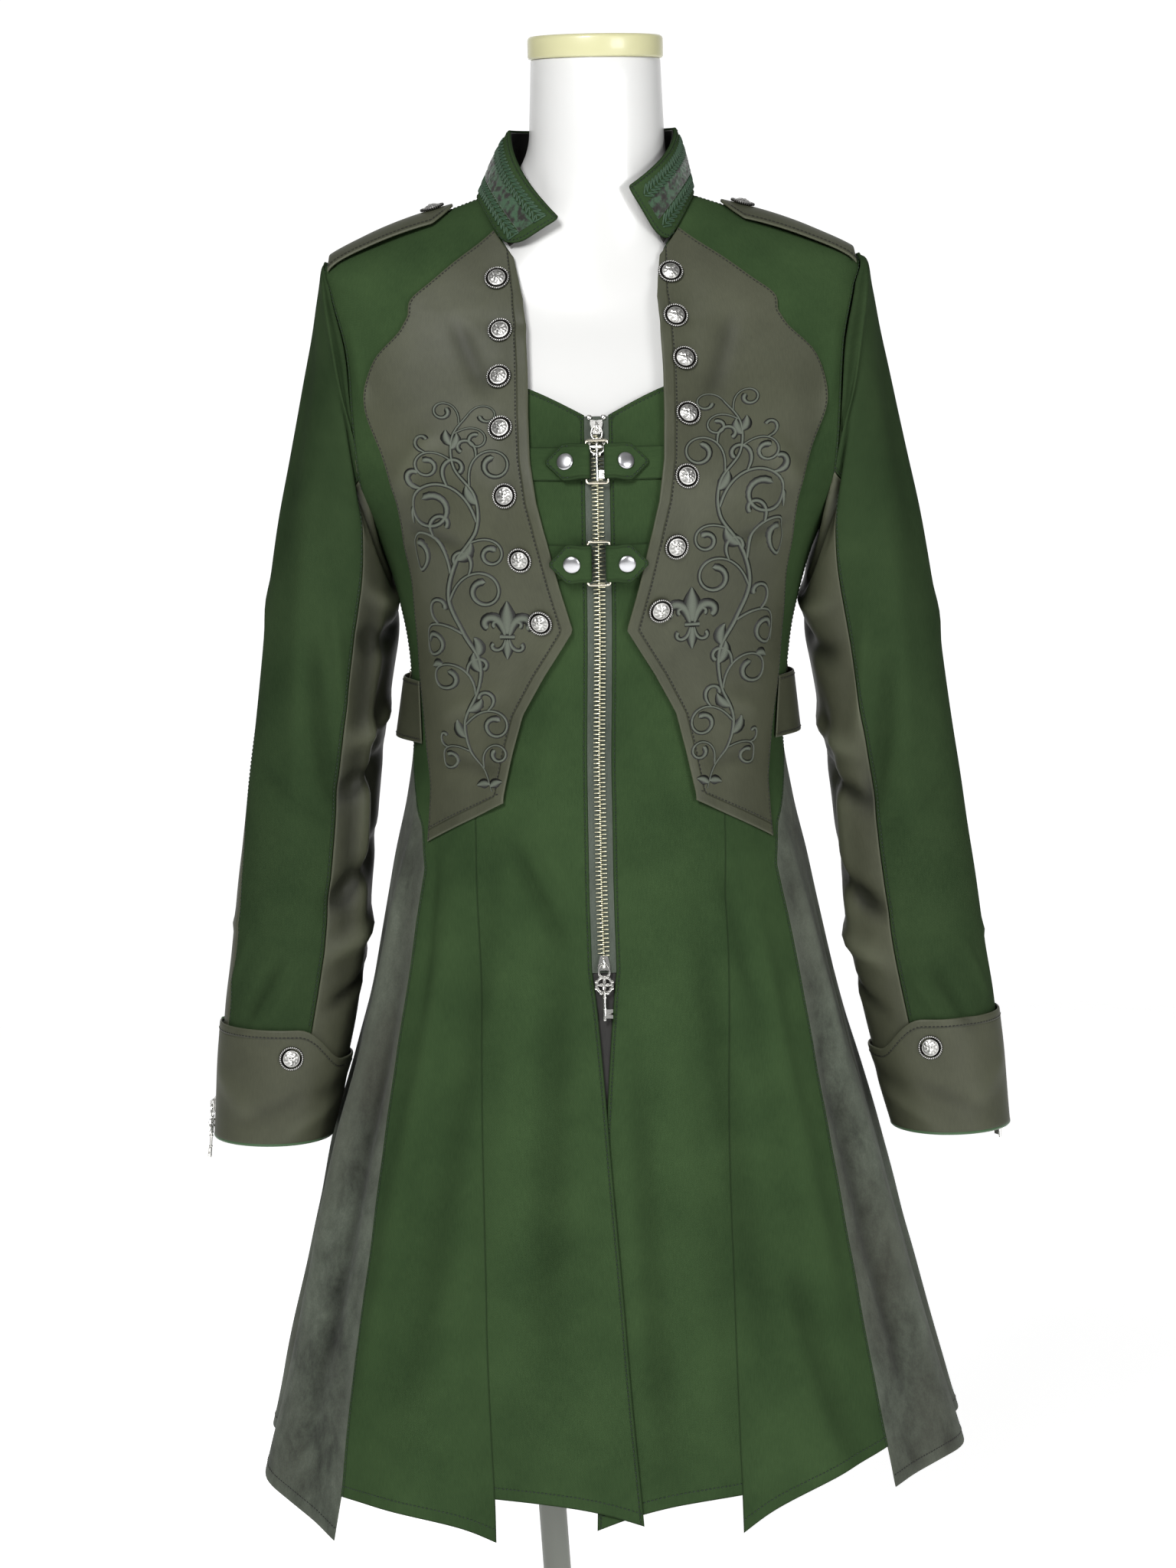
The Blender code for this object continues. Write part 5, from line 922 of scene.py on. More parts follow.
sleeveCreases = np.array([  # from degrees round and a step down the rings to others, width and rise in mm
    (70, 5.2, 112, 7.2, 8, -4.7), (90, 4.7, 113, 6.1, 6, 3.7), (56, 3.8, 80, 7.6, 10, 2.8),
    (98, 1.6, 118, 3.0, 6, -3.4), (30, 6.9, 110, 7.4, 5, -1.9), (110, 7.0, 190, 6.2, 8, -5.6),
    (116, 6.3, 190, 5.5, 8, 5.0), (106, 8.4, 200, 7.5, 9, -6.5), (114, 9.0, 195, 8.6, 8, 5.3),
    (120, 9.7, 200, 9.2, 6, -3.7), (116, 5.0, 185, 4.0, 9, -4.3), (120, 4.2, 190, 3.1, 8, 3.7),
    (48, 9.95, 78, 9.0, 5, -3.4), (72, 9.9, 96, 9.1, 6, 2.5), (20, 9.6, 45, 8.7, 5, 1.6),
    (60, 1.0, 140, 2.2, 8, 3.1), (80, 1.6, 170, 3.2, 8, -3.7), (20, 2.2, 32, 5.2, 12, -2.5),
    (-60, 4.8, 20, 5.6, 8, 1.9), (-100, 6.4, -20, 6.0, 8, -2.8), (-120, 5.4, -40, 5.0, 8, 3.1),
    (150, 4.4, 220, 3.4, 8, -3.7), (160, 9.6, 220, 8.9, 6, 2.8), (-90, 2.0, -30, 1.0, 9, -2.5),
    (-30, 8.72, 30, 8.62, 4, 1.3), (168, 3.2, 184, 10.2, 15, -3.4), (148, 5.2, 164, 7.6, 8, -4.0),
    (138, 6.4, 150, 9.0, 8, 3.0)])
leftCreases = np.array([    # where the left one lies in by the body
    (124, 2.8, 136, 9.8, 13, -3.4), (150, 3.6, 168, 8.8, 10, -3.0), (138, 3.8, 146, 8.0, 5, 2.2)])
cuffCreases = np.array([    # the same on the cuffs, which the sleeves' creases don't reach
    (15, 10.35, 75, 10.80, 7, 1.4), (55, 10.85, 120, 10.55, 6, -1.4), (100, 10.95, 165, 10.65, 6, 1.6),
    (120, 10.60, 190, 10.50, 7, -1.4), (190, 10.9, 260, 10.6, 8, 1.2)])


def sleevePoint(side, step, around):    # through the armhole's ring and the sleeve's own, an angle round from outside
    seam = sleeves["seam"] * mm
    halfAngle = math.radians(armhole["halfAngle"]) - 2 * seam / armhole["halfWidth"]
    c, s = np.cos(around), np.sin(around)
    hole = lifted(side * (math.pi / 2 - halfAngle * s), armhole["middle"] + (armhole["half"] - seam) * c, clothThick)
    hole[..., 0] *= side
    stack = np.stack([hole] + [np.stack([(ox + ix) / 2 + (ox - ix) / 2 * c, my - depth * s,
                                         (oz + iz) / 2 + (oz - iz) / 2 * c], axis=-1)
                               for ox, oz, ix, iz, depth, my in sleeveRings])
    slopes = np.gradient(stack, axis=0)
    i = np.clip(np.floor(step).astype(int), 0, len(stack) - 2)
    here, below = (i, *np.indices(i.shape)), (i + 1, *np.indices(i.shape))
    place = cubic((step - i)[..., None], stack[here], stack[below], slopes[here], slopes[below])
    place[..., 0] = side * (place[..., 0] + sleeves["swing"][side] * (step / len(stack)) ** 2)
    return place


def onSleeve(side, step, around, lift):     # the sleeve's surface with its creases, moved out by a lift
    step, around, lift = np.broadcast_arrays(step, around, lift)
    d = 1e-3
    here = sleevePoint(side, step, around)
    across = sleevePoint(side, step, around + d) - sleevePoint(side, step, around - d)
    down = sleevePoint(side, step + d, around) - sleevePoint(side, np.maximum(step - d, 0), around)
    normal = unit(side * np.cross(across, down))
    degrees = (np.degrees(around) + 130) % 360 - 130
    rightShift = (6, 0.22, 6, 0.22, 0, 0)       # the right sleeve's creases lie a little further round and down
    folds = np.concatenate([sleeveCreases, leftCreases]) if side < 0 else sleeveCreases + rightShift
    crease = creaseLift(folds, degrees, step, math.radians(0.047), 0.062)
    head = 1.6 * mm * np.exp(-((step - 0.20) / 0.12) ** 2)      # the seam allowance pushes the sleeve head up
    turnback = creaseLift(cuffCreases, degrees, step, math.radians(0.043), 0.080)
    crease = crease * blend(0.05, 0.7, step) * blend(10.3, 9.6, step) + turnback * blend(9.9, 10.3, step)
    lastCrease["rise"] = crease
    return here + normal * (lift + crease + head)[..., None]


def backSeam(side, step):
    return between(sleeves["backSeamTop"], sleeves["backSeamCuff"][side], blend(1.0, 9.0, step))


def sleeve(side):
    hand = sideNames[side]
    gap = 0.25
    for part, finish, node in (("upperSleeve", "shadedSleeveTwill", "sleeve_upper"),
                               ("underSleeve", "taupeSateen", "sleeve_under")):
        def surface(across, up, lift, part=part):
            step = len(sleeveRings) * (1 - up)
            seam = backSeam(side, step)
            start = seam + gap if part == "upperSleeve" else sleeves["frontSeam"] + gap
            end = sleeves["frontSeam"] - gap if part == "upperSleeve" else seam + 360 - gap
            return onSleeve(side, step, np.radians(between(start, end, across)), lift - clothThick)
        name = f"{part}_{hand}"
        sewPanel(name, surface, clothThick, finish, [f"{node}_{hand}"],
                 step=5.0 * mm,
                 stitched=("right",) if part == "upperSleeve" else (), inset=2.4 * mm)
    topstitch(f"upperSleeve_{hand}", "greenThread", ("right", 2.4, 0.1, 1.0), ("left", 2.4, 0.1, 1.0))


def cuff(side):
    hand = sideNames[side]
    zipAt = sleeves["zipAngle"][side]
    def surface(across, up, lift):
        degrees = zipAt + 1.6 + (360 - 3.2) * across
        around = degrees % 360
        dip = blend(100, 150, around) * (1 - blend(215, 260, around))
        top = between(sleeves["cuffTop"], sleeves["cuffLow"], dip)
        step = between(sleeves["cuffEnd"], top, up)
        return onSleeve(side, step, np.radians(degrees), lift + sleeves["cuffGap"] * mm)
    name = f"cuffCloth_{hand}"
    sewPanel(name, surface, sleeves["cuffThick"] * mm, "taupeSateen", [f"cuff_{hand}"],
             step=4.0 * mm,
             stitched=("top",), inset=6.5 * mm)
    topstitch(name, "taupeThread", ("top", 6.5))


for side in sideNames:
    shoulderTab(side)
    sleeve(side)
    cuff(side)
print("collar, tabs, sleeves and cuffs are sewn")


# Straps with their rings

straps = {"upper": {"level": 1.2255, "height": 27.0, "tip": 37.5, "tipLift": 5.6, "reach": 51.5,
                    "stud": {-1: 23.0, 1: 20.6}},
          "lower": {"level": 1.1500, "height": 25.5, "tip": 36.0, "tipLift": 9.4, "reach": 37.5,
                    "stud": {-1: 19.6, 1: 20.6}}}
rings = {"wire": 1.0, "halfWidth": 8.0, "halfHeight": 16.2, "corner": 2.0, "lift": 7.8, "clearance": 0.55}
strapThick = 1.4 * mm
foldRadius = (rings["wire"] + rings["clearance"]) * mm + strapThick / 2
bendFirst, bendCount = 4, 13    # the points of a strap's path that go round the ring
bendEnd = bendFirst + bendCount


def above(side, x, level, lift):    # point over the body whose own distance from the middle is x
    angle = angleAt(x, level)
    lean = bodyNormal(angle, level)[..., 0]
    return lifted(side * angleAt(x - lift * lean, level), level, lift)


def strapPath(strap):   # distance from the middle and lift: in under the overlay, round the ring's bar, and back
    bar, lift = rings["halfWidth"] * mm, rings["lift"] * mm
    top = lift + foldRadius
    tip, tipLift = strap["tip"] * mm, strap["tipLift"] * mm
    under = lift - foldRadius
    start = [(strap["reach"] * mm, 2.8 * mm), (0.030, 3.0 * mm), (0.018, under - 0.9 * mm), (bar + 0.003, under)]
    bend = [(bar - foldRadius * math.sin(t), lift - foldRadius * math.cos(t))
            for t in np.linspace(0, math.pi, bendCount)]
    end = [(bar + 0.004, top), (0.020, top + (tipLift - top) * 0.35), (tip - 0.011, top + (tipLift - top) * 0.75),
           (tip, tipLift)]
    return np.array(start + bend + end)


def squareTo(path):     # at each point of a flat path the direction square to it
    ahead = unit(np.gradient(path, axis=0))
    return np.stack([-ahead[:, 1], ahead[:, 0]], axis=1)


def frontStrap(which, side):
    strap = straps[which]
    path = strapPath(strap)
    run, square = runs(path, 0), squareTo(path)
    tipRun = run[-1]
    def surface(across, up, lift):
        at = up * tipRun
        spot = follow(at, run, path) + (lift - strapThick / 2)[..., None] * follow(at, run, square)
        grown = 1 + 0.07 * blend(run[bendEnd], run[bendEnd + 1], at)
        half = strap["height"] / 2 * mm * grown * np.clip(0.10 + 0.90 * (tipRun - at) / 0.0125, 0, 1)
        offset = (across * 2 - 1) * half
        here = above(side, spot[..., 0], strap["level"] + offset, spot[..., 1])
        low = above(side, spot[..., 0], strap["level"] - half, spot[..., 1])
        high = above(side, spot[..., 0], strap["level"] + half, spot[..., 1])
        straight = between(low, high, across[..., None])
        return between(here, straight, blend(3.4 * mm, 5.0 * mm, spot[..., 1])[..., None])
    name = f"strap_{which}_{sideNames[side]}_cloth"
    sewPanel(name, surface, strapThick, "cottonTwill", [f"strap_{which}_{sideNames[side]}"],
             step=1.6 * mm, stitched=("left", "right", "top"),
             inset=2.2 * mm)
    for edge in ("left", "right"):      # none round the ring's bar
        topstitch(name, "greenThread", (edge, 2.2, 0.0, run[2] / tipRun),
                  (edge, 2.2, run[bendEnd + 1] / tipRun, 0.99))
    share = np.interp(strap["stud"][side] * mm, path[bendEnd:, 0], run[bendEnd:]) / tipRun
    return [surface(np.array([c]), np.array([u]), np.array([strapThick]))[0]
            for c, u in ((0.5, share), (0.6, share), (0.5, share + 0.02))]


def roundedPath(halfWidth, halfHeight, corner, steps=6):    # closed rectangle with rounded corners
    path = []
    for quarter, (sx, sy) in enumerate([(1, 1), (-1, 1), (-1, -1), (1, -1)]):
        turns = 90 * (quarter + np.arange(steps + 1) / steps)
        path += arc(sx * (halfWidth - corner), sy * (halfHeight - corner), corner, turns)
    return np.array([(x, y, 0) for x, y in path])


def wireRing(name, node, origin, across, up, halfWidth, halfHeight):
    path = roundedPath(halfWidth, halfHeight, rings["corner"] * mm)
    shape = tubeAlong(path, rings["wire"] * mm, 12, (0, 0, 1), closed=True)
    addPiece(name, makeMesh(name, *moved(shape, origin, across, up)), "paleNickel", [node])


studProfile = np.array([(5.2, 0.0), (6.1, 0.2), (6.35, 0.55)] +    # radius and height of the stud's domed cap
                       [(0.3 + 6.0 * math.cos(t), 0.75 + 1.8 * math.sin(t))
                        for t in np.radians(np.linspace(4, 88, 16))]) * mm


def pressStud(name, origin, up, out):
    across = np.cross(up, out)
    shape = moved(turnedShape(studProfile, 56), origin, across, np.cross(out, across))
    mesh = makeMesh(name, *shape)
    setAttribute(mesh, "recess", np.zeros(len(mesh.vertices)))
    addPiece(name, mesh, "polishedChrome")


for which, strap in straps.items():
    for side in sideNames:
        spot, upSpot, inSpot = frontStrap(which, side)
        up, along = upSpot - spot, (inSpot - spot) * side
        out = unit(np.cross(along, up))
        out *= 1 if out[1] < 0 else -1
        pressStud(f"pressStud_{which}_{sideNames[side]}", spot + out * 0.1 * mm, up, out)
    low, high = [lifted(0.0, strap["level"] + way * strap["height"] / 2 * mm, rings["lift"] * mm) for way in (-1, 1)]
    wireRing(f"ring_{which}_wire", f"ring_{which}", (low + high) / 2, (1, 0, 0), high - low, rings["halfWidth"] * mm,
             rings["halfHeight"] * mm)

sideStraps = {"levels": (1.006, 1.054), "start": 70.0, "fold": 100.0, "back": 94.0, "stand": 13.0, "topShare": 0.35,
              "ringBack": 106.0, "ringLift": 10.5, "tabEnd": 126.0}


def sideStrapLift(angle, share):    # it stands off more at its lower edge
    stand = sideStraps["stand"] * mm * blend(sideStraps["start"], sideStraps["fold"] - 4, angle)
    stand = stand * (1 - (1 - sideStraps["topShare"]) * share)
    return clothThick + overlays["layerGap"] * mm + strapThick / 2 + stand


def sideRingBars(side):     # the near bar's middle, direction and length, and the way across to the far bar
    fold, back = sideStraps["fold"], math.radians(sideStraps["ringBack"])
    ends = [lifted(side * math.radians(fold), level, sideStrapLift(fold, share) - foldRadius)
            for share, level in zip((0.0, 1.0), sideStraps["levels"])]
    near, up = (ends[0] + ends[1]) / 2, ends[1] - ends[0]
    height = np.linalg.norm(up)
    up = up / height
    far = lifted(side * back, sum(sideStraps["levels"]) / 2, sideStraps["ringLift"] * mm)
    across = far - near
    return near, up, height, across - up * np.dot(across, up)


def sideStrap(side):
    hand = sideNames[side]
    girth = float(readTable(bodyRings, 3, 1.03))
    fold = math.radians(sideStraps["fold"]) * girth
    layers = []
    for share in (0.0, 1.0):
        angles = np.linspace(sideStraps["start"], sideStraps["fold"], 15)
        path = [(math.radians(a) * girth, float(sideStrapLift(a, share))) for a in angles]
        middle = float(sideStrapLift(sideStraps["fold"], share)) - foldRadius
        path += [(fold + foldRadius * math.sin(t), middle + foldRadius * math.cos(t))
                 for t in np.linspace(0.26, math.pi, 12)]
        path.append((math.radians(sideStraps["back"]) * girth, middle - foldRadius - 0.6 * mm * (1 - share)))
        path = np.array(path)
        layers.append((path, squareTo(path)))
    marks = np.linspace(0, 1, len(layers[0][0]))
    def surface(across, up, lift):
        ends = []
        for (path, square), level in zip(layers, sideStraps["levels"]):
            spot = follow(up, marks, path) + (lift - strapThick / 2)[..., None] * follow(up, marks, square)
            ends.append(lifted(side * spot[..., 0] / girth, np.full_like(up, level), spot[..., 1]))
        return between(*ends, across[..., None])
    name = f"sideStrap_{hand}"
    sewPanel(name, surface, strapThick, "taupeSateen", [f"side_strap_{hand}"],
             step=2.0 * mm,
             stitched=("left", "right"), inset=3 * mm)
    topstitch(name, "taupeThread", ("left", 3.0, 0.02, 0.62), ("right", 3.0, 0.02, 0.62))
    near, up, height, across = sideRingBars(side)
    wireRing(f"sideRing_{hand}_wire", f"side_ring_{hand}", near + across / 2, side * across, up,
             np.linalg.norm(across) / 2, height / 2 + 2.6 * mm)


def backTab(side):
    hand = sideNames[side]
    near, up, height, across = sideRingBars(side)
    along = unit(across)
    out = side * np.cross(along, up)
    rows = []
    for share, level in zip((0.0, 1.0), sideStraps["levels"]):
        bar = near + across + up * height * (share - 0.5)
        foot = lifted(side * math.radians(sideStraps["tabEnd"]), level, 2.8 * mm)
        rest = (foot + bar + out * foldRadius) / 2 + out * 0.8 * mm
        down = unit(rest - (bar + out * foldRadius))
        bend = [bar + out * foldRadius * math.cos(t) - along * foldRadius * math.sin(t)
                for t in np.linspace(0, math.pi, bendCount)]
        row = np.array([foot, rest] + bend + [bar - out * foldRadius + down * 0.005])
        rows.append((row, unit(side * np.cross(up, np.gradient(row, axis=0)))))
    marks = np.linspace(0, 1, len(rows[0][0]))
    def surface(across, upShare, lift):
        ends = [follow(upShare, marks, row) + (lift - strapThick / 2)[..., None] * follow(upShare, marks, normal)
                for row, normal in rows]
        return between(*ends, across[..., None])
    sewPanel(f"backTab_{hand}", surface, strapThick, "taupeSateen", [f"back_tab_{hand}"],
             step=2.0 * mm,
             stitched=("left", "right"), inset=3 * mm)


for side in sideNames:
    sideStrap(side)
    backTab(side)
print("straps are folded round their rings")


# Zip: tape, teeth, stops

zipper = {"pitch": 3.16, "toothWidth": 5.2, "toothHeight": 1.35, "toothDeep": 1.9, "reach": 0.8, "lift": 1.1,
          "firstTooth": 0.859, "lastTooth": 1.249, "stopLevel": 1.2655, "stopX": 0.0052, "cuffPitch": 0.025,
          "cuffScale": 0.6}


def zipTape():
    gap = (fronts["zipHalfGap"] - fronts["seamGap"]) * mm
    def surface(across, up, lift):
        level = between(fronts["zipBottom"], fronts["zipTop"] - mm, up)
        return lifted(angleAt((across * 2 - 1) * gap, level), level, lift + 0.1 * mm)
    sewPanel("zipTapeWeb", surface, 1.0 * mm, "zipTapeWeave", ["zip_tape"], step=2.2 * mm)


def toothShape():   # one tooth: a rounded bar with a raised head, eight points round and closed by fans
    half, high, deep = zipper["toothWidth"] / 2, zipper["toothHeight"] / 2, zipper["toothDeep"] / 2
    turns = np.radians([22, 68, 112, 158, 202, 248, 292, 338])
    rows = np.array([[(x, grow * high * math.cos(t), deep + grow * deep * math.sin(t)) for t in turns]
                     for x, grow in ((-half, 0.55), (-half + 0.35, 0.85), (half - 1.6, 0.80), (half - 1.1, 1.0),
                                     (half - 0.35, 1.0), (half, 0.7))]) * mm
    return closedRows(rows, [rows[0].mean(axis=0), rows[-1].mean(axis=0)])


def zipTeeth(name, spots, sides, ups, outs, scale=1.0):     # a tooth at each spot, its head along the side vector
    points, quads, tris = toothShape()
    points = points * scale
    placed = placedCopies(points, spots, sides, ups, outs)
    mesh = makeMesh(name, placed, *copiedFaces(quads, tris, len(spots), len(points)))
    # Painted shade: each tooth darker towards its foot by its height, where the teeth meet the tape
    setAttribute(mesh, "recess", np.tile(np.clip(1.0 - points[:, 2] / (1.5 * mm * scale), 0, 1), len(spots)))
    addPiece(name, mesh, "paleBrass")


def mainZip():
    zipTape()
    pitch = zipper["pitch"] * mm
    levels = np.arange(zipper["firstTooth"], zipper["lastTooth"], pitch / 1.01)
    stops = []
    for way in (-1, 1):
        level = levels + (pitch / 2 if way > 0 else 0)
        angle = angleAt(-way * (zipper["toothWidth"] / 2 - zipper["reach"]) * mm, level)
        spot = lifted(angle, level, zipper["lift"] * mm)
        out = bodyNormal(angle, level)
        up = unit(lifted(angle, level + mm, zipper["lift"] * mm) - spot)
        zipTeeth(f"zipTeeth_{sideNames[-way]}", spot, np.cross(up, out) * way, up, out)
        # Top stop above the slider
        spot = lifted(angleAt(way * zipper["stopX"], zipper["stopLevel"]), zipper["stopLevel"], zipper["lift"] * mm)
        stub = np.array([(1.5, 0.0), (2.1, 0.5), (2.2, 1.1), (1.9, 1.8), (1.2, 2.25), (0.4, 2.4)]) * mm
        stops.append(moved(turnedShape(stub, 20), spot, (1, -0.1 * way, 0), (0, 0.35, 1)))
    addPiece("zipTopStops", makeMesh("zipTopStops", *gather(stops)), "antiqueSilver")


def cuffZip(side):
    hand = sideNames[side]
    # The zip in the cuff's outer seam: two rows of small teeth on a strip of tape in the slit
    around = math.radians(sleeves["zipAngle"][side])
    name = f"cuffZipTape_{hand}"
    def surface(across, up, lift):
        step = sleeves["cuffEnd"] - 0.02 + (sleeves["cuffTop"] + 0.05 - sleeves["cuffEnd"]) * up
        return onSleeve(side, step, around + math.radians(8) * (across * 2 - 1), lift + 0.15 * mm)
    sewPanel(name, surface, 0.8 * mm, "zipTapeWeave", [],
             step=2 * mm)
    pitch = zipper["cuffPitch"]
    for way, row in ((-1, "back"), (1, "front")):
        step = np.arange(sleeves["cuffTop"] + 0.06, sleeves["cuffEnd"] - 0.03, pitch) + (pitch / 2 if way > 0 else 0)
        def place(lift, turn=0.0, down=0.0):
            return onSleeve(side, step + down, around + way * math.radians(1.4) + turn, lift * mm)
        spot = place(1.0)
        out, up, along = [unit(v - spot) for v in (place(2.0), place(1.0, 0.0, -0.02), place(1.0, -0.01 * way))]
        zipTeeth(f"cuffTeeth_{hand}_{row}", spot, along, up, out, zipper["cuffScale"])


mainZip()
for side in sideNames:
    cuffZip(side)


def sliderShape():      # wedge body with a top plate, and the bridge that holds the pull
    wedge = np.array([(-1.5, 4.8), (1.5, 4.8), (4.2, 5.4), (4.4, 3.2), (3.0, -3.6), (2.6, -5.5), (-2.6, -5.5),
                      (-3.0, -3.6), (-4.4, 3.2), (-4.2, 5.4)]) * mm
    body = plateShape(wedge, 0, 0.9 * mm, 0.25 * mm)
    top = plateShape(wedge * 0.98, 1.5 * mm, 2.5 * mm, 0.3 * mm)
    post = np.array([(-1.4, -4.4), (1.4, -4.4), (1.4, 4.4), (-1.4, 4.4)]) * mm
    post = plateShape(post, 0.5 * mm, 2.0 * mm, 0.2 * mm)
    arch = [(0, -3.4, 2.2), (0, -3.3, 3.8), (0, -2.4, 4.7), (0, 0, 4.95), (0, 2.4, 4.7), (0, 3.3, 3.8), (0, 3.4, 2.2)]
    return gather([body, top, post, tubeAlong(np.array(arch) * mm, 0.62 * mm, 8, (1, 0, 0), flat=1.5)])


def keyShape():     # oval bail, round bow with a scalloped edge and a cross, collared shaft, notched bit
    flat, bowY = (0, 0, 1), -15.7
    def loop(across, along, middle, thick, count):
        turn = 2 * math.pi * np.arange(count) / count
        points = np.stack([across(turn) * np.cos(turn), along(turn) * np.sin(turn) + middle, 0 * turn], axis=1)
        return tubeAlong(points * mm, thick * mm, 8, flat, closed=True)
    scallop = lambda turn: 5.5 + 0.35 * np.abs(np.cos(4 * turn))
    shapes = [loop(lambda turn: 4.0, lambda turn: 5.5, -5.5, 0.8, 28), loop(scallop, scallop, bowY, 0.95, 56)]
    bead = turnedShape(np.array([(0.35, -0.85), (0.85, -0.35), (0.85, 0.35), (0.35, 0.85)]) * 1.5 * mm, 8)
    for x, y in arc(0, bowY, 6.3, 45 * (np.arange(8) + 0.5)):
        shapes.append((bead[0] + np.array([x, y, 0]) * mm, bead[1], bead[2]))
    for bar in ([(x, bowY, 0) for x in (-5.2, -2.0, 0, 2.0, 5.2)],
                [(0, y, 0) for y in (-10.4, -13.6, bowY, -17.8, -21.0)]):
        shapes.append(tubeAlong(np.array(bar) * mm, np.array([0.6, 1.3, 0.6, 1.3, 0.6]) * mm, 8, flat))
    shaft = np.array([  # y, radius
        (-20.8, 1.2), (-21.6, 1.9), (-22.4, 1.9), (-23.0, 1.2), (-24.0, 1.15), (-24.6, 1.7), (-25.4, 1.7),
        (-26.0, 1.1), (-32.4, 1.05), (-32.9, 1.55), (-33.6, 1.55), (-34.0, 1.15), (-41.2, 1.15), (-42.0, 0.9)]) * mm
    shapes.append(tubeAlong(shaft[:, :1] * (0, 1, 0), shaft[:, 1], 14, flat))
    bit = np.array([(0.6, -40.4), (6.1, -40.4), (6.1, -37.9), (3.4, -37.9), (3.4, -36.2), (6.1, -36.2), (6.1, -33.6),
                    (0.6, -33.6)]) * mm
    return gather(shapes + [plateShape(bit, -0.72 * mm, 0.72 * mm, 0.15 * mm)])


cuffWays = (-0.1363, -0.99066, 0.00241), (-0.55224, 0.83367, -0.00497)
pulls = {   # slider's place, its X and Y; the key's pivot, its X and Y; the body that the key rides on
    "upper": ((-0.001, -0.11489, 1.24552), (1, 0, 0), (0, 0.4421, 0.897),
              (-0.001, -0.11785, 1.24698), (1, 0, 0), (0, 0.3792, 0.9253), "upper_key"),
    "lower": ((-0.00214, -0.13352, 0.85322), (-1, 0, 0), (0, -0.1493, -0.9888),
              (-0.00214, -0.13679, 0.85372), (1, 0, 0), (0, 0.2101, 0.9777), "lower_key"),
    "cuff_left": ((-0.3033, 0.00193, 0.72168), cuffWays[0], (0.0705, -0.0073, 0.9975),
                  (-0.30656, 0.00238, 0.72191), cuffWays[0], (0.0776, -0.0082, 0.997), "left_cuff_key"),
    "cuff_right": ((0.30055, 0.02142, 0.72164), cuffWays[1], (-0.0555, -0.0308, 0.998),
                   (0.3033, 0.02324, 0.72185), cuffWays[1], (-0.0614, -0.0347, 0.9975), "right_cuff_key"),
}
for name, (*slider, pivot, keyAcross, keyUp, keyBody) in pulls.items():
    for shape, spot, x, y, kind, body in ((sliderShape(), *slider, "slider", coatBody),
                                          (keyShape(), pivot, keyAcross, keyUp, "key", keyBody)):
        piece = f"{kind}_{name}_cast"
        high = shape[0][:, 2] / np.abs(shape[0][:, 2]).max()
        mesh = makeMesh(piece, *moved(shape, spot, x, y))
        mesh.set_sharp_from_angle(angle=math.radians(38))
        # Darker near the shape's own zero plane, within a quarter of its greatest height
        setAttribute(mesh, "recess", np.clip(0.25 - np.abs(high), 0, 1) * 2)
        addPiece(piece, mesh, "antiqueSilver", [f"{kind}_{name}"], body)
print("zip, sliders and keys are set")


# Buttons

buttons = {"rope": 34, "around": 136, "scale": 0.94, "medallion": 7.1, "groove": 8.2, "rimMiddle": 9.1,
           "rimHalf": 0.95,
           "radii": [0.0, 0.7, 1.4, 2.1, 2.8, 3.5, 4.2, 4.9, 5.4, 5.8, 6.15, 6.45, 6.7, 6.95, 7.1, 7.9, 8.1, 8.25,
                     8.5, 8.8, 9.1, 9.4, 9.65, 9.9, 10.0, 9.7, 9.2]}
lionBells = np.array([  # x, y, width, height as shares of the medallion, rise in mm
    (0, -0.28, 0.19, 0.15, 0.85), (0, -0.14, 0.10, 0.08, 0.35), (0, 0.10, 0.09, 0.26, 0.60),
    (0, 0.38, 0.25, 0.14, 0.50), (-0.28, -0.06, 0.14, 0.18, 0.50), (0.28, -0.06, 0.14, 0.18, 0.50),
    (-0.19, 0.12, 0.08, 0.055, -0.75), (0.19, 0.12, 0.08, 0.055, -0.75), (-0.21, 0.25, 0.13, 0.06, 0.45),
    (0.21, 0.25, 0.13, 0.06, 0.45), (-0.42, 0.46, 0.12, 0.11, 0.60), (0.42, 0.46, 0.12, 0.11, 0.60),
    (0, -0.55, 0.15, 0.09, 0.50), (0, -0.43, 0.17, 0.035, -0.55)])


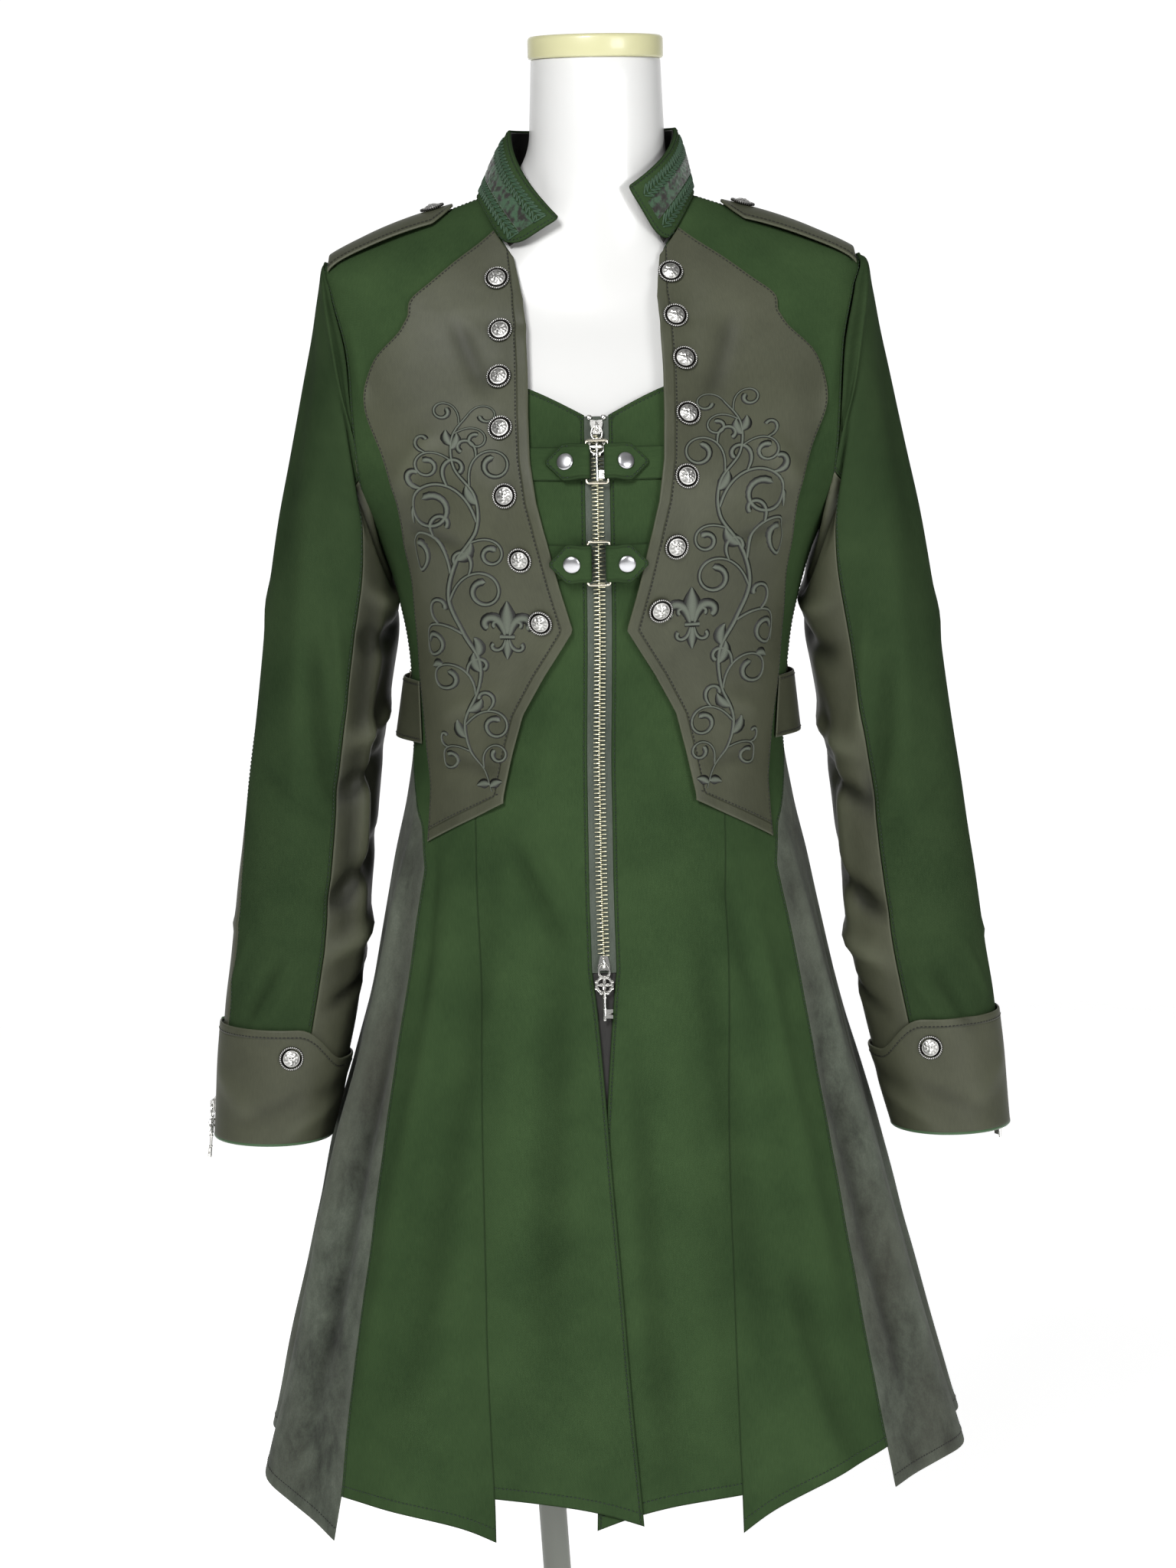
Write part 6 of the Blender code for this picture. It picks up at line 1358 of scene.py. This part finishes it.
def buttonShape():
    # Height over the disc: a rope-twist rim, a dark groove, and a domed medallion with a lion's head made of soft
    # bells inside a mane of uneven locks and a thin raised edge.
    radius = np.array(buttons["radii"])[:, None]
    turn = np.linspace(0, 2 * math.pi, buttons["around"], endpoint=False)[None, :]
    edge = buttons["medallion"]
    rim = np.sqrt(np.clip(1 - ((radius - buttons["rimMiddle"]) / buttons["rimHalf"]) ** 2, 0, 1))
    rope = 0.36 * np.cos(buttons["rope"] * turn + 2.6 * (radius - buttons["rimMiddle"])) * rim
    dome = 1.6 + 1.8 * np.clip(1 - (radius / edge) ** 2, 0, 1)
    share = radius / edge
    x, y = share * np.cos(turn), share * np.sin(turn)
    lion = sum(rise * np.exp(-((x - cx) / w) ** 2 - ((y - cy) / h) ** 2) for cx, cy, w, h, rise in lionBells)
    mane = blend(0.46, 0.58, share) * blend(0.88, 0.76, share)
    lion = lion + mane * (0.16 + 0.16 * np.cos(9 * turn + 6 * share + 1.3 * np.sin(2 * turn + 1)))
    lion = lion + 0.34 * np.exp(-((share - 0.93) / 0.045) ** 2)
    high = np.where(radius < edge, dome + lion, 0.45 + 1.5 * rim + rope)
    recess = np.where(radius < edge, np.clip(0.6 - lion, 0, 0.85), np.clip(1.15 - rim * 0.6 - rope * 1.3, 0, 1.1))
    recess = np.where((radius > edge) & (radius < buttons["groove"]), 1.9, recess)
    high[-2], high[-1] = 0.35, 0.0
    points = np.stack([radius * np.cos(turn), radius * np.sin(turn), high], axis=-1)
    recess[0] = recess[0].mean()
    points[0] = points[0].mean(axis=0)
    rows, columns = points.shape[:2]
    flat = np.concatenate([points[:1, 0], points[1:].reshape(-1, 3), [(0, 0, 0.0)]]) * buttons["scale"] * mm
    quads = gridQuads(rows - 1, columns, closed=True) + 1
    k = np.arange(columns)
    last = 1 + (rows - 2) * columns
    tris = np.concatenate([np.stack([0 * k, 1 + k, 1 + (k + 1) % columns], axis=1),
                           np.stack([last + (k + 1) % columns, last + k, 0 * k + len(flat) - 1], axis=1)])
    return (flat, quads, tris), np.concatenate([[recess[0, 0]], recess[1:].ravel(), [1.0]])


def nodePlace(node, upward):    # a round CAD node's place: its axis is the direction of its points' least spread
    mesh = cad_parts[node].data
    points = np.empty(len(mesh.vertices) * 3)
    mesh.vertices.foreach_get("co", points)
    points = np.unique(points.reshape(-1, 3).round(6), axis=0)
    middle = points.mean(axis=0)
    axis = np.linalg.eigh(np.cov((points - middle).T))[1][:, 0]
    heights = (points - middle) @ axis
    if heights.max() < -heights.min():      # the dome's crown is further from the middle than its flat side
        axis = -axis
        heights = -heights
    across = np.cross(upward, axis)
    return middle + axis * heights.min(), across, np.cross(axis, across)


def addButtons():
    shape, recess = buttonShape()
    names = [f"button_{n}_{k}" for n in sideNames.values() for k in range(1, 8)]
    names += [f"button_{part}_{n}" for part in ("tab", "cuff") for n in sideNames.values()]
    for name in names:
        up = (0, 0, 1)
        if "tab" in name:
            up = (-1, 0, 0) if "right" in name else (1, 0, 0)
        origin, across, upright = nodePlace(name, up)
        mesh = makeMesh(name + "_cast", *moved(shape, origin, across, upright))
        setAttribute(mesh, "recess", recess)
        addPiece(name + "_cast", mesh, "antiqueSilver", [name])


addButtons()
print("buttons are cast")


# Embroidery on the overlays

embroidery = {"stretch": 1.12, "samples": 42, "stemSamples": 200, "high": 0.9, "floor": 0.32, "widen": 1.4,
              "cross": [-1.6, -1.0, -0.78, -0.42, 0.0, 0.42, 0.78, 1.0, 1.6]}
vineStem = np.array([   # x, z and half width in mm, from the lower front corner up
    (77, 976, 0.25), (82, 990, 0.45), (93, 1006, 0.6), (97, 1028, 0.75), (88, 1052, 0.85), (86, 1080, 0.95),
    (98, 1104, 1.0), (108, 1130, 1.0), (102, 1158, 1.0), (87, 1182, 0.9), (88, 1208, 0.8), (103, 1230, 0.75),
    (104, 1254, 0.65), (92, 1274, 0.5)])
vineStrokes = [
    # parent (0 is the stem), share of the way along it, launch and turn in degrees, power, then in mm the length, the
    # half widths and the leaf
    (0, 0.09, 30, 430, 1.8, 50, 0.50, 1.10, 0), (0, 0.15, -40, -440, 1.8, 54, 0.50, 1.10, 0),
    (0, 0.22, 36, 460, 1.75, 74, 0.60, 1.25, 0), (0, 0.30, -24, -440, 1.75, 84, 0.60, 1.30, 0),
    (0, 0.455, -30, -480, 1.7, 92, 0.70, 1.40, 0), (0, 0.53, 28, 450, 1.7, 90, 0.65, 1.35, 0),
    (0, 0.585, -22, -470, 1.65, 112, 0.75, 1.45, 0), (0, 0.66, 30, 440, 1.75, 58, 0.60, 1.25, 0),
    (0, 0.705, -26, -480, 1.65, 128, 0.75, 1.45, 0), (0, 0.79, 30, 460, 1.7, 84, 0.60, 1.30, 0),
    (0, 0.86, -40, -440, 1.75, 60, 0.55, 1.25, 0), (0, 0.93, 34, 430, 1.8, 52, 0.50, 1.10, 0),
    (0, 0.96, -34, -420, 1.8, 50, 0.50, 1.10, 0), (0, 0.995, 0, 330, 1.6, 40, 0.45, 1.05, 0),
    # hooks off the volutes
    (7, 0.26, 40, 250, 1.8, 30, 0.45, 1.0, 0.4), (9, 0.26, 40, 270, 1.8, 36, 0.45, 1.0, 0.4),
    (9, 0.40, 38, 220, 1.6, 22, 0.40, 0.9, 0.8), (5, 0.20, 40, 260, 1.8, 32, 0.45, 1.05, 0.3),
    (6, 0.26, -40, -260, 1.8, 30, 0.45, 1.05, 0.3), (10, 0.26, -38, -260, 1.8, 28, 0.45, 1.05, 0.3),
    (4, 0.22, 38, 250, 1.8, 28, 0.45, 0.95, 0.3), (3, 0.26, -38, -250, 1.8, 26, 0.45, 0.95, 0.3),
    (2, 0.30, 38, 240, 1.8, 18, 0.40, 0.85, 0.3), (11, 0.30, 38, 240, 1.8, 22, 0.40, 0.9, 0.3),
    # leaves
    (0, 0.19, -40, 60, 1.2, 14, 0.3, 0.2, 1.5), (0, 0.26, 40, -50, 1.2, 14, 0.3, 0.2, 1.5),
    (0, 0.36, -40, 50, 1.2, 16, 0.3, 0.2, 1.7), (0, 0.40, 40, -60, 1.2, 15, 0.3, 0.2, 1.6),
    (0, 0.62, 40, -60, 1.2, 16, 0.3, 0.2, 1.7), (0, 0.75, -40, 50, 1.2, 15, 0.3, 0.2, 1.7),
    (0, 0.89, 40, -50, 1.2, 13, 0.3, 0.2, 1.5), (0, 0.90, -42, 50, 1.2, 12, 0.3, 0.2, 1.4),
    (7, 0.52, 36, -60, 1.2, 12, 0.3, 0.2, 1.4), (9, 0.52, 36, -60, 1.2, 12, 0.3, 0.2, 1.4),
    (5, 0.44, 36, -60, 1.2, 11, 0.3, 0.2, 1.3), (4, 0.44, 36, -60, 1.2, 10, 0.3, 0.2, 1.3),
    (0, 0.02, 60, 50, 1.2, 9, 0.3, 0.2, 1.1), (0, 0.03, -60, -50, 1.2, 9, 0.3, 0.2, 1.1)]
lilyStrokes = [     # the heraldic lily: x, z, heading, turn, power, length, half widths, leaf
    (66, 1104, 90, 0, 1, 26, 0.35, 0.20, 2.4), (66, 1100, -90, 0, 1, 17, 0.40, 0.20, 1.3),
    (60.5, 1102, 0, 0, 1, 11, 0.95, 0.95, 0), (64.4, 1103, 100, 250, 2.2, 31, 0.60, 1.30, 1.1),
    (67.6, 1103, 80, -250, 2.2, 31, 0.60, 1.30, 1.1), (63.6, 1106, 95, 250, 2.2, 17, 0.45, 0.90, 0.3),
    (68.4, 1106, 85, -250, 2.2, 17, 0.45, 0.90, 0.3), (64.6, 1100, -100, -240, 2.2, 20, 0.45, 0.95, 0.3),
    (67.4, 1100, -80, 240, 2.2, 20, 0.45, 0.95, 0.3)]


def strokeLine(x, z, heading, turn, power, length, first, last, leaf):
    # The heading turns by the turn times the power of the way along, so a stroke curls up towards its end
    t = np.linspace(0, 1, embroidery["samples"])
    angle = heading + np.radians(turn) * t ** power
    step = length / (len(t) - 1)
    x = x + np.append(0, np.cumsum((np.cos(angle[1:]) + np.cos(angle[:-1])) / 2 * step))
    z = z + np.append(0, np.cumsum((np.sin(angle[1:]) + np.sin(angle[:-1])) / 2 * step))
    ends = np.sqrt(np.clip(t / 0.03, 0, 1)) * np.sqrt(np.clip((1 - t) / 0.03, 0, 1))
    wide = (first + (1.2 * last - first) * t ** 4 + 1.3 * leaf * np.sin(math.pi * t ** 0.8)) * ends + 0.02
    return np.stack([x, z, angle, wide], axis=1)


def vineLines():
    count = embroidery["stemSamples"]
    knots = np.column_stack([np.arange(len(vineStem)), vineStem])
    at = np.linspace(0, len(vineStem) - 1.001, count)
    x, z, wide = [readTable(knots, k, at) for k in (1, 2, 3)]
    lines = [np.stack([x, z, np.unwrap(np.arctan2(np.gradient(z), np.gradient(x))), wide], axis=1)]
    for parent, share, launch, *rest in vineStrokes:
        line = lines[parent]
        x, z, heading = follow(share, np.linspace(0, 1, len(line)), line)[:3]
        rest[2] *= embroidery["stretch"]
        lines.append(strokeLine(x, z, heading + math.radians(launch), *rest))
    for x, z, heading, *rest in lilyStrokes:
        lines.append(strokeLine(x, z, math.radians(heading), *rest))
    return lines


def embroider(side, lines):
    # Each line is a raised cord: a half-round crown over the cloth, closed by an edge under the cloth's face
    cross = np.array(embroidery["cross"])
    crown = np.sqrt(np.clip(1 - cross ** 2, 0, 1))
    shapes, rises, maps = [], [], []
    def keep(x, z):     # within 9 mm of the overlay's side edge a stroke is drawn in, by a hyperbolic tangent
        seam = np.radians(np.interp(z, overlayEdges[:, 0], overlayEdges[:, 2]))
        edge, soft = readTable(bodyRings, 1, z) * np.sin(seam) - 9 * mm, 14 * mm
        over = (x - edge) / soft + 1
        return np.where(over > 0, edge - soft + soft * np.tanh(over), x)
    for line in lines:
        x, z, angle, wide = [line[:, k][:, None] for k in range(4)]
        x, z, wide = x * mm, z * mm, wide * mm * embroidery["widen"]
        if side < 0:
            z = z - 0.008 * blend(1.02, 1.12, z)
        high = embroidery["high"] * mm * np.minimum(1.0, wide / (0.8 * mm)) ** 0.6 * crown
        shiftedZ = z + np.cos(angle) * wide * cross
        # Past the crown a flat rim at the cloth's face carries painted shade: the dark outline round each cord
        foot = np.where(np.abs(cross) > 1, -0.02, 0.08) * mm
        top = onOverlay(side, keep(x - np.sin(angle) * wide * cross, shiftedZ), shiftedZ, high + foot)
        low = onOverlay(side, keep(x, z), z, 0 * x - embroidery["floor"] * mm)
        points = np.concatenate([top, low], axis=1)
        samples, sides = points.shape[:2]
        k = np.arange(1, sides - 1)
        fan = np.concatenate([np.stack([0 * k, k + 1, k], axis=1),
                              np.stack([0 * k, k, k + 1], axis=1) + (samples - 1) * sides])
        shapes.append((points.reshape(-1, 3), gridQuads(samples, sides, closed=True), fan))
        # The rise paints a highlight on the crown and shade on the flanks and the rim
        rises.append(np.tile(np.append(crown ** 2, 0), samples))
        run = np.append(0, np.cumsum(np.hypot(np.diff(x[:, 0]), np.diff(z[:, 0]))))
        maps.append(np.stack([np.repeat(run, sides), np.tile(np.append(cross, 0) * mm, samples)]))
    mesh = makeMesh(f"embroidery_{sideNames[side]}", *gather(shapes))
    setAttribute(mesh, "rise", np.concatenate(rises))
    setMap(mesh, *np.concatenate(maps, axis=1))
    addPiece(mesh.name, mesh, "embroideryThread")


vine = vineLines()
for side in sideNames:
    embroider(side, vine)
print("overlays are embroidered:", len(vine), "strokes each")


# Braid and brocade band on the collar, piping on the cuffs

braid = {"pitch": 3.4, "slant": 1.3, "reach": 5.0, "radius": 0.68, "perLoop": 12, "sides": 5, "rows": (0.235, 0.77),
         "end": 0.968, "bandMiddle": 0.508, "bandHalf": 0.150, "flowers": 15.2}


def braidRow(height, name):
    # Gimp braid: on each side of the row a cord runs in narrow loops, offset = reach times (1 - cosine) / 2 and
    # along = pitch times (t less the slant times the same share), so the loops lean and meet in chevrons.
    length = runs(collarPoint(np.linspace(-braid["end"], braid["end"], 200), np.full(200, height), 0.0), 0)[-1]
    tall = np.linalg.norm(collarPoint(0.9, 1.0, 0.0) - collarPoint(0.9, 0.0, 0.0))
    loops = int(length / (braid["pitch"] * mm))
    t = np.arange(loops * braid["perLoop"]) / braid["perLoop"]
    shapes = []
    for way in (-1, 1):
        at = (t - braid["slant"] * (1 - np.cos(2 * math.pi * t)) / 2) / loops
        along = -braid["end"] + 2 * braid["end"] * np.clip(at, 0, 1)
        offset = way * (0.25 + braid["reach"] * (1 - np.cos(2 * math.pi * t)) / 2) * mm / tall
        lift = (collars["thick"] + 0.35 + 0.28 * np.sin(2 * math.pi * t + way)) * mm
        path = collarPoint(along, height + offset, lift)
        facing = collarPoint(along, height + offset, lift + mm) - path
        shapes.append(tubeAlong(path, braid["radius"] * mm, braid["sides"], facing))
    points, quads, tris = gather(shapes)
    mesh = makeMesh(name, points, quads, tris, outward=False)
    # Painted highlight on each cord's outer side and painted shade on its side towards the collar
    ring = np.clip(0.5 + 0.5 * np.sin(2 * math.pi * (np.arange(braid["sides"]) + 0.5) / braid["sides"]), 0, 1)
    each = np.concatenate([np.tile(ring, len(t)), [0.5, 0.5]])
    setAttribute(mesh, "rise", np.tile(each, 2))
    addPiece(name, mesh, "gimpCord")


def brocadeBand():
    # Woven band between the braids: five-petalled flowers and leaf curls stand up from a dark ground
    def surface(across, up, lift):
        s, v = (across * 2 - 1) * braid["flowers"], (up * 2 - 1) * 1.15
        cell = (s - np.round(s)) * 2.2
        radius, turn = np.hypot(cell, v), np.arctan2(v, cell)
        flower = blend(0.12, -0.10, radius - 0.55 - 0.25 * np.cos(5 * turn)) * blend(0.10, 0.22, radius)
        curl = blend(0.25, 0.6, np.sin(9 * cell + 4 * v) * np.cos(7 * v)) * blend(0.75, 0.95, radius)
        raised = np.maximum(flower, curl) * (lift > 0.6 * mm)
        return collarPoint((across * 2 - 1) * braid["end"], braid["bandMiddle"] + (up * 2 - 1) * braid["bandHalf"],
                           collars["thick"] * mm + lift - 0.15 * mm + raised * 0.5 * mm)
    sewPanel("brocadeBand", surface, 0.8 * mm, "brocadeWeave", [],
             step=1.1 * mm)


brocadeBand()
for height, name in zip(braid["rows"], ("lowerBraid", "upperBraid")):
    braidRow(height, name)


def cuffPiping(side):
    hand = sideNames[side]
    panel = panels[f"cuffCloth_{hand}"]
    share = np.linspace(0.001, 0.999, 150)
    middle = sleeves["cuffThick"] / 2 * mm
    bottom = panel["surface"](share, 0 * share - 0.004, 0 * share + middle)
    shapes = [tubeAlong(bottom, 1.25 * mm, 8, (0, 0, 1))]
    for across in (0.0, 1.0):
        rise = np.linspace(0, 1, 50)
        path = panel["surface"](0 * rise + across, rise, 0 * rise + middle)
        facing = panel["surface"](0 * rise + across, rise, 0 * rise + middle + mm) - path
        shapes.append(tubeAlong(path, 0.95 * mm, 8, facing))
    points, quads, tris = gather(shapes)
    mesh = makeMesh(f"cuffPiping_{hand}", points, quads, tris)
    setAttribute(mesh, "rise", np.ones(len(points)) * 0.7)
    addPiece(f"cuffPiping_{hand}", mesh, "greenPiping")


for side in sideNames:
    cuffPiping(side)
print("braid, brocade and piping are sewn on")


# Stitches

def buildStitches():
    for thread, rows in stitchStore.items():
        points = np.concatenate(rows)
        count, k = len(points), np.arange(4)
        n = (k + 1) % 4
        quads = np.stack([2 + k, 2 + n, 6 + n, 6 + k], axis=1)
        tris = np.concatenate([np.stack([0 * k, 2 + n, 2 + k], axis=1), np.stack([0 * k + 1, 6 + k, 6 + n], axis=1)])
        mesh = makeMesh(thread + "_stitches", points, *copiedFaces(quads, tris, count, 10), outward=False)
        # The rise paints a highlight on each stitch's top and shade on its sunk underside
        setAttribute(mesh, "rise", np.tile([0.3, 0.3, 0.5, 1, 0.5, 0, 0.5, 1, 0.5, 0], count))
        addPiece(thread + "_stitches", mesh, thread)
        print(thread, count, "stitches")


buildStitches()


# Dress form and its stand

form = {"bottom": 0.800, "sideLimit": 0.1660, "neckRadius": 0.0503, "neckTopRadius": 0.0484, "neckX": 0.0033,
        "neckStraight": 1.4640, "neckTop": 1.5134, "capRadius": 0.0505, "capHeight": 0.0170, "columns": 120,
        "chestRows": (60, 90)}
formInset = np.array([  # level, how far the form lies inside the coat's surface
    (0.800, 0.0270), (0.860, 0.0190), (0.915, 0.0110), (0.960, 0.0060), (1.005, 0.0050), (1.066, 0.0040),
    (1.100, 0.0035), (1.411, 0.0035)])
stand = {"baseRadius": 0.160, "baseX": -0.028, "topX": -0.0715, "columnRadius": 0.0108}


def formTorso():
    levels = np.concatenate([np.linspace(form["bottom"], 1.05, 26), np.linspace(1.06, neckLevel, 52)])[:, None]
    turn = np.linspace(0, 2 * math.pi, form["columns"], endpoint=False)[None, :]
    inset = np.interp(levels, formInset[:, 0], formInset[:, 1])
    body = lifted(turn, levels, -inset)
    body[..., 0] = np.clip(body[..., 0], -form["sideLimit"], form["sideLimit"])
    body[0, :, 2] = form["bottom"]
    neckBase = body[-1]
    def neckRing(radius, level):
        return np.stack([form["neckX"] + radius * np.sin(turn[0]), -radius * np.cos(turn[0]), 0 * turn[0] + level],
                        axis=-1)
    straight = neckRing(form["neckRadius"], form["neckStraight"])
    rows = [body]
    for share in np.linspace(0.06, 1.0, 18):
        ring = neckBase + (straight - neckBase) * (1 - (1 - share) ** 2.4)
        ring[:, 2] = neckBase[:, 2] + (form["neckStraight"] - neckBase[:, 2]) * share
        rows.append(ring[None])
    for share in (0.33, 0.66, 0.97, 1.0):
        radius = between(form["neckRadius"], form["neckTopRadius"], share)
        bevel = 0.4 * mm if share == 1.0 else 0
        level = between(form["neckStraight"], form["neckTop"], share)
        rows.append(neckRing(radius - bevel, level)[None])
    grid = np.concatenate(rows)
    first, last = form["chestRows"]
    share = blend(0.66, 0.88, np.cos(turn[0]))[None, :, None] * 0.5
    for _ in range(40):     # in front the chest flows into the neck: each ring moves to its neighbours' mean
        grid[first:last] += share * ((grid[first - 1:last - 1] + grid[first + 1:last + 1]) / 2 - grid[first:last])
    mesh = makeMesh("formTorso", *closedRows(grid, [grid[0].mean(axis=0), grid[-1].mean(axis=0)]))
    mesh.set_sharp_from_angle(angle=math.radians(50))
    addPiece("formTorso", mesh, "glossWhite", ["form_torso"])


def formFittings():
    low = form["neckTop"] + 0.3 * mm
    high, radius = low + form["capHeight"], form["capRadius"]
    profile = [(radius * 0.6, low), (radius - 0.002, low), (radius - 0.0006, low + 0.0006), (radius, low + 0.002),
               (radius, high - 0.003)] + arc(radius - 0.003, high - 0.003, 0.003, [20, 45, 70, 90])
    profile += [(radius * 0.8, high), (radius * 0.3, high)]
    points, quads, tris = turnedShape(profile, 96)
    mesh = makeMesh("formCap", points + np.array([form["neckX"], 0, 0]), quads, tris)
    mesh.set_sharp_from_angle(angle=math.radians(50))
    addPiece("formCap", mesh, "glossYellow", ["form_cap"])
    radius = stand["baseRadius"]
    base = [(radius - 0.003, 0.0), (radius, 0.0012), (radius, 0.0100)]
    base += arc(radius - 0.004, 0.010, 0.004, [20, 45, 70, 90])
    base += [(0.09, 0.0150), (0.030, 0.0157), (0.0205, 0.0162), (0.0196, 0.0180), (0.0180, 0.0285), (0.0160, 0.0300),
             (0.0115, 0.0300)]
    points, quads, tris = turnedShape(base, 96)
    plate = (points + np.array([stand["baseX"], 0, 0]), quads, tris)
    foot, head = np.array([stand["baseX"], 0, 0.007]), np.array([stand["topX"], 0, 0.7994])
    share = np.linspace(0, 1, 30)[:, None]
    pole = tubeAlong(between(foot, head, share), stand["columnRadius"], 32, (0, 1, 0))
    mesh = makeMesh("formStand", *gather([plate, pole]))
    mesh.set_sharp_from_angle(angle=math.radians(40))
    addPiece("formStand", mesh, "greyPowderCoat", ["form_stand"])


formTorso()
formFittings()
print("form and stand are set")
